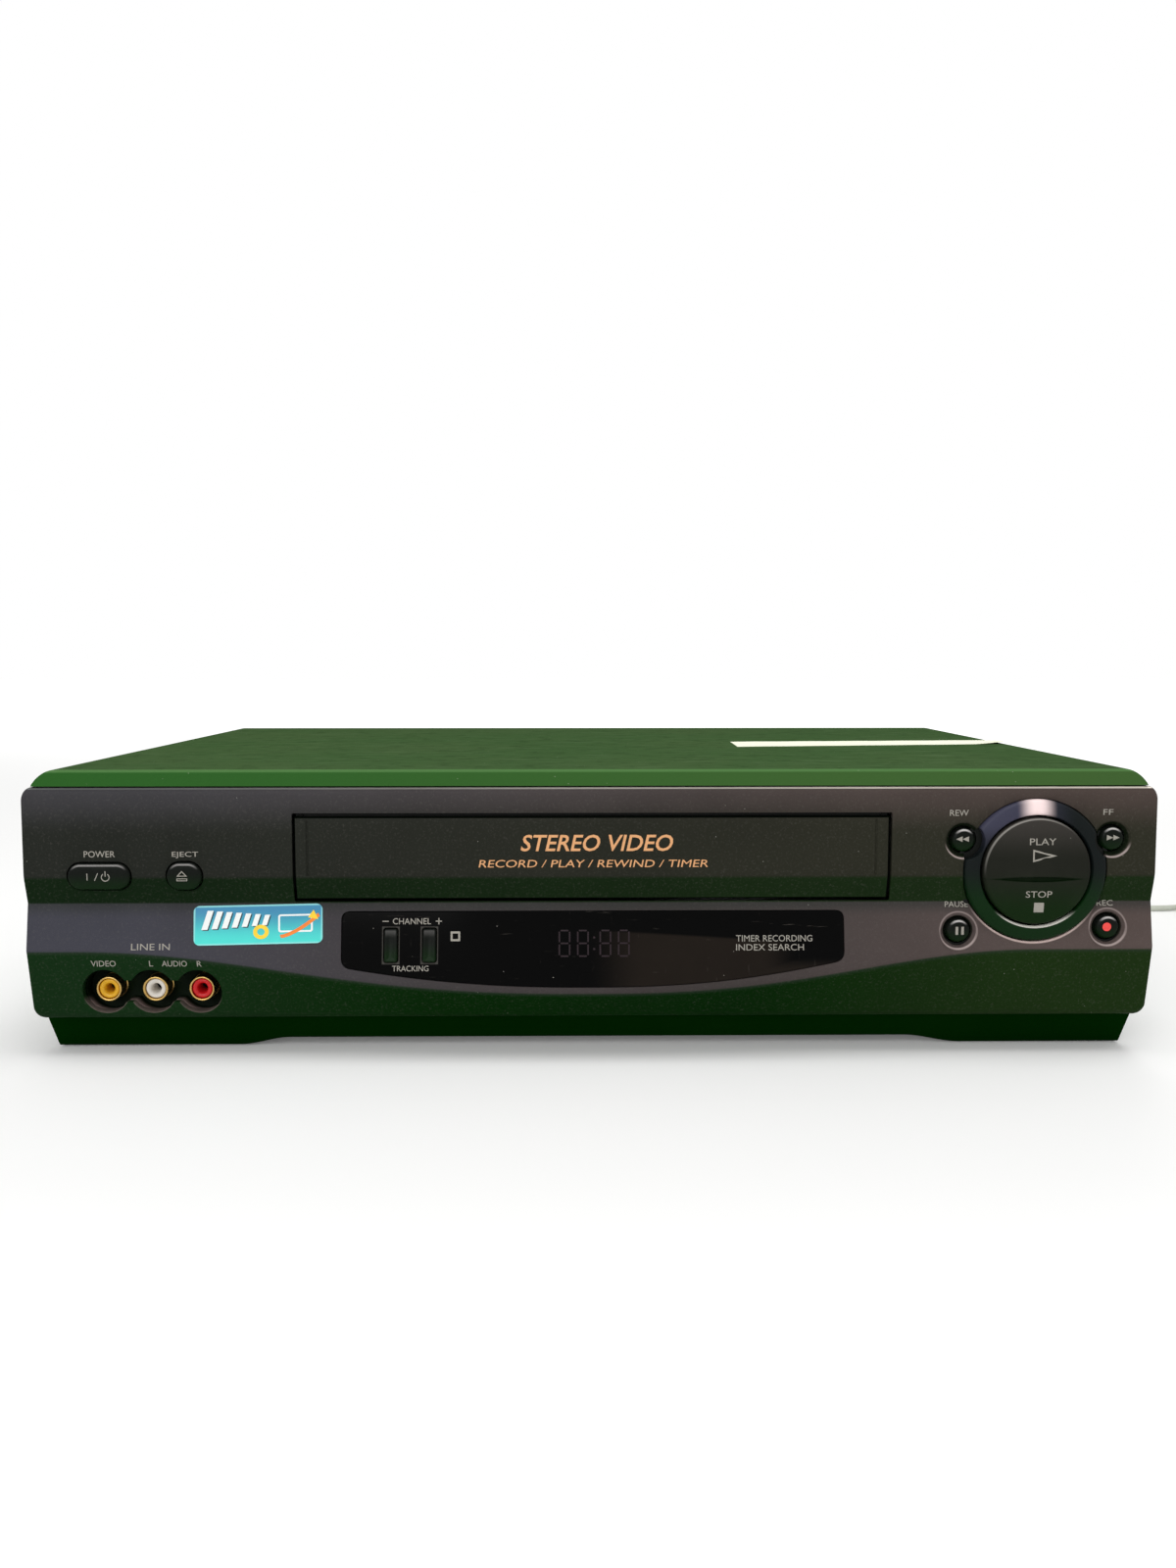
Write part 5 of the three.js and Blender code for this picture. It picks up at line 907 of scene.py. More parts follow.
@dataclass(frozen=True)
class FaceForm:
    """Form of the front panel's faces. A section's points run from the top edge down as (y, z)."""

    half: float = 180.5
    top: float = 88.8
    bottom: float = 13.0
    lean: float = 0.35
    top_round: float = 3.4
    crease: float = 60.0
    crease_out: float = 0.46
    groove: float = 51.5
    groove_in: float = 1.55
    ledge_slope: float = 0.188
    ledge_side: float = 36.4
    ledge_drop: float = 13.5
    ledge_left: float = 164.0
    ledge_right: float = 142.0
    ledge_power: float = 1.26
    ledge_round: float = 0.7
    lip: float = 15.3
    lip_in: float = 2.0
    bottom_in: float = 4.2
    depth: float = 15.0
    corner: float = 3.0
    wall: float = 2.0

    def edge(self, x: Points) -> Points:
        """Height of the ledge's edge: side height less half the drop times 1 + cos(pi w^p)."""
        reach = np.where(x < 0, self.ledge_left, self.ledge_right)
        way = np.minimum(np.abs(x) / reach, 1) ** self.ledge_power
        return self.ledge_side - self.ledge_drop * (1 + np.cos(math.pi * way)) / 2

    def ledge(self, z: Points) -> Points:
        """Depth of the ledge's face at a height."""
        return self.groove_in - self.ledge_slope * (self.groove - z)

    def section(self, x: Points) -> Points:
        """The panel's sections at places x, as (places, 10, 2) points of (y, z)."""
        edge = self.edge(np.atleast_1d(np.asarray(x, float)))
        pairs = [
            (self.top_round / 2, self.top), (self.lean, self.top - self.top_round / 2),
            (-self.crease_out, self.crease + self.top_round / 4),
            (-self.crease_out / 2, self.crease - self.top_round / 4), (self.groove_in, self.groove),
            (self.ledge(edge + self.ledge_round), edge + self.ledge_round),
            (self.ledge(edge) + self.ledge_round / 4, edge - self.ledge_round / 2), (self.lip_in, self.lip),
            (self.bottom_in - self.top_round / 4, self.bottom + self.ledge_round),
            (self.bottom_in + self.top_round / 4, self.bottom)]
        return np.stack([np.stack(np.broadcast_arrays(*pair, edge)[:2], axis=-1) for pair in pairs], axis=1)

    def at(self, x: Points, z: Points) -> Points:
        """Depth of the panel's face at (x, z), straight between the section's points."""
        x, z = np.broadcast_arrays(np.asarray(x, float), np.asarray(z, float))
        rows = self.section(x.ravel())
        heights, depths, flat = rows[:, :, 1], rows[:, :, 0], z.ravel()
        below = np.clip((heights > flat[:, None]).sum(axis=1), 1, heights.shape[1] - 1)
        one = np.arange(len(flat))
        z1, z0, y1, y0 = heights[one, below], heights[one, below - 1], depths[one, below], depths[one, below - 1]
        return (y0 + (y1 - y0) * (z0 - flat) / (z0 - z1)).reshape(x.shape)


FACE = FaceForm()


@dataclass(frozen=True)
class RockerPlace:
    """Place and sizes of the play and stop rocker and of its ring."""

    x: float = 141.6
    z: float = 61.9
    radius: float = 17.2
    proud: float = 2.2
    crown: float = 1.1
    skirt: float = 6.0
    crease: float = 59.5
    crease_half: float = 15.0
    ring_outer: float = 22.9
    ring_inner: float = 17.9
    ring_proud: float = 1.4

    def front(self) -> float:
        """Depth of the rim of the rocker's face."""
        return float(FACE.at(self.x, self.z)) - self.proud

    def dome(self, x: Points, z: Points) -> Points:
        """Depth of the crowned face: front less crown times 1 - (r / radius)^2."""
        share = ((x - self.x) ** 2 + (z - self.z) ** 2) / self.radius ** 2
        return self.front() - self.crown * (1 - share)


ROCKER = RockerPlace()


class Looks:
    """The finishes of this recorder."""

    panel = PanelPlastic("panel_plastic")
    # The door: a little painted shade over all, little painted sheen, and painted shadow in the gaps round it.
    door = PanelPlastic("door_plastic", shade=0.96, lit=0.15, shadow_depth=1.2, rim=(94.2, 78.95))
    cover = CoverPaint("cover_paint")
    base = Moulding("base_plastic", colour=(4, 34, 3), worn=(14, 42, 10), roughness=0.5, specular=0.0, dust=0.02)
    rocker = RockerPlastic("rocker_plastic")
    black = Moulding("black_plastic", colour=(20, 22, 20), worn=(40, 42, 38), specular=0.1)
    well = WellPlastic("well_plastic")
    ring = RingMetal("ring_metal")
    window = SmokedWindow("smoked_window")
    resin = BoardResin("board_resin")
    steel = Metal("sheet_steel", colour=(168, 172, 168), tarnish=(128, 130, 124), roughness=0.38)
    aluminium = Metal("drum_aluminium", colour=(204, 206, 208), tarnish=(170, 172, 174), roughness=0.2,
                      brushed=(2.0, 2.0, 90.0))
    brass = Metal("jack_brass", colour=(206, 172, 104), tarnish=(150, 118, 62), roughness=0.28,
                  brushed=(40.0, 4.0, 40.0))
    nickel = Metal("socket_nickel", colour=(190, 190, 184), tarnish=(140, 138, 130), roughness=0.26,
                   brushed=(40.0, 4.0, 40.0))
    copper = Metal("winding_copper", colour=(176, 104, 58), tarnish=(120, 66, 38), roughness=0.4,
                   brushed=(1.0, 1.0, 300.0))
    yellow = Moulding("yellow_plastic", colour=(222, 168, 34), worn=(190, 138, 30), roughness=0.34, dust=0.0)
    white = Moulding("white_plastic", colour=(222, 216, 206), worn=(190, 184, 172), roughness=0.36, dust=0.0)
    red = Moulding("red_plastic", colour=(200, 26, 30), worn=(150, 18, 22), roughness=0.32, dust=0.0)
    rubber = Moulding("foot_rubber", colour=(30, 32, 30), worn=(50, 52, 48), roughness=0.8, specular=0.15)
    lead = LeadJacket("lead_jacket")
    ink = Ink("label_ink", colour=(154, 150, 141), ground=(84, 84, 78))
    copper_ink = Ink("copper_ink", colour=(222, 164, 114), ground=(150, 110, 74))
    red_ink = Ink("red_ink", colour=(238, 78, 74), ground=(180, 60, 56))
    white_ink = Ink("white_ink", colour=(236, 240, 238), ground=(200, 214, 214))
    yellow_ink = Ink("yellow_ink", colour=(246, 208, 60), ground=(230, 180, 50))
    orange_ink = Ink("orange_ink", colour=(240, 132, 56), ground=(210, 110, 50))
    dark_ink = Ink("dark_ink", colour=(40, 62, 70), ground=(30, 50, 60))
    digit_ink = Ink("digit_ink", colour=(32, 19, 25), ground=(24, 15, 19))
    paper = Ink("paper", colour=(226, 228, 198), ground=(206, 208, 180))


class Placement:
    """Counts the pieces and gives each its body and the nodes that it stands for."""

    def __init__(self) -> None:
        """Starts with no pieces."""
        self.count = 0

    def keep(self, piece: Piece, body: str = "housing", *nodes: str) -> Piece:
        """Lets a piece ride on a body and stand for CAD nodes.

        Args:
            piece: The finished piece.
            body: The body that carries it.
            nodes: The nodes that it stands for.

        Returns:
            The piece.
        """
        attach(piece, body)
        if nodes:
            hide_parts(*nodes)
        self.count += 1
        log.info("piece %d: %s on %s", self.count, piece.name, body)
        return piece


SLOTS: dict[str, str] = {row["node"]: row["material_slot"] for row in frame["record"]["subparts"]}
PLACES = Placement()
keep = PLACES.keep


class Studio:
    """The camera, the floor and the plain soft light."""

    def camera(self) -> None:
        """The camera of the photograph: no shift, and no depth of field."""
        data = bpy.data.cameras.new("photo_camera")
        data.sensor_width, data.lens, data.clip_start, data.clip_end = 36.0, 27.083, 0.01, 50.0
        made = linked("photo_camera", data)
        made.location = (-0.00604, -0.48443, 0.12995)
        made.rotation_euler = ((90 - 6.175) * DEGREE, 0.0, -0.707 * DEGREE)
        bpy.context.scene.camera = made

    def world(self) -> None:
        """White to the camera, to gloss and through glass, and a dimmer even fill for the object."""
        world = bpy.data.worlds.new("studio_world")
        world.use_nodes = True
        tree = world.node_tree
        path = tree.nodes.new("ShaderNodeLightPath")
        seen = path.outputs["Is Camera Ray"]
        for ray in ("Is Glossy Ray", "Is Transmission Ray"):
            either = tree.nodes.new("ShaderNodeMath")
            either.operation = "MAXIMUM"
            tree.links.new(seen, either.inputs[0])
            tree.links.new(path.outputs[ray], either.inputs[1])
            seen = either.outputs[0]
        level = tree.nodes.new("ShaderNodeMapRange")
        tree.links.new(seen, level.inputs["Value"])
        level.inputs["To Min"].default_value, level.inputs["To Max"].default_value = 0.5, 1.0
        back = tree.nodes["Background"]
        back.inputs["Color"].default_value = (1, 1, 1, 1)
        tree.links.new(level.outputs["Result"], back.inputs["Strength"])
        bpy.context.scene.world = world

    def lamp(self, name: str, place: Triple, aim: Triple, size: float, power: float) -> None:
        """A square soft lamp at a place, turned to its aim."""
        data = bpy.data.lights.new(name, "AREA")
        data.shape, data.size, data.energy = "SQUARE", size, power
        made = linked(name, data)
        made.location = place
        made.rotation_euler = (Vector(aim) - made.location).to_track_quat("-Z", "Y").to_euler()

    def floor(self) -> None:
        """A pale floor under the recorder, lifted to near white for the camera, with its shadows kept."""
        graph = Graph("floor_white")
        seen = graph.node("ShaderNodeLightPath", output="Is Camera Ray")
        far = graph.axes()[1].eased(350.0, 2600.0)
        material = graph.dress(linear((244, 244, 243)), 0.9, 0.0, Emission_Color=(1.0, 1.0, 1.0, 1.0),
                               Emission_Strength=seen * (far * 0.6 + 0.1))
        mesh = bpy.data.meshes.new("studio_floor")
        mesh.from_pydata([(-6, -6, 0), (6, -6, 0), (6, 6, 0), (-6, 6, 0)], [], [(0, 1, 2, 3)])
        mesh.materials.append(material)
        linked("studio_floor", mesh)

    def build(self) -> None:
        """Sets up the studio."""
        bpy.context.scene.view_settings.view_transform = "Standard"
        self.camera()
        self.world()
        self.floor()
        for name, place, aim, size, power in (("ceiling_lamp", (0.1, -0.35, 1.5), (0, 0, 0.05), 0.9, 9.0),
                                              ("front_lamp", (-0.7, -1.7, 0.9), (0, -0.1, 0.05), 1.2, 14.0),
                                              ("rear_lamp", (0.6, 1.8, 1.2), (0, 0.1, 0.05), 1.2, 10.0)):
            self.lamp(name, place, aim, size, power)


@dataclass
class MainsLead:
    """The mains lead from its relief to its plug, coiled and tied beside the recorder."""

    radius: float = 1.4
    exit_x: float = 138.0
    exit_z: float = 24.0
    panel_back: float = 223.5
    relief_length: float = 24.0
    coil_x: float = 324.0
    coil_y: float = 200.0
    coil_outer: float = 23.0
    coil_inner: float = 15.4
    coil_low: float = 2.2
    rise: float = 3.7
    layers: int = 4
    turns: int = 2
    steps: int = 24
    plug_x: float = 302.0
    plug_z: float = 6.6
    plug_length: float = 38.0
    blade_length: float = 17.0
    blade_pitch: float = 12.7
    tail_y: float = 157.0
    route: tuple[Triple, ...] = (
        (138, 247.8, 24), (138, 254, 24), (138.2, 262, 21.4), (139.6, 270, 15.6), (143, 277, 9.4),
        (150, 282.5, 4.6), (161, 286, 2.2), (175, 286, 1.6), (191, 282.5, 1.5), (208, 275, 1.5), (225, 264.5, 1.5),
        (241, 251, 1.5), (255, 238, 1.5), (267, 228, 1.5), (278, 222.4, 1.5), (289, 220.8, 1.5), (300, 221, 1.6),
        (310, 223, 2), (321.2, 223, 2.2))
    tail: tuple[Triple, ...] = (
        (306, 174.5, 11.6), (302.8, 168.5, 9), (302, 163, 7.2), (302, 157.3, 6.6))

    def coil(self) -> Points:
        """The coil's centre line: a turn of so many steps, spiralling in and out, climbing between layers."""
        radius, layer = [], []
        for level in range(self.layers):
            inwards = level % 2 == 0
            share = np.arange(self.turns * self.steps) / (self.turns * self.steps)
            span = self.coil_outer - self.coil_inner
            radius.append(self.coil_outer - span * share if inwards else self.coil_inner + span * share)
            layer.append(np.full(len(share), float(level)))
            climb = self.steps // 2 if level + 1 < self.layers else 1
            rising = np.arange(climb) / climb
            radius.append(np.full(climb, self.coil_inner if inwards else self.coil_outer))
            layer.append(level + rising * rising * (3 - 2 * rising))
        radius_all, layer_all = np.concatenate(radius), np.concatenate(layer)
        turn = math.pi / 2 - np.arange(len(radius_all)) * 2 * math.pi / self.steps
        return np.stack([self.coil_x + radius_all * np.cos(turn), self.coil_y + radius_all * np.sin(turn),
                         self.coil_low + self.rise * layer_all], axis=-1)

    def centre_line(self) -> Points:
        """The whole centre line, through the route, the coil and the tail."""
        coil = self.coil()
        leave = coil[-1] - coil[-2]
        leave /= np.linalg.norm(leave)
        tail = np.vstack([coil[-2:], coil[-1] + leave * 5.6, np.array(self.tail)])
        free = through(np.vstack([np.array(self.route), coil[:2]]), 6)[:-6]
        return np.vstack([free, coil, through(tail, 6)[12:]])

    def lead(self) -> Piece:
        """The lead as one round curve."""
        line = metres(self.centre_line())
        data = bpy.data.curves.new("mains_lead_run", "CURVE")
        data.dimensions, data.bevel_depth, data.bevel_resolution = "3D", self.radius / 1000, 4
        data.use_fill_caps = True
        spline = data.splines.new("POLY")
        spline.points.add(len(line) - 1)
        spline.points.foreach_set("co", np.hstack([line, np.ones((len(line), 1))]).ravel())
        data.materials.append(Looks.lead.material())
        return linked("mains_lead_run", data)

    def relief(self) -> Piece:
        """The strain relief: a square clip in the panel and a taper with slots cut in turn round it."""
        start, end = self.panel_back + 0.3, self.panel_back + self.relief_length
        y = np.linspace(start + 2.2, end, 97)
        share = (y - y[0]) / (y[-1] - y[0])
        wave = np.clip(np.sin(share * math.pi * 2 * 5.5) * 2.2, -1, 1)
        radius = 4.9 + (2.3 - 4.9) * share + 0.3 * wave * (1 - share * 0.6)
        profile = [(0.0, float(y[0])), *zip(radius.tolist(), y.tolist()), (1.7, end), (0.0, end)]
        made = Shape().lathe_y(profile, self.exit_x, self.exit_z, 40).object("lead_relief", Looks.lead)
        for half, y0, y1 in ((4.9, 221.2, 224.8), (6.4, 220.2, 222.2), (6.4, start, start + 2.2)):
            plate = Shape().prism(rounded(self.exit_x, self.exit_z, 2 * half, 2 * half, 1.0), y0, y1)
            carve(made, plate, join=Join.ADD)
        return soften(made, 0.25)

    def plug(self) -> Piece:
        """The moulded plug: rounded sections that swell from the tail, with ribs on its grip."""
        x, z, tail = self.plug_x, self.plug_z, self.tail_y
        share = np.linspace(0, 1, 30)
        y = np.concatenate([tail - 12 * share, tail - 12 - 26 * share[1:]])
        width = np.concatenate([6.4 + 0.8 * share, 7.2 + 12.8 * np.clip(share[1:] * 3, 0, 1) ** 0.6])
        height = np.concatenate([6.4 + 0.4 * share, 6.8 + 6.2 * np.clip(share[1:] * 3, 0, 1) ** 0.6])
        groove = np.where((y > tail - 11) & (np.sin(y * 2.6) > 0.2), 0.5, 0.0)
        front = smooth_share(y, tail - 36.5, tail - 38)
        width, height = width - groove - 1.4 * front, height - groove - 1.4 * front
        rings = np.stack([plate_at(rounded(x, z, w, h, min(w, h) * 0.42, 6), at)
                          for w, h, at in zip(width, height, y)])
        return Shape().skin(rings).object("plug_body", Looks.white, crease=50)

    def blades(self) -> Piece:
        """The plug's two flat blades with rounded tips and a hole near each tip."""
        shape = Shape()
        for side in (-1, 1):
            x = self.plug_x + side * self.blade_pitch / 2
            tip = self.tail_y - self.plug_length - self.blade_length
            root = self.tail_y - self.plug_length + 0.5
            shape.beam(np.vstack([arc(tip + 1.8, self.plug_z - 1.35, 1.8, 180, 270, 4),
                                  [[root, self.plug_z - 3.15], [root, self.plug_z + 3.15]],
                                  arc(tip + 1.8, self.plug_z + 1.35, 1.8, 90, 180, 4)]), x - 0.75, x + 0.75)
        made = shape.object("plug_blades", Looks.brass)
        hole = Shape()
        for side in (-1, 1):
            x = self.plug_x + side * self.blade_pitch / 2
            tip = self.tail_y - self.plug_length - self.blade_length
            hole.beam(disc(tip + 4, self.plug_z, 1.5, 24), x - 2, x + 2)
        return soften(carve(made, hole), 0.15)

    def tie(self) -> Piece:
        """The tie round the coil's turns at its right side."""
        low, high = self.coil_x + self.coil_inner - 1.7, self.coil_x + self.coil_outer + 1.7
        height = self.coil_low + self.rise * 3 + self.radius + 0.3
        middle = (low + high) / 2
        outer = rounded(middle, height / 2 + 0.25, high - low + 1, height + 0.5, 1.2)
        inner = rounded(middle, height / 2 + 0.25, high - low, height - 0.5, 0.7)
        made = Shape().prism(outer, self.coil_y - 1.5, self.coil_y + 1.5).object("lead_tie", Looks.black)
        carve(made, Shape().prism(inner, self.coil_y - 3, self.coil_y + 3))
        return soften(made, 0.12)

    def build(self) -> None:
        """Builds the lead and what it carries."""
        lead = keep(self.lead(), "housing", "mains_lead", "mains_lead_coil", "mains_lead_end")
        relief = keep(self.relief(), "housing", "cord_strain_relief")
        plug = keep(self.plug(), "housing", "mains_plug")
        blades = keep(self.blades())
        tie = keep(self.tie(), "housing", "cord_tie")
        line = self.centre_line()


def through(points: Points, steps: int) -> Points:
    """Centripetal Catmull-Rom curve through points.

    The knots are spaced by the square root of the distance, and each span is the usual pyramid of
    straight mixes between its four points.

    Args:
        points: Points as (count, 3).
        steps: Points for each span.

    Returns:
        The curve's points, with the last one.
    """
    first, last = 2 * points[0] - points[1], 2 * points[-1] - points[-2]
    p = np.vstack([first, points, last])
    knots = np.concatenate([[0], np.cumsum(np.sqrt(np.linalg.norm(np.diff(p, axis=0), axis=1)))])
    t = knots[1:-2, None] + (knots[2:-1] - knots[1:-2])[:, None] * (np.arange(steps) / steps)[None, :]
    t = t[..., None]
    k = [knots[i:len(knots) - 3 + i][:, None, None] for i in range(4)]
    q = [p[i:len(p) - 3 + i][:, None, :] for i in range(4)]

    def mix(a: Points, b: Points, low: Points, high: Points) -> Points:
        """Straight mix of a at low and b at high, at t."""
        return (high - t) / (high - low) * a + (t - low) / (high - low) * b

    a1, a2, a3 = mix(q[0], q[1], k[0], k[1]), mix(q[1], q[2], k[1], k[2]), mix(q[2], q[3], k[2], k[3])
    b1, b2 = mix(a1, a2, k[0], k[2]), mix(a2, a3, k[1], k[3])
    curve = mix(b1, b2, k[1], k[2]).reshape(-1, 3)
    return np.vstack([curve, points[-1:]])


class Words:
    """Printed words and marks that lie on a face."""

    @staticmethod
    def raised(flat: Points, side: Points, face: Face, lift: float) -> Points:
        """Puts flat (x, z) points on a face: the front side stands off by lift, the other just inside it."""
        x, z = flat[:, 0], flat[:, 1]
        return np.stack([x, face(x, z) + np.where(side > 0, -lift, 0.03), z], axis=-1)

    @classmethod
    def text(cls, name: str, words: str, middle: Pair, size: Pair, face: Face,
             finish: Finish, lift: float = 0.05, slant: float = 0.0, bold: float = 0.0) -> Piece:
        """Makes words as a thin mesh on a face.

        Args:
            name: The piece's name.
            words: What it says.
            middle: Place (x, z) of its middle.
            size: Its width and height.
            face: Depth of the face at (x, z).
            finish: Its ink.
            lift: Height of the ink over the face.
            slant: Shift to the right for each unit of height.
            bold: How much the strokes are widened, in units of the letters.

        Returns:
            The piece.
        """
        data = bpy.data.curves.new(name, "FONT")
        data.body, data.extrude, data.resolution_u, data.offset = words, 0.01, 3, bold
        source = linked(name + "_type", data)
        depsgraph = bpy.context.evaluated_depsgraph_get()
        mesh = bpy.data.meshes.new_from_object(source.evaluated_get(depsgraph))
        bpy.data.objects.remove(source)
        points = np.empty(len(mesh.vertices) * 3)
        mesh.vertices.foreach_get("co", points)
        points = points.reshape(-1, 3)
        low, high = points.min(axis=0), points.max(axis=0)
        share = (points[:, :2] - low[:2]) / (high[:2] - low[:2]) - 0.5
        flat = np.stack([middle[0] + share[:, 0] * size[0] + share[:, 1] * size[1] * slant,
                         middle[1] + share[:, 1] * size[1]], axis=-1)
        placed = metres(cls.raised(flat, points[:, 2], face, lift))
        mesh.vertices.foreach_set("co", placed.ravel())
        mesh.materials.clear()
        mesh.materials.append(finish.material())
        clean(mesh, 0.0005)
        return linked(name, mesh)

    @classmethod
    def marks(cls, name: str, outlines: Sequence[Points], face: Face, finish: Finish,
              lift: float = 0.05) -> Piece:
        """Makes flat marks on a face: thin plates from (x, z) outlines, and bands from (outer, inner) pairs."""
        shape = Shape()
        for outline in outlines:
            flat = np.asarray(outline, float)
            if flat.ndim == 2:
                front = cls.raised(flat, np.ones(len(flat)), face, lift)
                back = cls.raised(flat, -np.ones(len(flat)), face, lift)
                shape.skin(np.stack([front, back]))
                continue
            rows = [cls.raised(edge, side * np.ones(len(edge)), face, lift)
                    for edge, side in ((flat[0], 1), (flat[1], 1), (flat[1], -1), (flat[0], -1))]
            shape.patch(np.stack(rows), closed_rows=True, closed_columns=True)
        return shape.object(name, finish, merge=0.0005)

    @staticmethod
    def band(outer: Points, inner: Points) -> Points:
        """The band between two outlines of as many points."""
        return np.stack([outer, inner])


def window_outline(inset: float) -> Points:
    """The window's outline: level above, and below it keeps a lip's height over the ledge's edge."""
    left, right, top = -80.4 + inset, 80.9 - inset, 48.9 - inset
    across = np.linspace(left + 7, right - 7, 41)
    ends = np.array([left, right])

    def low(x: Points) -> Points:
        """Lower edge at x: the ledge's edge, a lip of 1.8 and 1.6 more towards the ends."""
        return FACE.edge(x) + 1.8 + 1.6 * (x / 80.9) ** 2 + inset

    corners = np.vstack([
        [[0, top], [left, top], [left, low(ends)[0]]], np.stack([across, low(across)], axis=-1),
        [[right, low(ends)[1]], [right, top], [0, top]]])
    radii = np.zeros(len(corners) - 2)
    radii[[0, 1, -2, -1]] = 3.0
    return filleted(corners[None], radii, 6)[0][:-1]


def well_outline(grow: float) -> Points:
    """The jack well's outline: three lobes of radius 7.4 and narrower necks between them."""
    radius = JACK_WELL + grow
    opening = math.degrees(math.asin((3.7 + grow) / radius))
    x, z = JACKS_X, JACKS_Z
    parts = [arc(x[0], z, radius, opening, 360 - opening, 24),
             arc(x[1], z, radius, 180 + opening, 360 - opening, 12),
             arc(x[2], z, radius, 180 + opening, 540 - opening, 24),
             arc(x[1], z, radius, opening, 180 - opening, 12)]
    joined = np.vstack(parts)
    keep = np.linalg.norm(joined - np.roll(joined, 1, axis=0), axis=1) > 0.02
    return joined[keep]


@dataclass
class FrontPanel:
    """The front panel with its openings, and the rims and cups behind them."""

    door_hole: tuple[float, float, float, float] = (-95.3, 95.5, 51.9, 80.6)
    well_radius: float = 6.0
    hole_radius: float = 4.45
    well_depth: float = 1.6
    cup_depth: float = 9.0

    def block(self, inset: float, back: float) -> Shape:
        """The panel as a full block, from the face's sections at many places across.

        The height is squeezed near the ends by corner - sqrt(corner^2 - d^2), so that the corners are
        round, and the face turns back by the same rule in its last 0.8 mm.

        Args:
            inset: How far the block lies inside the panel's surface.
            back: Depth of its rear face.

        Returns:
            The closed shape.
        """
        form = FACE
        inner = form.half - 4
        ends = inner + 4 * np.sin(np.linspace(0, math.pi / 2, 10)[1:])
        x = np.concatenate([-ends[::-1], np.linspace(-inner, inner, 141), ends])
        section = form.section(x)
        section[:, :, 0] += inset
        section[:, :2, 1] -= inset
        section[:, -3:, 1] += inset
        first = np.stack([np.full(len(x), 6.0 + inset), section[:, 0, 1]], axis=-1)[:, None]
        last = np.stack([np.full(len(x), 7.5 + inset), section[:, -1, 1]], axis=-1)[:, None]
        corners = np.concatenate([first, section, last], axis=1)
        profile = filleted(corners, np.array([1.3, 1.3, 0.5, 0.5, 0.35, 0.4, 0.4, 0.8, 0.5, 0.5]), 4)
        y, z = profile[..., 0], profile[..., 1]
        away = np.clip(np.abs(x) - (form.half - form.corner), 0, form.corner)[:, None]
        drop = form.corner - np.sqrt(np.maximum(form.corner ** 2 - away ** 2, 0))
        top, low = form.top - inset, form.bottom + inset
        z = np.where(z > 80, 80 + (z - 80) * (top - drop - 80) / (top - 80), z)
        z = np.where(z < 20, 20 - (20 - z) * (20 - low - drop) / (20 - low), z)
        round_edge = np.clip(np.abs(x) - (form.half - 0.8), 0, 0.8)[:, None]
        y = y + 0.8 - np.sqrt(np.maximum(0.64 - round_edge ** 2, 0))
        across = x[:, None] / form.half * (form.half - inset) + 0 * z
        front = np.stack([across, y, z], axis=-1)
        rear = np.stack([across, np.full_like(y, back), z], axis=-1)
        shape = Shape().skin(np.concatenate([front, rear[:, ::-1]], axis=1), capped=False)
        return shape.patch(np.stack([front[0], rear[0]])).patch(np.stack([front[-1], rear[-1]]))

    def tools(self) -> list[Shape]:
        """What is cut out of the block."""
        left, right, low, high = self.door_hole
        doorway = rounded((left + right) / 2, (low + high) / 2, right - left, high - low, 0.5, 3)
        tools = [
            self.block(FACE.wall, FACE.depth + 2), Shape().prism(doorway, -9, 17),
            Shape().prism(rounded(*POWER_KEY, 20.7, 9.4, 4.65, 12), -9, 17),
            Shape().prism(rounded(*EJECT_KEY, 12.0, 9.8, 4.75, 12), -9, 17),
            Shape().prism(window_outline(0), -9, 17), Shape().prism(well_outline(0), -9, 17),
            Shape().prism(disc(ROCKER.x, ROCKER.z, ROCKER.ring_outer + 0.3, 144), -9, 17)]
        for x, z in ROUND_KEYS.values():
            front = float(FACE.at(x, z))
            mouth = self.well_radius + (self.well_radius - self.hole_radius) * 2 / self.well_depth
            profile = [(0, front - 2), (mouth, front - 2), (self.hole_radius, front + self.well_depth),
                       (self.hole_radius, 17), (0, 17)]
            tools.append(Shape().lathe_y(profile, x, z, 72))
        return tools

    def panel(self) -> Piece:
        """The moulded panel."""
        made = self.block(0, FACE.depth).object("front_panel", Looks.panel)
        carve(made, *self.tools())
        return soften(made, 0.22, 48)

    def rims(self) -> Piece:
        """Rims behind the panel: round the doorway, the key collars, the ring's seat and the hinge bosses."""
        left, right, low, high = self.door_hole
        shape = Shape()
        shape.box((left - 1.6, left), (2.6, 10), (low - 1.6, high - 3))
        shape.box((right, right + 1.6), (2.6, 10), (low - 1.6, high - 3))
        shape.box((left, right), (3.2, 10), (low - 1.6, low))
        for x, z in ROUND_KEYS.values():
            front = float(FACE.at(x, z))
            shape.lathe_y([(self.hole_radius, front + 1.62), (7.2, front + 1.62), (7.2, front + 5.6),
                           (self.hole_radius, front + 5.6)], x, z, 48, closed=True)
        inner, seat = ROCKER.ring_inner, ROCKER.ring_outer + 0.3
        shape.lathe_y([(inner, 2.6), (seat, 2.6), (seat, 1.4), (seat + 1.2, 1.4), (seat + 1.2, 4.6), (inner, 4.6)],
                      ROCKER.x, ROCKER.z, 96, closed=True)
        for edge, side in ((left, -1), (right, 1)):
            shape.box((edge + side * 0.3, edge + side * 3.2), (1.9, 6.2), (79.6, 84.4))
        return shape.object("front_panel_rims", Looks.black)

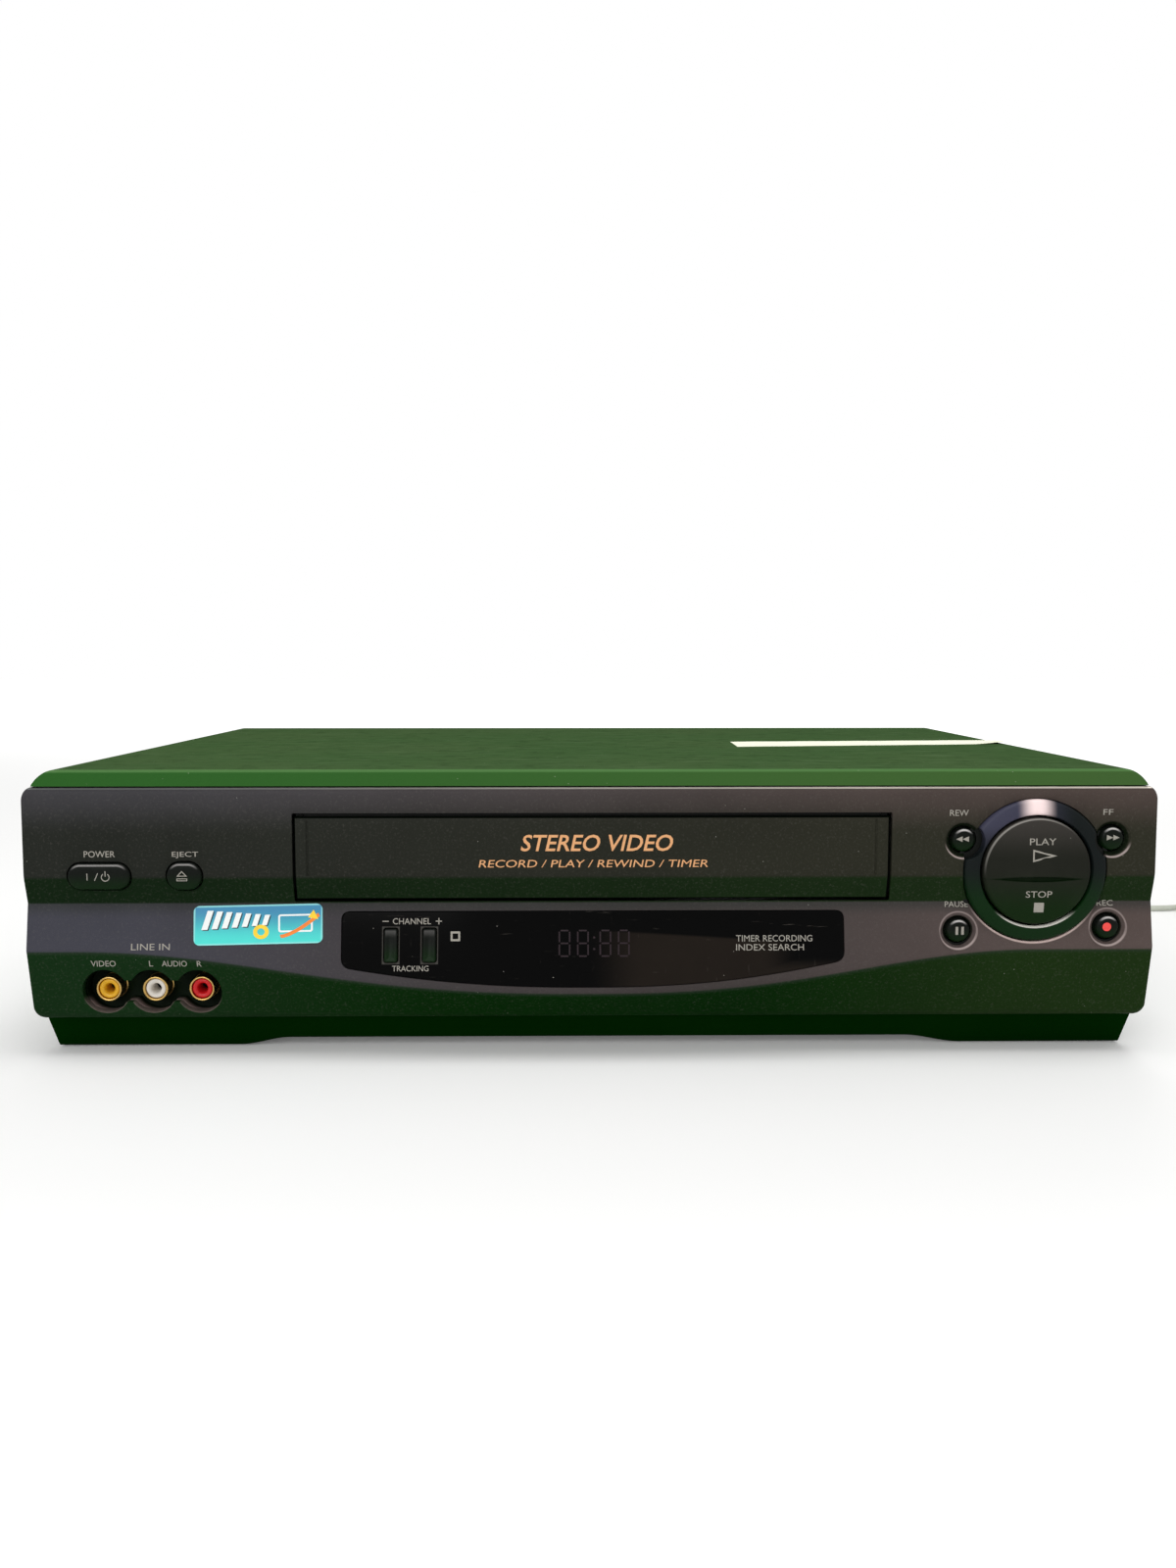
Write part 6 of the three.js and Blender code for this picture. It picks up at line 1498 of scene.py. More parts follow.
    def cup(self) -> Piece:
        """The cup of the jack well: a wavy wall and a floor bored for the jacks."""
        made = Shape().prism(well_outline(0.6), 4.6, self.cup_depth + 1).object("jack_well_cup", Looks.well)
        bores = [Shape().prism(disc(x, JACKS_Z, 4.35, 48), 0, 15) for x in JACKS_X]
        carve(made, Shape().prism(well_outline(0.02), -5, self.cup_depth), *bores)
        return soften(made, 0.12, 50)

    def build(self) -> None:
        """Builds the panel."""
        keep(self.panel(), "housing", "front_bezel")
        keep(self.rims())
        keep(self.cup())


@dataclass
class CassetteDoor:
    """The door: a panel that follows the front's crease, with two fine grooves and hinge arms."""

    left: float = -94.45
    right: float = 94.5
    bottom: float = 52.75
    top: float = 79.45
    groove_x: float = 90.5
    groove_top: float = 78.3
    groove_low: float = 60.6
    hinge_y: float = 3.8
    hinge_z: float = 82.0

    def panel(self) -> Piece:
        """The door's panel: its section carried across, pressed in by 0.5 mm along the two grooves."""
        high, low = float(FACE.at(0.0, self.top)), float(FACE.at(0.0, self.bottom))
        at_groove = [float(FACE.at(0.0, z)) for z in (self.groove_top + 0.25, self.groove_top - 0.05)]
        corners = np.array([[
            (1.6, 66), (high + 2, self.top), (high, self.top), (at_groove[0], self.groove_top + 0.25),
            (at_groove[1], self.groove_top - 0.05), (-FACE.crease_out, FACE.crease + 0.85),
            (-FACE.crease_out / 2, FACE.crease - 0.85), (low, self.bottom), (low + 2, self.bottom), (1.6, 66)]])
        profile = filleted(corners, np.array([0.3, 0.55, 0, 0, 0.5, 0.5, 0.55, 0.3]), 4)[0][:-1]
        step = np.array([-0.75, -0.4, -0.28, 0, 0.28, 0.4, 0.75])
        x = np.concatenate([[self.left], -self.groove_x + step, np.linspace(-80, 80, 33), self.groove_x + step,
                            [self.right]])
        dip = np.clip(1.6 - np.abs(np.abs(x) - self.groove_x) / 0.25, 0, 1)[:, None] * 0.5
        y, z = profile[None, :, 0], profile[None, :, 1]
        inside = (z < self.groove_top) & (z > self.groove_low) & (y < 0.4)
        rings = np.stack([x[:, None] + 0 * y, y + dip * inside, z + 0 * x[:, None]], axis=-1)
        made = Shape().skin(rings).object("door_panel", Looks.door)
        return soften(made, 0.35, 60)

    def arms(self) -> Piece:
        """The hinge arms, with their barrels and pins, and the lip that closes the gap over the door."""
        shape = Shape().box((self.left + 2.4, self.right - 2.4), (2.3, 3.0), (78.9, 81.3))
        for edge, inward in ((self.left, 1), (self.right, -1)):
            arm, pin = sorted((edge, edge + inward * 2)), sorted((edge, edge - inward * 3.2))
            shape.beam(np.array([(1.6, self.top - 8), (4.9, self.top - 2), (4.9, self.hinge_z), (2.7, self.hinge_z),
                                 (2.7, self.top - 1.1), (1.1, self.top - 1.1)]), *arm)
            shape.beam(disc(self.hinge_y, self.hinge_z, 1.1, 28), *arm)
            shape.beam(disc(self.hinge_y, self.hinge_z, 0.9, 28), *pin)
        return shape.object("door_arms", Looks.black)

    def build(self) -> None:
        """Builds the door with its print."""
        keep(self.panel(), "door", "cassette_door")
        keep(self.arms(), "door")
        for name, words, middle, size, slant, bold in (
                ("large", "STEREO VIDEO", (1.6, 71.0), (48.0, 5.3), 0.22, 0.012),
                ("small", "RECORD / PLAY / REWIND / TIMER", (0.5, 64.4), (73.0, 2.4), 0.2, 0.0)):
            keep(Words.text(f"door_print_{name}", words, middle, size, FACE.at, Looks.copper_ink,
                                   slant=slant, bold=bold), "door")


class DisplayWindow:
    """The smoked window with its channel keys, prints and unlit digits."""

    def plate(self) -> Piece:
        """The window's plate: its outline between two planes that lean with the ledge, 1.4 mm apart."""
        outline = window_outline(0.15)
        rings = np.stack([np.stack([outline[:, 0], FACE.ledge(outline[:, 1]) + depth, outline[:, 1]], axis=-1)
                          for depth in (0.15, 1.55)])
        made = Shape().skin(rings).object("window_plate", Looks.window)
        holes = [Shape().prism(rounded(x, CHANNEL_KEYS_Z, 4.8, 11.0, 0.9, 5), -9, 9) for x in CHANNEL_KEYS_X]
        return soften(carve(made, *holes), 0.3, 60, crease=12)

    def key(self, name: str, x: float, body: str, node: str) -> None:
        """A tall key: rings of its outline, domed in front, leaning with the ledge."""
        front = float(FACE.ledge(np.array(CHANNEL_KEYS_Z))) - 0.5
        steps = [(front + 0.28, 1.6), (front + 0.22, 1.2), *eased_dome(front, 0.5, 0.5)]
        steps += [(front + 3.2, 0.0), (front + 3.2, -0.9), (front + 4.2, -0.9)]
        rings = revolve_outline(lambda inset: rounded(x, CHANNEL_KEYS_Z, 4.2 - 2 * inset, 10.4 - 2 * inset,
                                                      max(0.7 - inset, 0.2), 5), steps)
        rings[..., 1] += FACE.ledge_slope * (rings[..., 2] - CHANNEL_KEYS_Z)
        shape = Shape().skin(rings)
        shape.lathe_y(rod(1.8, front + 4, STEM_END), x, CHANNEL_KEYS_Z, 24)
        finish = KeyPlastic(name, middle=(x, CHANNEL_KEYS_Z), half=(2.1, 5.2), round_end=0.7, highlight_crescent=0.1)
        keep(shape.object(name, finish, crease=50), body, node)

    def prints(self) -> None:
        """Words on the window, and the outlines of the display's digits."""
        def face(x: Points, z: Points) -> Points:
            """Depth of the window's face."""
            return FACE.ledge(z) + 0.15

        ink = Looks.ink

        def say(name: str, words: str, middle: Pair, size: Pair) -> None:
            """Prints words on the window."""
            keep(Words.text(f"window_print_{name}", words, middle, size, face, ink))

        say("channel", "CHANNEL", (-57.8, 45.65), (12.2, 1.9))
        say("tracking", "TRACKING", (-58.2, 30.9), (11.6, 1.75))
        signs = [rounded(x, 45.65, w, h, 0.05, 2)
                 for x, w, h in ((-66.2, 2.0, 0.3), (-49.2, 2.0, 0.3), (-49.2, 0.3, 2.0))]
        keep(Words.marks("window_print_signs", signs, face, ink))
        say("upper", "TIMER RECORDING", (58.3, 40.0), (24.5, 2.0))
        say("lower", "INDEX SEARCH", (56.9, 37.2), (21.8, 2.0))
        badge = Words.band(rounded(-43.9, 40.9, 3.05, 3.05, 0.2, 4), rounded(-43.9, 40.9, 1.8, 1.8, 0.1, 4))
        keep(Words.marks("window_print_badge", [badge], face, ink))
        level, upright = (2.5, 0.5), (0.5, 3.3)
        strokes = ((0, 4.0, *level), (0, 0, *level), (0, -4.0, *level),
                   *((dx, dz, *upright) for dz in (2.0, -2.0) for dx in (-1.65, 1.65)))
        bars = [rounded(x + dx, 38.6 + dz, w, h, 0.1, 2)
                for x in (-9.0, -3.1, 4.1, 10.0) for dx, dz, w, h in strokes]
        bars += [rounded(0.5, z, 0.7, 0.7, 0.3, 3) for z in (40.4, 36.8)]
        keep(Words.marks("window_digits", bars, face, Looks.digit_ink, lift=0.03))

    def build(self) -> None:
        """Builds the window."""
        keep(self.plate(), "housing", "display_window")
        self.key("channel_key_down", CHANNEL_KEYS_X[0], "channel_down_key", "channel_down_button")
        self.key("channel_key_up", CHANNEL_KEYS_X[1], "channel_up_key", "channel_up_button")
        self.prints()


class Keys:
    """The power, eject and round keys with their marks."""

    @staticmethod
    def round_mark(name: str, x: float, z: float) -> list[Points]:
        """The mark of a round key: two arrow heads, two bars or a dot."""
        if name == "record":
            return [disc(x - 0.5, z + 0.2, 1.4, 32)]
        if name == "pause":
            return [rounded(x + 0.25 + side * 0.92, z + 0.1, 0.85, 2.6, 0.1, 2) for side in (-1, 1)]
        way = -1 if name == "rewind" else 1
        middle = x - (0.6 if name == "rewind" else 0.0)
        head = np.array([(1.02, 0.0), (-1.02, 0.88), (-1.02, -0.88)])
        return [head * (way, 1) + (middle + side * 1.03, z + 0.35) for side in (-1, 1)]

    def outlined(self, name: str, x: float, z: float, width: float, height: float, radius: float, body: str,
                 node: str) -> float:
        """A key of rounded outline: rings that go from its crown over a quarter ellipse to its side.

        Returns:
            The depth of its face.
        """
        front = float(FACE.at(x, z)) - 1.0
        crown = [(front, 3.4), (front + 0.03, 2.4), (front + 0.12, 1.5)]
        dome = [(y + 0.2, inset) for y, inset in eased_dome(front, 0.9, 1.0, 7)]
        steps = [*crown, *dome, (front + 4.2, 0.0), (front + 4.2, -0.9), (front + 5.2, -0.9)]
        rings = revolve_outline(
            lambda inset: rounded(x, z, width - 2 * inset, height - 2 * inset, radius - inset, 14), steps)
        shape = Shape().skin(rings)
        shape.lathe_y(rod(1.8, front + 5, STEM_END), x, z, 24)
        finish = KeyPlastic(name, middle=(x, z), half=(width / 2, height / 2), round_end=radius)
        keep(shape.object(name, finish, crease=55), body, node)
        return front

    def turned_key(self, name: str, x: float, z: float) -> float:
        """A small round key: a slightly domed cap, a round shoulder and a flange behind.

        Returns:
            The depth of its face.
        """
        front = float(FACE.at(x, z)) - 0.4
        turn = np.linspace(0, math.pi / 2, 9)
        shoulder = [(2.4 + 1.45 * math.sin(a), front + 0.16 + 1.45 * (1 - math.cos(a))) for a in turn]
        seat = float(FACE.at(x, z)) + 6.9
        profile = [(0, front), (1.2, front + 0.04), (1.9, front + 0.1), *shoulder, (4.1, front + 2.4), (4.1, seat),
                   (6.0, seat), (6.0, seat + 1), (1.8, seat + 1), (1.8, STEM_END), (0, STEM_END)]
        shape = Shape().lathe_y(profile, x, z, 72)
        finish = KeyPlastic(f"{name}_key_cap", middle=(x, z), half=(3.85, 3.85), round_end=3.85, highlight_crescent=1.0)
        keep(shape.object(f"{name}_key_cap", finish, crease=50), f"{name}_key", f"{name}_button")
        return front

    def build(self) -> None:
        """Builds the keys and their marks."""
        ink = Looks.ink
        x, z = POWER_KEY
        front = self.outlined("power_key_cap", x, z, 19.8, 8.5, 4.2, "power_key", "power_button")

        def flat(depth: float) -> Face:
            """A face of one depth."""
            return lambda x, z: np.full(np.shape(x), depth)

        round_x = x + 2.3
        opened = np.vstack([arc(round_x, z - 0.1, 1.35, 125, 415, 24), arc(round_x, z - 0.1, 1.08, 415, 125, 24)])
        slash = np.array([(-1.25, -1.2), (-1.0, -1.2), (0.1, 1.2), (-0.15, 1.2)]) + (x, z)
        shapes = [rounded(x - 3.4, z, 0.28, 2.2, 0.05, 2), slash, rounded(round_x, z + 1.0, 0.28, 1.7, 0.05, 2),
                  opened]
        keep(Words.marks("power_key_mark", shapes, flat(front), ink), "power_key")
        x, z = EJECT_KEY
        front = self.outlined("eject_key_cap", x, z, 11.1, 8.9, 4.3, "eject_key", "eject_button")
        x -= 0.5
        outer = np.array([(-1.7, 0.05), (1.7, 0.05), (0.0, 1.85)]) + (x, z)
        inner = np.array([(-1.1, 0.3), (1.1, 0.3), (0.0, 1.45)]) + (x, z)
        bar = Words.band(rounded(x, z - 1.0, 3.4, 0.85, 0.05, 2), rounded(x, z - 1.0, 2.95, 0.4, 0.05, 2))
        keep(Words.marks("eject_key_mark", [Words.band(outer, inner), bar], flat(front), ink), "eject_key")
        for name, (x, z) in ROUND_KEYS.items():
            front = self.turned_key(name, x, z)
            shapes = self.round_mark(name, x, z)
            finish = Looks.red_ink if name == "record" else ink
            keep(Words.marks(f"{name}_key_mark", shapes, flat(front), finish), f"{name}_key")
        self.labels()

    def labels(self) -> None:
        """The words printed on the panel beside the keys and jacks."""
        rows = [("power", "POWER", (-156.1, 67.7), (9.8, 2.0)), ("eject", "EJECT", (-129.1, 67.4), (8.3, 2.1)),
                ("rewind", "REW", (116.8, 80.4), (6.0, 1.9)), ("forward", "FF", (164.5, 80.6), (3.2, 1.8)),
                ("pause", "PAUSE", (117.2, 50.6), (7.5, 1.8)), ("record", "REC", (165.2, 50.9), (5.25, 1.8)),
                ("line", "LINE IN", (-140.9, 37.9), (12.3, 2.0)), ("video", "VIDEO", (-156.25, 32.4), (7.9, 1.95)),
                ("audio", "AUDIO", (-133.5, 32.45), (8.1, 1.95)), ("left", "L", (-141.0, 32.45), (1.2, 1.9)),
                ("right", "R", (-125.5, 32.45), (1.5, 1.9))]
        for name, words, middle, size in rows:
            keep(Words.text(f"panel_print_{name}", words, middle, size, FACE.at, Looks.ink))


@dataclass
class Controls:
    """The trim ring and the play and stop rocker in it."""

    def ring(self) -> Piece:
        """The ring: a turned trim, bitten by the wells of the two upper keys."""
        place = ROCKER
        front = float(FACE.at(place.x, place.z)) - place.ring_proud
        turn = np.linspace(0, 1, 10)
        inner, outer = place.ring_inner, place.ring_outer
        slope = [(inner + 0.8 + (outer - inner - 1.6) * s, front + 0.55 * s ** 1.6) for s in turn]
        profile = [(inner, 2.3), (inner, front + 0.8), (inner + 0.12, front + 0.35), (inner + 0.4, front + 0.08),
                   *slope, (outer - 0.35, front + 0.95), (outer - 0.1, front + 1.4), (outer, front + 2.0),
                   (outer, 2.3)]
        made = Shape().lathe_y(profile, place.x, place.z, 160, closed=True).object("ring_trim", Looks.ring)
        bites = [Shape().prism(disc(x, z, 6.3, 72), -9, 9) for x, z in
                 (ROUND_KEYS["rewind"], ROUND_KEYS["fast_forward"])]
        return soften(carve(made, *bites), 0.15, 50)

    def rocker(self) -> Piece:
        """The rocker: a crowned disc with a lens-shaped groove between its two halves."""
        place, side = ROCKER, ROCKER.radius
        radius = np.concatenate([np.linspace(0, side - 1.4, 15),
                                 side - 1.0 + np.sin(np.linspace(0, math.pi / 2, 7)) * 1.0])
        dome = place.dome(place.x + radius, np.full(len(radius), place.z))
        edge = np.clip((radius - side + 1.0) / 1.0, 0, 1)
        y = dome + 1.5 * (1 - np.sqrt(np.maximum(1 - edge ** 2, 0)))
        front = place.front()
        profile = [*zip(radius.tolist(), y.tolist()), (side, place.skirt), (side - 2, place.skirt),
                   (side - 2, front + 2), (0, front + 2)]
        made = Shape().lathe_y(profile, place.x, place.z, 144).object("rocker_disc", Looks.rocker)
        share = np.linspace(-1, 1, 31)
        upper, lower = (np.stack([place.x + (place.crease_half + 0.2) * part,
                                  place.crease + way * 0.75 * (1 - part ** 2)], axis=-1)
                        for part, way in ((share, 1), (share[1:-1], -1)))
        outline = np.vstack([upper, lower[::-1]])
        middle = outline.mean(axis=0)
        depth = place.front() - place.crown
        rings = np.stack([plate_at(middle + (outline - middle) * np.array([s, s]), y)
                          for s, y in ((1.35, depth - 1.2), (1.0, depth + 0.15), (0.72, depth + 0.75))])
        carve(made, Shape().skin(rings))
        return soften(made, 0.1, 50)

    def posts(self) -> Piece:
        """The posts behind the rocker."""
        place, front = ROCKER, ROCKER.front()
        shape = Shape().lathe_y(rod(2, front + 1, 10), place.x, place.z, 24)
        for side in (-1, 1):
            shape.lathe_y(rod(1.8, front + 1, STEM_END), place.x, place.z + side * 12, 24)
        return shape.object("rocker_posts", Looks.black)

    def build(self) -> None:
        """Builds the ring and the rocker with its words."""
        ink, place = Looks.ink, ROCKER
        keep(self.ring(), "housing", "control_ring")
        keep(self.rocker(), "rocker", "play_stop_rocker")
        keep(self.posts(), "rocker")
        for name, words, middle in (("play", "PLAY", (142.6, 71.6)), ("stop", "STOP", (141.9, 54.7))):
            keep(Words.text(f"rocker_print_{name}", words, middle, (8.4, 2.1), place.dome, ink), "rocker")
        outer = np.array([(139.5, 65.1), (139.5, 69.1), (147.2, 67.1)])
        inner = np.array([(139.95, 65.75), (139.95, 68.45), (145.2, 67.1)])
        keep(Words.marks("rocker_print_marks", [Words.band(outer, inner), rounded(142.1, 50.4, 3.15, 3.15, 0.1, 2)],
                        place.dome, ink), "rocker")


@dataclass
class FrontJacks:
    """The three front jacks in their well."""

    def build(self) -> None:
        """Builds each jack: a plated shell with a rolled lip, and a coloured insert with a bore."""
        rows = (("video", Looks.yellow), ("audio_left", Looks.white), ("audio_right", Looks.red))
        for x, (name, finish) in zip(JACKS_X, rows):
            turn = np.linspace(0, math.pi, 9)
            lip = [(3.725 - 0.375 * math.cos(a), 3.85 - 0.375 * math.sin(a)) for a in turn]
            shell = [*lip, (4.1, 8.6), (4.3, 8.7), (4.3, 8.95), (4.1, 9.0), (4.1, 10.0), (3.35, 10.0)]
            made = Shape().lathe_y(shell, x, JACKS_Z, 64, closed=True).object(f"{name}_shell_ring", Looks.brass)
            keep(made, "housing", f"{name}_jack_shell")
            mouth = [(1.55, 10.0), (1.55, 4.9), (1.75, 4.35), (2.2, 4.02), (2.75, 3.95), (3.05, 4.05), (3.2, 4.3),
                     (3.2, 10.0)]
            insert = Shape().lathe_y(mouth, x, JACKS_Z, 64, closed=True)
            keep(insert.object(f"{name}_insert_ring", finish, crease=50), "housing", f"{name}_jack_insert")


@dataclass
class Sticker:
    """The sticker on the ledge, with plain bars, a ring and an arrow of no maker's."""

    middle: Pair = (-106.8, 44.8)
    drawn: Pair = (-107.5, 44.15)
    turn: float = 1.1
    lift: float = 0.16

    def build(self) -> None:
        """Builds the film and its printed shapes."""
        def film(x: Points, z: Points) -> Points:
            """Depth of the film's face, before the ledge by its lift."""
            return FACE.ledge(z) - self.lift

        cos, sin = math.cos(self.turn * DEGREE), math.sin(self.turn * DEGREE)
        turn = np.array([[cos, -sin], [sin, cos]])

        def placed(outlines: Sequence[Points]) -> list[Points]:
            """Outlines drawn about the artwork's middle, made 10% lower, turned and moved to their place."""
            return [((np.asarray(flat) - self.drawn) * (1.0, 0.9)) @ turn.T + self.middle for flat in outlines]

        outline = rounded(*self.drawn, 41.0, 13.7, 2.0, 8)
        keep(Words.marks("sticker_film", placed([outline]), lambda x, z: FACE.ledge(z),
                                StickerFilm("sticker_film"), self.lift))

        def slanted(x: float, z: float, width: float, height: float) -> Points:
            """A bar that leans to the right."""
            lean = 0.3 * height / 2
            return np.array([(x - width / 2 - lean, z - height / 2), (x + width / 2 - lean, z - height / 2),
                             (x + width / 2 + lean, z + height / 2), (x - width / 2 + lean, z + height / 2)])

        bars = [slanted(-123.6 + 3.1 * i, 46.0 - 0.05 * i, 1.9 - 0.05 * i, 6.6 - 0.5 * i) for i in range(7)]
        card = Words.band(rounded(-95.6, 44.4, 11.0, 6.2, 0.8, 5), rounded(-95.6, 44.4, 9.8, 5.0, 0.4, 5))
        swoop = np.linspace(0, 1, 15)
        upper = np.stack([-100.6 + 12.2 * swoop, 40.4 + 7.4 * swoop ** 1.5], axis=-1)
        lower = np.stack([-100.2 + 12.4 * swoop, 39.3 + 7.4 * swoop ** 1.5], axis=-1)[::-1]
        rows = (("shadow", [bar + (0.35, -0.35) for bar in bars], Looks.dark_ink, 0.015),
                ("bars", bars, Looks.white_ink, 0.04),
                ("ring", [Words.band(*(disc(-106.6, 41.6, radius, 40) for radius in (2.5, 1.2)))],
                 Looks.yellow_ink, 0.05),
                ("card", [card], Looks.white_ink, 0.04),
                ("swoop", [np.vstack([upper, lower])], Looks.orange_ink, 0.06),
                ("arrow", [np.array([(-89.8, 48.9), (-88.3, 45.6), (-91.6, 46.3)])], Looks.yellow_ink, 0.07))
        for name, shapes, finish, lift in rows:
            keep(Words.marks(f"sticker_{name}", placed(shapes), film, finish, lift))


@dataclass
class TopCover:
    """The folded steel cover, and the bare paper strip on its top."""

    half: float = 177.5
    top: float = 94.0
    low: float = 7.5
    corner: float = 6.0
    strip_front: float = 0.9
    strip_low: float = 89.1
    strip_back: float = 5.4
    side_front: float = 15.3
    rear: float = 225.0
    sheet: float = 1.0
    paper: tuple[Pair, ...] = ((60.2, 126.1), (59.5, 98.9), (173.0, 112.7), (175.6, 134.6))

    def section(self, inset: float) -> Points:
        """The section across: upright sides and round upper corners."""
        half, top, radius = self.half - inset, self.top - inset, self.corner - inset
        low = 0.0 if inset else self.low
        return np.vstack([[(-half, low), (half, low)], arc(half - radius, top - radius, radius, 0, 90, 14),
                          arc(radius - half, top - radius, radius, 90, 180, 14)])

    def shell(self) -> Piece:
        """The folded sheet: the block under the side view's outline, less the air inside it."""
        made = Shape().prism(self.section(0), 0, self.rear).object("cover_shell", Looks.cover)
        corners = np.array([[(self.side_front, 80), (self.side_front, self.strip_low),
                             (self.strip_front, self.strip_low), (self.strip_back, self.top), (300, self.top + 0.02),
                             (300, 0), (self.side_front, 0), (self.side_front, 80)]])
        outline = filleted(corners, np.array([0, 0.25, 1.1, 0, 0, 0]), 6)[0]
        carve(made, Shape().beam(outline, -190, 190), join=Join.KEEP)
        slope = (self.strip_back - self.strip_front) / (self.top - self.strip_low)
        inner_front = self.strip_front + self.sheet * math.hypot(1, slope)
        section = self.section(self.sheet)
        rings = []
        for ceiling in (87.5, *np.linspace(self.strip_low, self.top - self.sheet, 5), 200.0):
            y = inner_front + (ceiling - self.strip_low) * slope if ceiling < 190 else self.rear + 2
            ring = plate_at(section, y)
            ring[:, 2] = np.minimum(ring[:, 2], ceiling)
            rings.append(ring)
        carve(made, Shape().skin(np.stack([plate_at(np.minimum(section, 87.5), -3), *rings])))
        return soften(made, 0.28, 35, crease=28)

    def strip(self) -> Piece:
        """The paper strip: a grid between its four corners, lifting a little at its right end."""
        a, b, c, d = (np.array(p) for p in self.paper)
        u, v = np.linspace(0, 1, 41)[:, None, None], np.linspace(0, 1, 9)[None, :, None]
        flat = (a * (1 - u) + d * u) * (1 - v) + (b * (1 - u) + c * u) * v
        lift = 0.9 * smooth_share(u, 0.86, 1.0) * v + 0.05 * np.sin(u * 17 + v * 3) ** 2 + 0.06
        top = np.concatenate([flat, self.top + lift + 0 * flat[..., :1]], axis=-1)
        low = top - np.array([0, 0, 0.1])
        shape = Shape().patch(top).patch(low)
        for edge_top, edge_low in ((top[0], low[0]), (top[-1], low[-1]), (top[:, 0], low[:, 0]),
                                   (top[:, -1], low[:, -1])):
            shape.patch(np.stack([edge_top, edge_low]))
        return shape.object("cover_paper_strip", Looks.paper)

    def build(self) -> None:
        """Builds the cover."""
        keep(self.shell(), "housing", "top_cover")
        keep(self.strip())


@dataclass
class Base:
    """The base tray with its skirt, bosses and feet."""

    half: float = 176.0
    skirt_half: float = 179.2
    lip: float = 1.3
    front_top: float = 9.0
    front_low: float = 14.5
    top: float = 12.7
    foot: float = 0.4
    middle: float = 3.2
    foot_depth: float = 62.0
    rear: float = 222.2
    wall_top: float = 17.0
    floor_top: float = 5.2

    def bottom(self, x: Points) -> Points:
        """Height of the skirt's lower edge: it rises smoothly from each foot portion to the middle."""
        rise = smooth_share(x, -118.5, -101.5) * (1 - smooth_share(x, 105.5, 125.0))
        return self.foot + (self.middle - self.foot) * rise

    def tray(self) -> Piece:
        """The skirt carried across, with the tray behind it hollowed out."""
        x = np.concatenate([[-self.skirt_half], np.linspace(-175, -120, 9), np.linspace(-118.5, -101.5, 15),
                            np.linspace(-98, 102, 21), np.linspace(105.5, 125, 15), np.linspace(128, 175, 8),
                            [self.skirt_half]])
        low = self.bottom(x)
        front = self.front_top + (self.front_low - self.front_top) * (self.top - low) / (self.top - self.foot)
        flat = np.ones_like(x)
        corners = np.stack([np.stack(pair, axis=-1) for pair in (
            (self.foot_depth * flat, self.top * flat), (self.front_top * flat, self.top * flat), (front, low),
            (self.foot_depth * flat, low), (self.foot_depth * flat, (self.top - 0.5) * flat))], axis=1)
        profile = filleted(corners, np.array([0.6, 1.2, 0.5]), 5)
        lean = 1 - self.lip / self.skirt_half * (self.top - profile[..., 1:]) / (self.top - self.foot)
        rings = np.concatenate([x[:, None, None] * lean, profile], axis=-1)
        made = Shape().skin(rings).object("base_tray", Looks.base)
        for side in (-1, 1):
            across = (side * self.half, side * (self.half + 9))
            carve(made, *(Shape().box(across, (start, 70.0), (low, 20.0))
                          for start, low in ((15.0, 7.2), (20.0, -2.0))))
        tray = Shape().box((-self.half + 0.03, self.half - 0.03), (15.3, self.rear), (self.middle, self.wall_top))
        carve(made, tray, join=Join.ADD)
        hollow = Shape().box((2 - self.half, self.half - 2), (16.5, self.rear - 2), (self.floor_top, 30))
        pads = [Shape().lathe_z(rod(8.3, -2, 1.6), side * 154.0, 36.0, 48)
                for side in (-1, 1)]
        carve(made, hollow, *pads)
        return soften(made, 0.35, 50)

    def bosses(self) -> Piece:
        """The posts on the tray's floor that carry the deck and the boards, each with a screw hole and ribs."""
        shape = Shape()
        places = [(x, y, 4.0, 25.7) for x in (-96, 96) for y in (41, 211)]
        places += [(x, y, 3.0, 12.1) for x in (-165, -116) for y in (36, 208)]
        places += [(x, y, 3.0, 12.1) for x in (116, 165) for y in (102, 208)]
        for x, y, radius, high in places:
            low = self.floor_top - 1
            shape.lathe_z([(radius + 0.6, low), (radius, low + 3), (radius - 0.15, high), (1.3, high), (1.3, low)],
                          x, y, 28, closed=True)
            for side in (-1, 1):
                shape.box((x + side * (radius - 0.3), x + side * (radius + 2.4)), (y - 0.5, y + 0.5),
                          (low, low + (high - low) * 0.6))
        return shape.object("base_bosses", Looks.base)

    def feet(self) -> None:
        """Front pads let into the foot portions, and taller rear feet."""
        for name, side in (("left", -1), ("right", 1)):
            x = side * 154.0
            pad = [(0, 0.35), (2.6, 0.35), (3.2, 0.0), (7.0, 0.0), (7.7, 0.22), (8.0, 0.7), (8.0, 1.3), (0, 1.3)]
            made = Shape().lathe_z(pad, x, 36.0, 56).object(f"front_foot_{name}_pad", Looks.rubber)
            keep(made, "housing", f"front_foot_{name}")
            foot = [(0, 0.5), (2.4, 0.5), (3.0, 0.0), (5.3, 0.0), (6.0, 0.4), (6.3, 1.0), (7.7, 2.4), (8.0, 2.9),
                    (0, 2.9)]
            made = Shape().lathe_z(foot, x, 204.0, 56).object(f"rear_foot_{name}_pad", Looks.rubber)
            keep(made, "housing", f"rear_foot_{name}")

    def build(self) -> None:
        """Builds the base."""
        keep(self.tray(), "housing", "bottom_chassis")
        keep(self.bosses())
        self.feet()


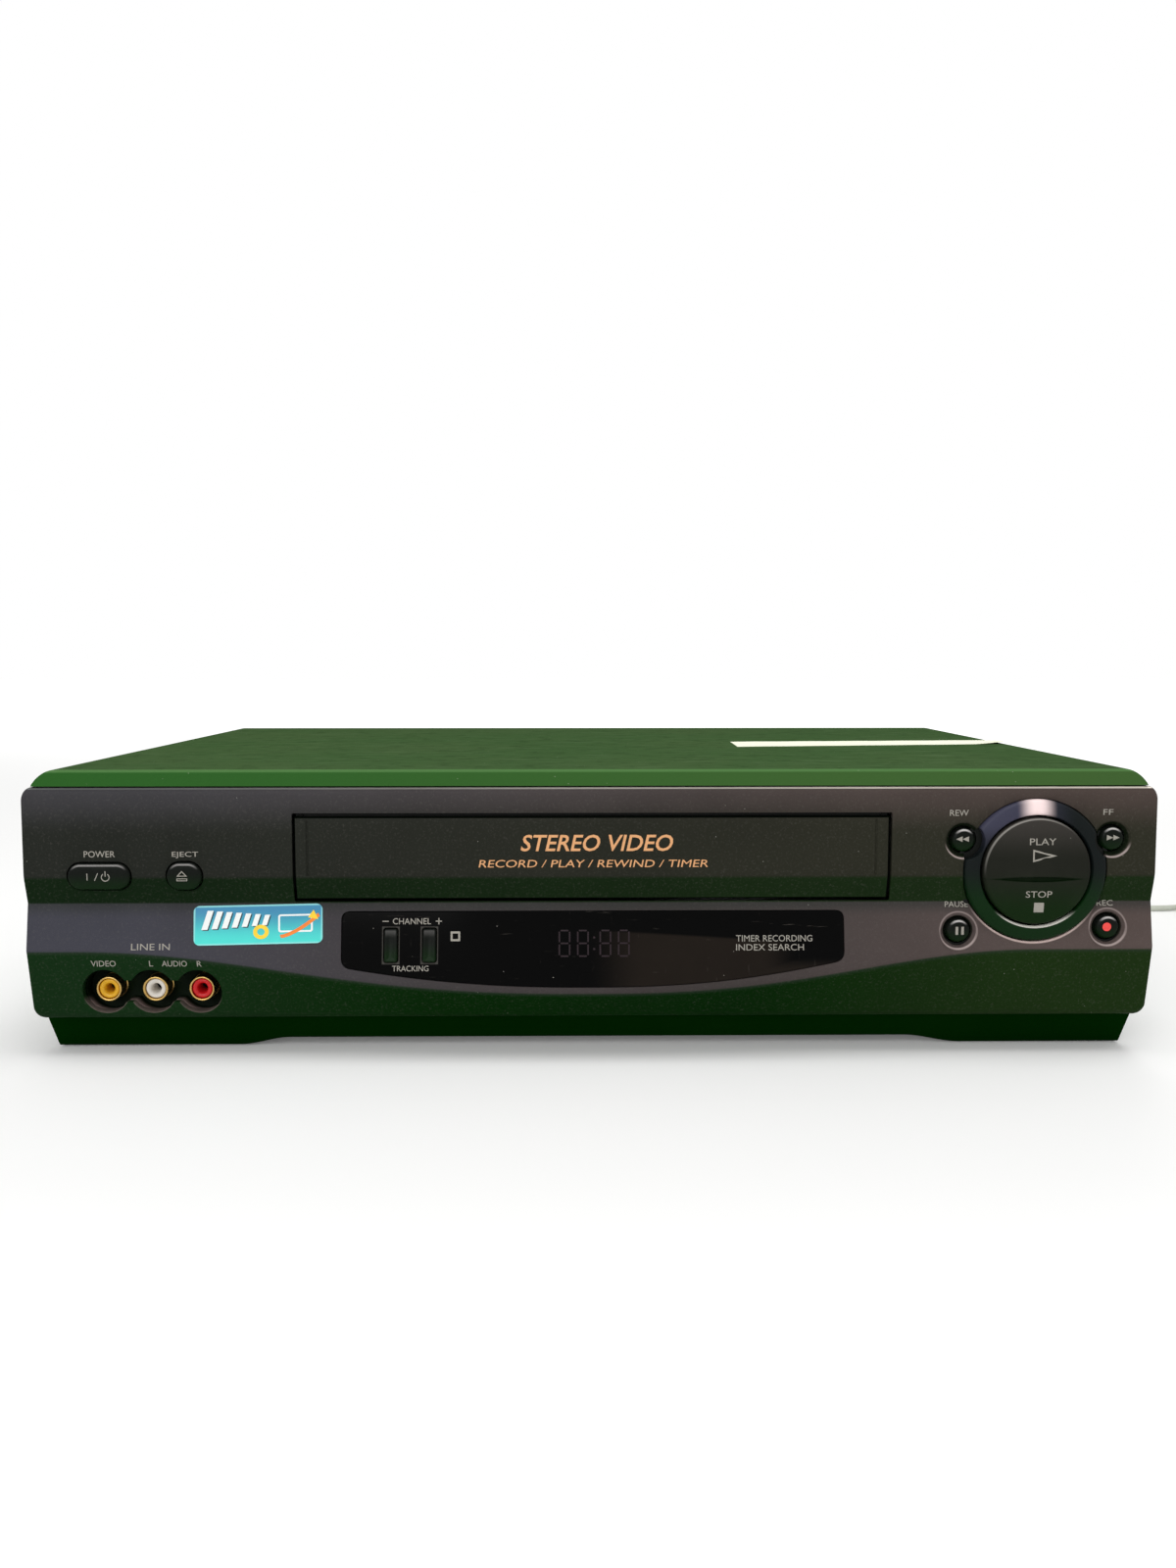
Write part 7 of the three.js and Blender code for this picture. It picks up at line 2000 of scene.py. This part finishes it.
@dataclass
class RearSide:
    """The rear panel with its aerial sockets, jacks and screws."""

    front: float = 222.5
    back: float = 223.5
    socket_x: float = -148.0
    socket_z: Pair = (36.0, 56.0)
    jack_x: Triple = (-114.0, -100.0, -86.0)
    jack_z: Pair = (35.0, 49.0)

    def panel(self) -> Piece:
        """The sheet with its holes and ventilation slots."""
        sheet = Shape().prism(rounded(0, 49, 351, 87, 6, 10), self.front, self.back)
        holes = [Shape().prism(disc(self.socket_x, z, 5.2, 40), 220, 226) for z in self.socket_z]
        holes += [Shape().prism(disc(x, z, 4.7, 40), 220, 226) for x in self.jack_x for z in self.jack_z]
        holes += [Shape().prism(rounded(45.3 + 6 * i, 62, 2.6, 22, 1.3, 6), 220, 226) for i in range(9)]
        holes.append(Shape().prism(rounded(138, 24, 10.4, 10.4, 0.8, 5), 220, 226))
        return soften(carve(sheet.object("rear_sheet", Looks.steel), *holes), 0.12, 50)

    def screws(self) -> Piece:
        """Pan head screws with cross recesses along the panel's edges."""
        shape = Shape()
        cuts = Shape()
        for x, z in ((-168, 84), (168, 84), (0, 88), (-168, 14), (168, 14), (-124, 62), (-76, 42)):
            shape.lathe_y([(0, 223.0), (2.7, 223.0), (2.7, 223.9), (2.3, 224.5), (1.3, 224.85), (0, 224.9)],
                          x, z, 32)
            for width, height in ((2.6, 0.55), (0.55, 2.6)):
                cuts.box((x - width / 2, x + width / 2), (224.2, 226), (z - height / 2, z + height / 2))
        return carve(shape.object("rear_screws", Looks.nickel), cuts)

    def modulator(self) -> None:
        """The tin box with a lid seam, its threaded sockets and their cores."""
        shape = Shape().prism(rounded(-148, 46, 34, 46, 0.8, 3), 184.2, 222.2)
        shape.prism(rounded(-148, 46, 34.5, 46.5, 0.9, 3), 189, 206)
        for z in self.socket_z:
            thread = [(4.6 if i % 2 else 4.3, 223.6 + 0.42 * i) for i in range(16)]
            shape.lathe_y([(2.3, 221), (5.0, 221), (5.0, 223.4), *thread, (4.25, 230.6), (4.0, 231.0), (2.6, 231.0),
                           (2.3, 230.7)], self.socket_x, z, 48, closed=True)
        keep(shape.object("modulator_tin", Looks.nickel), "housing", "rf_modulator")
        cores = Shape()
        for z in self.socket_z:
            cores.lathe_y([(0.6, 222), (0.6, 229.2), (1.0, 229.6), (2.28, 229.8), (2.28, 222)],
                          self.socket_x, z, 32, closed=True)
        keep(cores.object("modulator_cores", Looks.white))

    def jacks(self) -> None:
        """The jack block: its moulded body, six plated shells and their coloured inserts."""
        made = Shape().box((-121, -79), (208.2, 222.2), (27, 57)).object("rear_jack_body", Looks.black)
        keep(soften(made, 0.6), "housing", "rear_jack_block")
        shells = Shape()
        for column, (x, finish) in enumerate(zip(self.jack_x, (Looks.yellow, Looks.white, Looks.red))):
            inserts = Shape()
            for z in self.jack_z:
                turn = np.linspace(0, math.pi, 7)
                lip = [(3.725 + 0.375 * math.cos(a), 229.63 + 0.37 * math.sin(a)) for a in turn]
                shells.lathe_y([(3.35, 221), (5.0, 221), (5.0, 223.4), (4.6, 224.0), (4.1, 224.2), *lip], x, z, 48,
                               closed=True)
                inserts.lathe_y([(1.55, 221), (1.55, 228.4), (1.9, 229.1), (2.8, 229.5), (3.2, 229.1),
                                 (3.2, 221)], x, z, 48, closed=True)
            keep(inserts.object(f"rear_jack_inserts_{column}", finish))
        keep(shells.object("rear_jack_shells", Looks.nickel))

    def build(self) -> None:
        """Builds the rear."""
        keep(self.panel(), "housing", "rear_panel")
        keep(self.screws())
        self.modulator()
        self.jacks()


def gear(x: float, y: float, teeth: int, root: float, tip: float) -> Points:
    """A gear's (x, y) outline: each tooth rises from root to tip over part of its step, with eased flanks."""
    flank = ((0.10, 1.0), (0.15, 0.8), (0.24, 0.12), (0.30, 0.0))
    shares = (*((-way, rise) for way, rise in flank[::-1]), *flank)
    turn = np.array([(i + share[0]) * 2 * math.pi / teeth for i in range(teeth) for share in shares])
    radius = np.array([root + (tip - root) * share[1] for _ in range(teeth) for share in shares])
    return np.stack([x + radius * np.cos(turn), y + radius * np.sin(turn)], axis=-1)


def around(middle: Pair, radius: float, degrees: float) -> Pair:
    """The place on a circle at an angle: x + r cos(a), y + r sin(a)."""
    return middle[0] + radius * math.cos(degrees * DEGREE), middle[1] + radius * math.sin(degrees * DEGREE)


def lever(a: Pair, b: Pair, radius: float, steps: int = 14) -> Points:
    """An (x, y) outline of a bar with round ends from a to b."""
    way = math.degrees(math.atan2(b[1] - a[1], b[0] - a[0]))
    return np.vstack([arc(*a, radius, way + 90, way + 270, steps), arc(*b, radius, way - 90, way + 90, steps)])


@dataclass
class TapeDeck:
    """The pieces that stand on the deck's plate. Heights are over the plate's top, at 27 mm."""

    plate: float = 27.0
    drum_y: float = 187.0
    tilt: float = 5.97
    reel_y: float = 86.0
    reel_x: float = 46.0
    capstan: Pair = (58.0, 158.0)
    pinch: Pair = (86.0, 160.0)
    cam: Pair = (-58.5, 199.0)
    motor: Pair = (-86.0, 196.0)
    idler: Pair = (0.0, 126.0)
    tension: Pair = (-84.0, 158.0)

    def leaning(self, shape: Shape) -> Shape:
        """Turns a shape made about the origin so that it leans back with the drum, and puts it in place."""
        lean = self.tilt * DEGREE
        for points in shape.points:
            y, z = points[:, 1].copy(), points[:, 2].copy()
            points[:, 1] = y * math.cos(lean) + z * math.sin(lean) + self.drum_y
            points[:, 2] = z * math.cos(lean) - y * math.sin(lean) + self.plate
        return shape

    def drum(self) -> None:
        """The head drum: the fixed lower half with its tape ledge, and the turning upper half with its heads."""
        shape = Shape().lathe_z([(3.3, 3.6), (30.4, 3.6), (31.0, 4.2), (31.0, 6.4), (30.6, 6.6), (30.6, 17.4),
                                 (30.6, 17.8), (30.2, 18.0), (3.3, 18.0)], 0, 0, 128, closed=True)
        foot = Shape().lathe_z([(3.3, 27.3), (13.6, 27.3), (14, 27.7), (14, 32.6), (3.3, 32.6)], 0, self.drum_y, 64,
                               closed=True)
        made = self.leaning(shape).object("drum_lower_body", Looks.aluminium)
        carve(made, foot, join=Join.ADD)
        keep(soften(made, 0.1, 50), "housing", "head_drum_lower")
        upper = Shape().lathe_z([(0, 5.6), (3.0, 5.6), (3.0, 18.3), (30.2, 18.3), (30.6, 18.6), (30.6, 33.4),
                                 (30.1, 34.0), (24.4, 34.0), (24.0, 33.6), (24.0, 31.0), (9.0, 31.0), (9.0, 37.4),
                                 (8.5, 38.0), (3.2, 38.0), (3.0, 37.0), (0, 37.0)], 0, 0, 128)
        made = self.leaning(upper).object("drum_upper_body", Looks.aluminium)
        notches = Shape()
        for turn in (20, 110, 200, 290):
            notches.slab(lever(around((0, 0), 29.0, turn), around((0, 0), 33.0, turn), 1.1, 6), 17, 20.6)
        carve(made, self.leaning(notches))
        keep(soften(made, 0.08, 50), "upper_drum", "head_drum_upper")
        parts = Shape()
        screw = [(0, 30.9), (2.0, 30.9), (2.0, 32.0), (1.6, 32.4), (0, 32.4)]
        for turn in (65, 155, 245, 335):
            parts.lathe_z(screw, *around((0, 0), 16.5, turn), 24)
        keep(self.leaning(parts).object("drum_screws", Looks.brass), "upper_drum")

    def reels(self) -> None:
        """The reel tables: toothed flanges, ribs, hubs with three fins and a domed tip."""
        for name, x in (("supply", -self.reel_x), ("takeup", self.reel_x)):
            z, y = self.plate, self.reel_y
            made = Shape().slab(gear(x, y, 16, 15.0, 16.0), z + 1.2, z + 4).object(f"{name}_reel_body", Looks.white)
            hub = Shape().lathe_z([(0, z + 1.6), (7.4, z + 1.6), (7.4, z + 4.6), (5.6, z + 5.2), (5.2, z + 6),
                                   (5.2, z + 13), (4.4, z + 15.4), (3.0, z + 16.6), (0, z + 17)], x, y, 56)
            fins = [Shape().slab(lever(*(around((x, y), reach, turn) for reach in (4, 7.1)), 0.6, 6), z + 3, z + 12.6)
                    for turn in (0, 120, 240)]
            carve(made, hub, *fins, join=Join.ADD)
            pits = [Shape().slab(lever(around((x, y), 11, turn), around((x, y), 11, turn + 0.5 / DEGREE), 1.5, 8),
                                 z + 2.6, z + 6) for turn in range(0, 360, 60)]
            bore = Shape().lathe_z(rod(2.1, z - 4, z + 16), x, y, 32)
            carve(made, *pits, bore)
            keep(soften(made, 0.15, 50), f"{name}_reel", f"{name}_reel_table")

    def transport(self) -> None:
        """The capstan, the pinch roller on its arm, and the two tape guides."""
        z = self.plate
        made = Shape().lathe_z([(0, 14), (19.6, 14), (20, 14.4), (20, 17), (19.3, 17.3), (19.3, 18.7), (20, 19),
                                (20, 21.6), (19.6, 22), (13, 22), (12.4, 21), (6, 21), (5.4, 22), (1.25, 22),
                                (1.25, 51.6), (0.9, 52), (0, 52)], *self.capstan, 96)
        keep(made.object("capstan_body", Looks.aluminium), "capstan", "capstan_flywheel")
        tip = around(self.pinch, 24.7, 224.4)
        arm = Shape().slab(lever(self.pinch, tip, 3.6, 16), 29, 32).object("pinch_arm_body", Looks.steel)
        post = Shape().lathe_z([(0, 30), (1.2, 30), (1.2, 49.6), (0.8, 50), (0, 50)], *tip, 28)
        sleeve = Shape().lathe_z(rod(3.1, 29.5, 33.4), *self.pinch, 40)
        carve(arm, post, sleeve, join=Join.ADD)
        bore = Shape().lathe_z(rod(1.5, 20, 40), *self.pinch, 28)
        keep(soften(carve(arm, bore), 0.25, 50), "pinch_arm", "pinch_roller_arm")
        tyre = Shape().lathe_z([(1.5, 32.3), (3.0, 32.3), (3.0, 34.6), (5.9, 34.0), (6.5, 34.5), (6.5, 47.5),
                                (6.0, 48), (4.2, 48), (4.0, 47.4), (1.5, 47.4)], *tip, 64, closed=True)
        keep(tyre.object("pinch_tyre_body", Looks.rubber), "pinch_tyre", "pinch_roller")
        for name, side in (("supply", -1), ("takeup", 1)):
            x, y = side * 24.0, 128.0
            made = Shape().slab(lever((x, y - 3), (x, y + 3), 5.0, 16), z + 0.3, z + 4).object(f"{name}_guide_body",
                                                                                              Looks.brass)
            post = Shape().lathe_z([(0, 24.0), (1.9, 24.0), (1.9, z + 3), (2.6, z + 3), (2.6, z + 5.6), (3.0, z + 6),
                                    (3.0, z + 7), (2.5, z + 7.3), (2.5, z + 19.7), (3.0, z + 20), (3.0, z + 21),
                                    (1.2, z + 21), (1.2, z + 22.6), (0.8, z + 23), (0, z + 23)], x, y, 40)
            carve(made, post, join=Join.ADD)
            keep(soften(made, 0.2, 50), f"{name}_guide", f"{name}_tape_guide")

    def drive(self) -> None:
        """The cam gear, the loading motor, the idler and the tension arm."""
        z = self.plate
        made = Shape().slab(gear(*self.cam, 24, 20.5, 22), z + 1, z + 5).object("cam_gear_body", Looks.white)
        hub = Shape().lathe_z([(0, z + 1.5), (5, z + 1.5), (5, z + 6.7), (4.7, z + 7), (0, z + 7)], *self.cam, 48)
        carve(made, hub, join=Join.ADD)
        turn = np.linspace(0, 1.7 * math.pi, 60)
        radius = 9.5 + 5.5 * turn / turn[-1]
        way = np.stack([np.cos(turn), np.sin(turn)], axis=-1)
        track = np.vstack([way * (radius + 1.1)[:, None], (way * (radius - 1.1)[:, None])[::-1]]) + self.cam
        bore = Shape().lathe_z(rod(2.3, z - 4, z + 12), *self.cam, 32)
        carve(made, Shape().slab(track, z + 3.4, z + 8), bore)
        keep(soften(made, 0.12, 50), "cam", "cam_gear")
        x, y = self.motor
        can = Shape().lathe_z([(0, z + 7), (10.4, z + 7), (11, z + 7.6), (11, z + 32.2), (10.2, z + 33), (4, z + 33),
                               (4, z + 34.6), (3.6, z + 35), (0, z + 35)], x, y, 64)
        made = can.object("loading_motor_can", Looks.steel)
        foot = Shape().box((x - 10, x + 5), (y - 10, y + 10), (z + 0.3, z + 2.3))
        stand = Shape().box((x - 10, x - 5), (y - 10, y + 10), (z + 0.3, z + 9))
        carve(made, foot, stand, join=Join.ADD)
        keep(soften(made, 0.25, 50), "housing", "loading_motor")
        bar = Shape().slab(lever(self.idler, (0, self.reel_y), 4, 16), z + 1.2, z + 3.6)
        made = bar.object("idler_body", Looks.black)
        wheel = Shape().slab(gear(0, self.reel_y, 15, 12, 13), z + 2.6, z + 5.4)
        bore = Shape().lathe_z(rod(2.1, z - 4, z + 12), *self.idler, 28)
        carve(made, wheel, join=Join.ADD)
        keep(soften(carve(made, bore), 0.15, 50), "idler", "reel_idler")
        end = around(self.tension, 26, -28)
        bar = Shape().slab(lever(self.tension, end, 3.6, 16), z + 1.2, z + 3.6)
        made = bar.object("tension_arm_body", Looks.steel)
        post = Shape().lathe_z([(0, z + 2), (2.4, z + 2), (2.4, z + 5), (1.8, z + 5.4), (1.8, z + 22.6),
                                (1.4, z + 23), (0, z + 23)], *end, 32)
        bore = Shape().lathe_z(rod(1.9, z - 4, z + 12), *self.tension, 28)
        carve(made, post, join=Join.ADD)
        keep(soften(carve(made, bore), 0.2, 50), "tension", "tension_arm")

    def heads(self) -> None:
        """The erase head and the sound head: rounded cases on flat feet."""
        for name, x, y, width, depth, high, turn, foot in (
                ("erase_head", -57.0, 166.0, 12.0, 7.0, 22.0, 28.0, (16.0, 10.0)),
                ("audio_control_head", 48.0, 178.0, 13.0, 8.0, 23.0, -32.0, (17.0, 12.0))):
            outline = rounded(0, 0, width, depth, 2.6, 8)
            cos, sin = math.cos(turn * DEGREE), math.sin(turn * DEGREE)
            spin = np.array([[cos, sin], [-sin, cos]])
            z = self.plate + 0.3
            made = Shape().slab(outline @ spin + (x, y), z + 1, z + high).object(f"{name}_case", Looks.steel)
            flange = Shape().slab(rounded(0, 0, *foot, 1.4, 5) @ spin + (x, y), z, z + 2)
            carve(made, flange, join=Join.ADD)
            slits = [Shape().slab(rounded(dx, -depth / 2, 0.35, 1.2, 0.1, 2) @ spin + (x, y), z + 4, z + high - 2)
                     for dx in (-0.9, 0.9)]
            keep(soften(carve(made, *slits), 0.2, 50), "housing", name)

    def build(self) -> None:
        """Builds the deck's pieces."""
        self.drum()
        self.reels()
        self.transport()
        self.drive()
        self.heads()


@dataclass
class Boards:
    """The circuit boards and the power supply, with their larger parts."""

    top: float = 14.0

    def plate(self, x: Pair, y: Pair) -> Shape:
        """A board's plate."""
        outline = rounded((x[0] + x[1]) / 2, (y[0] + y[1]) / 2, x[1] - x[0], y[1] - y[0], 1.2, 4)
        return Shape().slab(outline, self.top - 1.6, self.top)

    def cans(self, name: str, places: Sequence[Pair], radius: float, high: float) -> None:
        """Upright capacitors: dark sleeves with a rolled groove, and bright tops."""
        sleeves, tops, z = Shape(), Shape(), self.top
        for x, y in places:
            sleeves.lathe_z([(0, z - 0.4), (radius - 0.3, z - 0.4), (radius, z), (radius, z + 1.4),
                             (radius - 0.4, z + 1.9), (radius, z + 2.4), (radius, z + high - 0.5),
                             (radius - 0.6, z + high),
                             (radius - 0.7, z + high - 0.6), (0, z + high - 0.6)], x, y, 40)
            tops.lathe_z(rod(radius - 0.75, z + high - 0.65, z + high - 0.25), x, y, 40)
        keep(sleeves.object(f"{name}_sleeves", Looks.black))
        keep(tops.object(f"{name}_tops", Looks.aluminium))

    def build(self) -> None:
        """Builds the two boards on the tray."""
        made = self.plate((-171, -110), (30, 214)).object("main_board_plate", Looks.resin)
        keep(soften(made, 0.15), "housing", "main_board")
        keep(self.chips())
        self.cans("main_board_cans", [(-120.0, 52 + i * 24.0) for i in range(5)], 5.0, 16.0)
        made = self.plate((110, 171), (96, 214)).object("supply_board_plate", Looks.resin)
        keep(soften(made, 0.15), "housing", "power_supply")
        core, z = Shape(), self.top
        for i in range(13):
            x0 = 120.0 + i * 3.1
            core.box((x0, x0 + 2.8), (133, 167), (z - 0.5, z + 32))
        keep(core.object("transformer_core", Looks.steel))
        coil = Shape().slab(rounded(140, 150, 24, 48, 6, 10), z - 0.5, z + 25)
        keep(soften(coil.object("transformer_winding", Looks.copper), 0.8))
        self.cans("supply_cans", [(125.0, 107.0), (155.0, 107.0)], 7.0, 28.0)

    def chips(self) -> Piece:
        """Flat packages with rows of bent legs on the main board."""
        shape, z = Shape(), self.top
        for y, side in ((133.0, 22.0), (80.0, 16.0), (178.0, 14.0)):
            x = -152.0
            shape.box((x - side / 2, x + side / 2), (y - side / 2, y + side / 2), (z + 0.3, z + 2))
            count = int(side / 1.6)
            for i in range(count):
                along = y - side / 2 + (i + 0.5) * side / count
                for way in (-1, 1):
                    shape.box((x + way * side / 2, x + way * (side / 2 + 1.6)), (along - 0.3, along + 0.3),
                              (z - 0.05, z + 0.5))
        return shape.object("main_board_chips", Looks.black)


class Remaining:
    """Finishes for the CAD nodes that stay as they are."""

    def build(self) -> None:
        """Gives each shown node the finish of its slot, and eases its sheared edges."""
        by_slot = {"sheet_steel": Looks.steel, "board_resin": Looks.resin, "black_plastic": Looks.black,
                   "base_plastic": Looks.base, "key_plastic": Looks.black, "white_plastic": Looks.white,
                   "foot_rubber": Looks.rubber, "drum_aluminium": Looks.aluminium, "jack_brass": Looks.brass,
                   "bezel_plastic": Looks.panel, "door_plastic": Looks.door, "cover_paint": Looks.cover,
                   "ring_metal": Looks.ring, "smoked_window": Looks.window, "yellow_plastic": Looks.yellow,
                   "red_plastic": Looks.red, "lead_jacket": Looks.lead}
        for name, piece in frame["nodes"].items():
            finish = by_slot[SLOTS[name]]
            for place in piece.material_slots:
                place.material = finish.material()
            if not piece.hide_render:
                step = piece.modifiers.new("sheared_edge", "BEVEL")
                step.width, step.segments, step.limit_method, step.angle_limit = 0.00018, 2, "ANGLE", 50 * DEGREE
                log.info("node %s stays, with %s", name, finish.name)


def main() -> None:
    """Builds the recorder, piece by piece."""
    logging.basicConfig(level=logging.INFO, format="%(message)s")
    for part in (Studio, MainsLead, FrontPanel, CassetteDoor, DisplayWindow, Keys, Controls, FrontJacks, Sticker,
                 TopCover, Base, RearSide, TapeDeck, Boards, Remaining):
        part().build()
    log.info("%d pieces", PLACES.count)


if __name__ == "__main__":
    main()
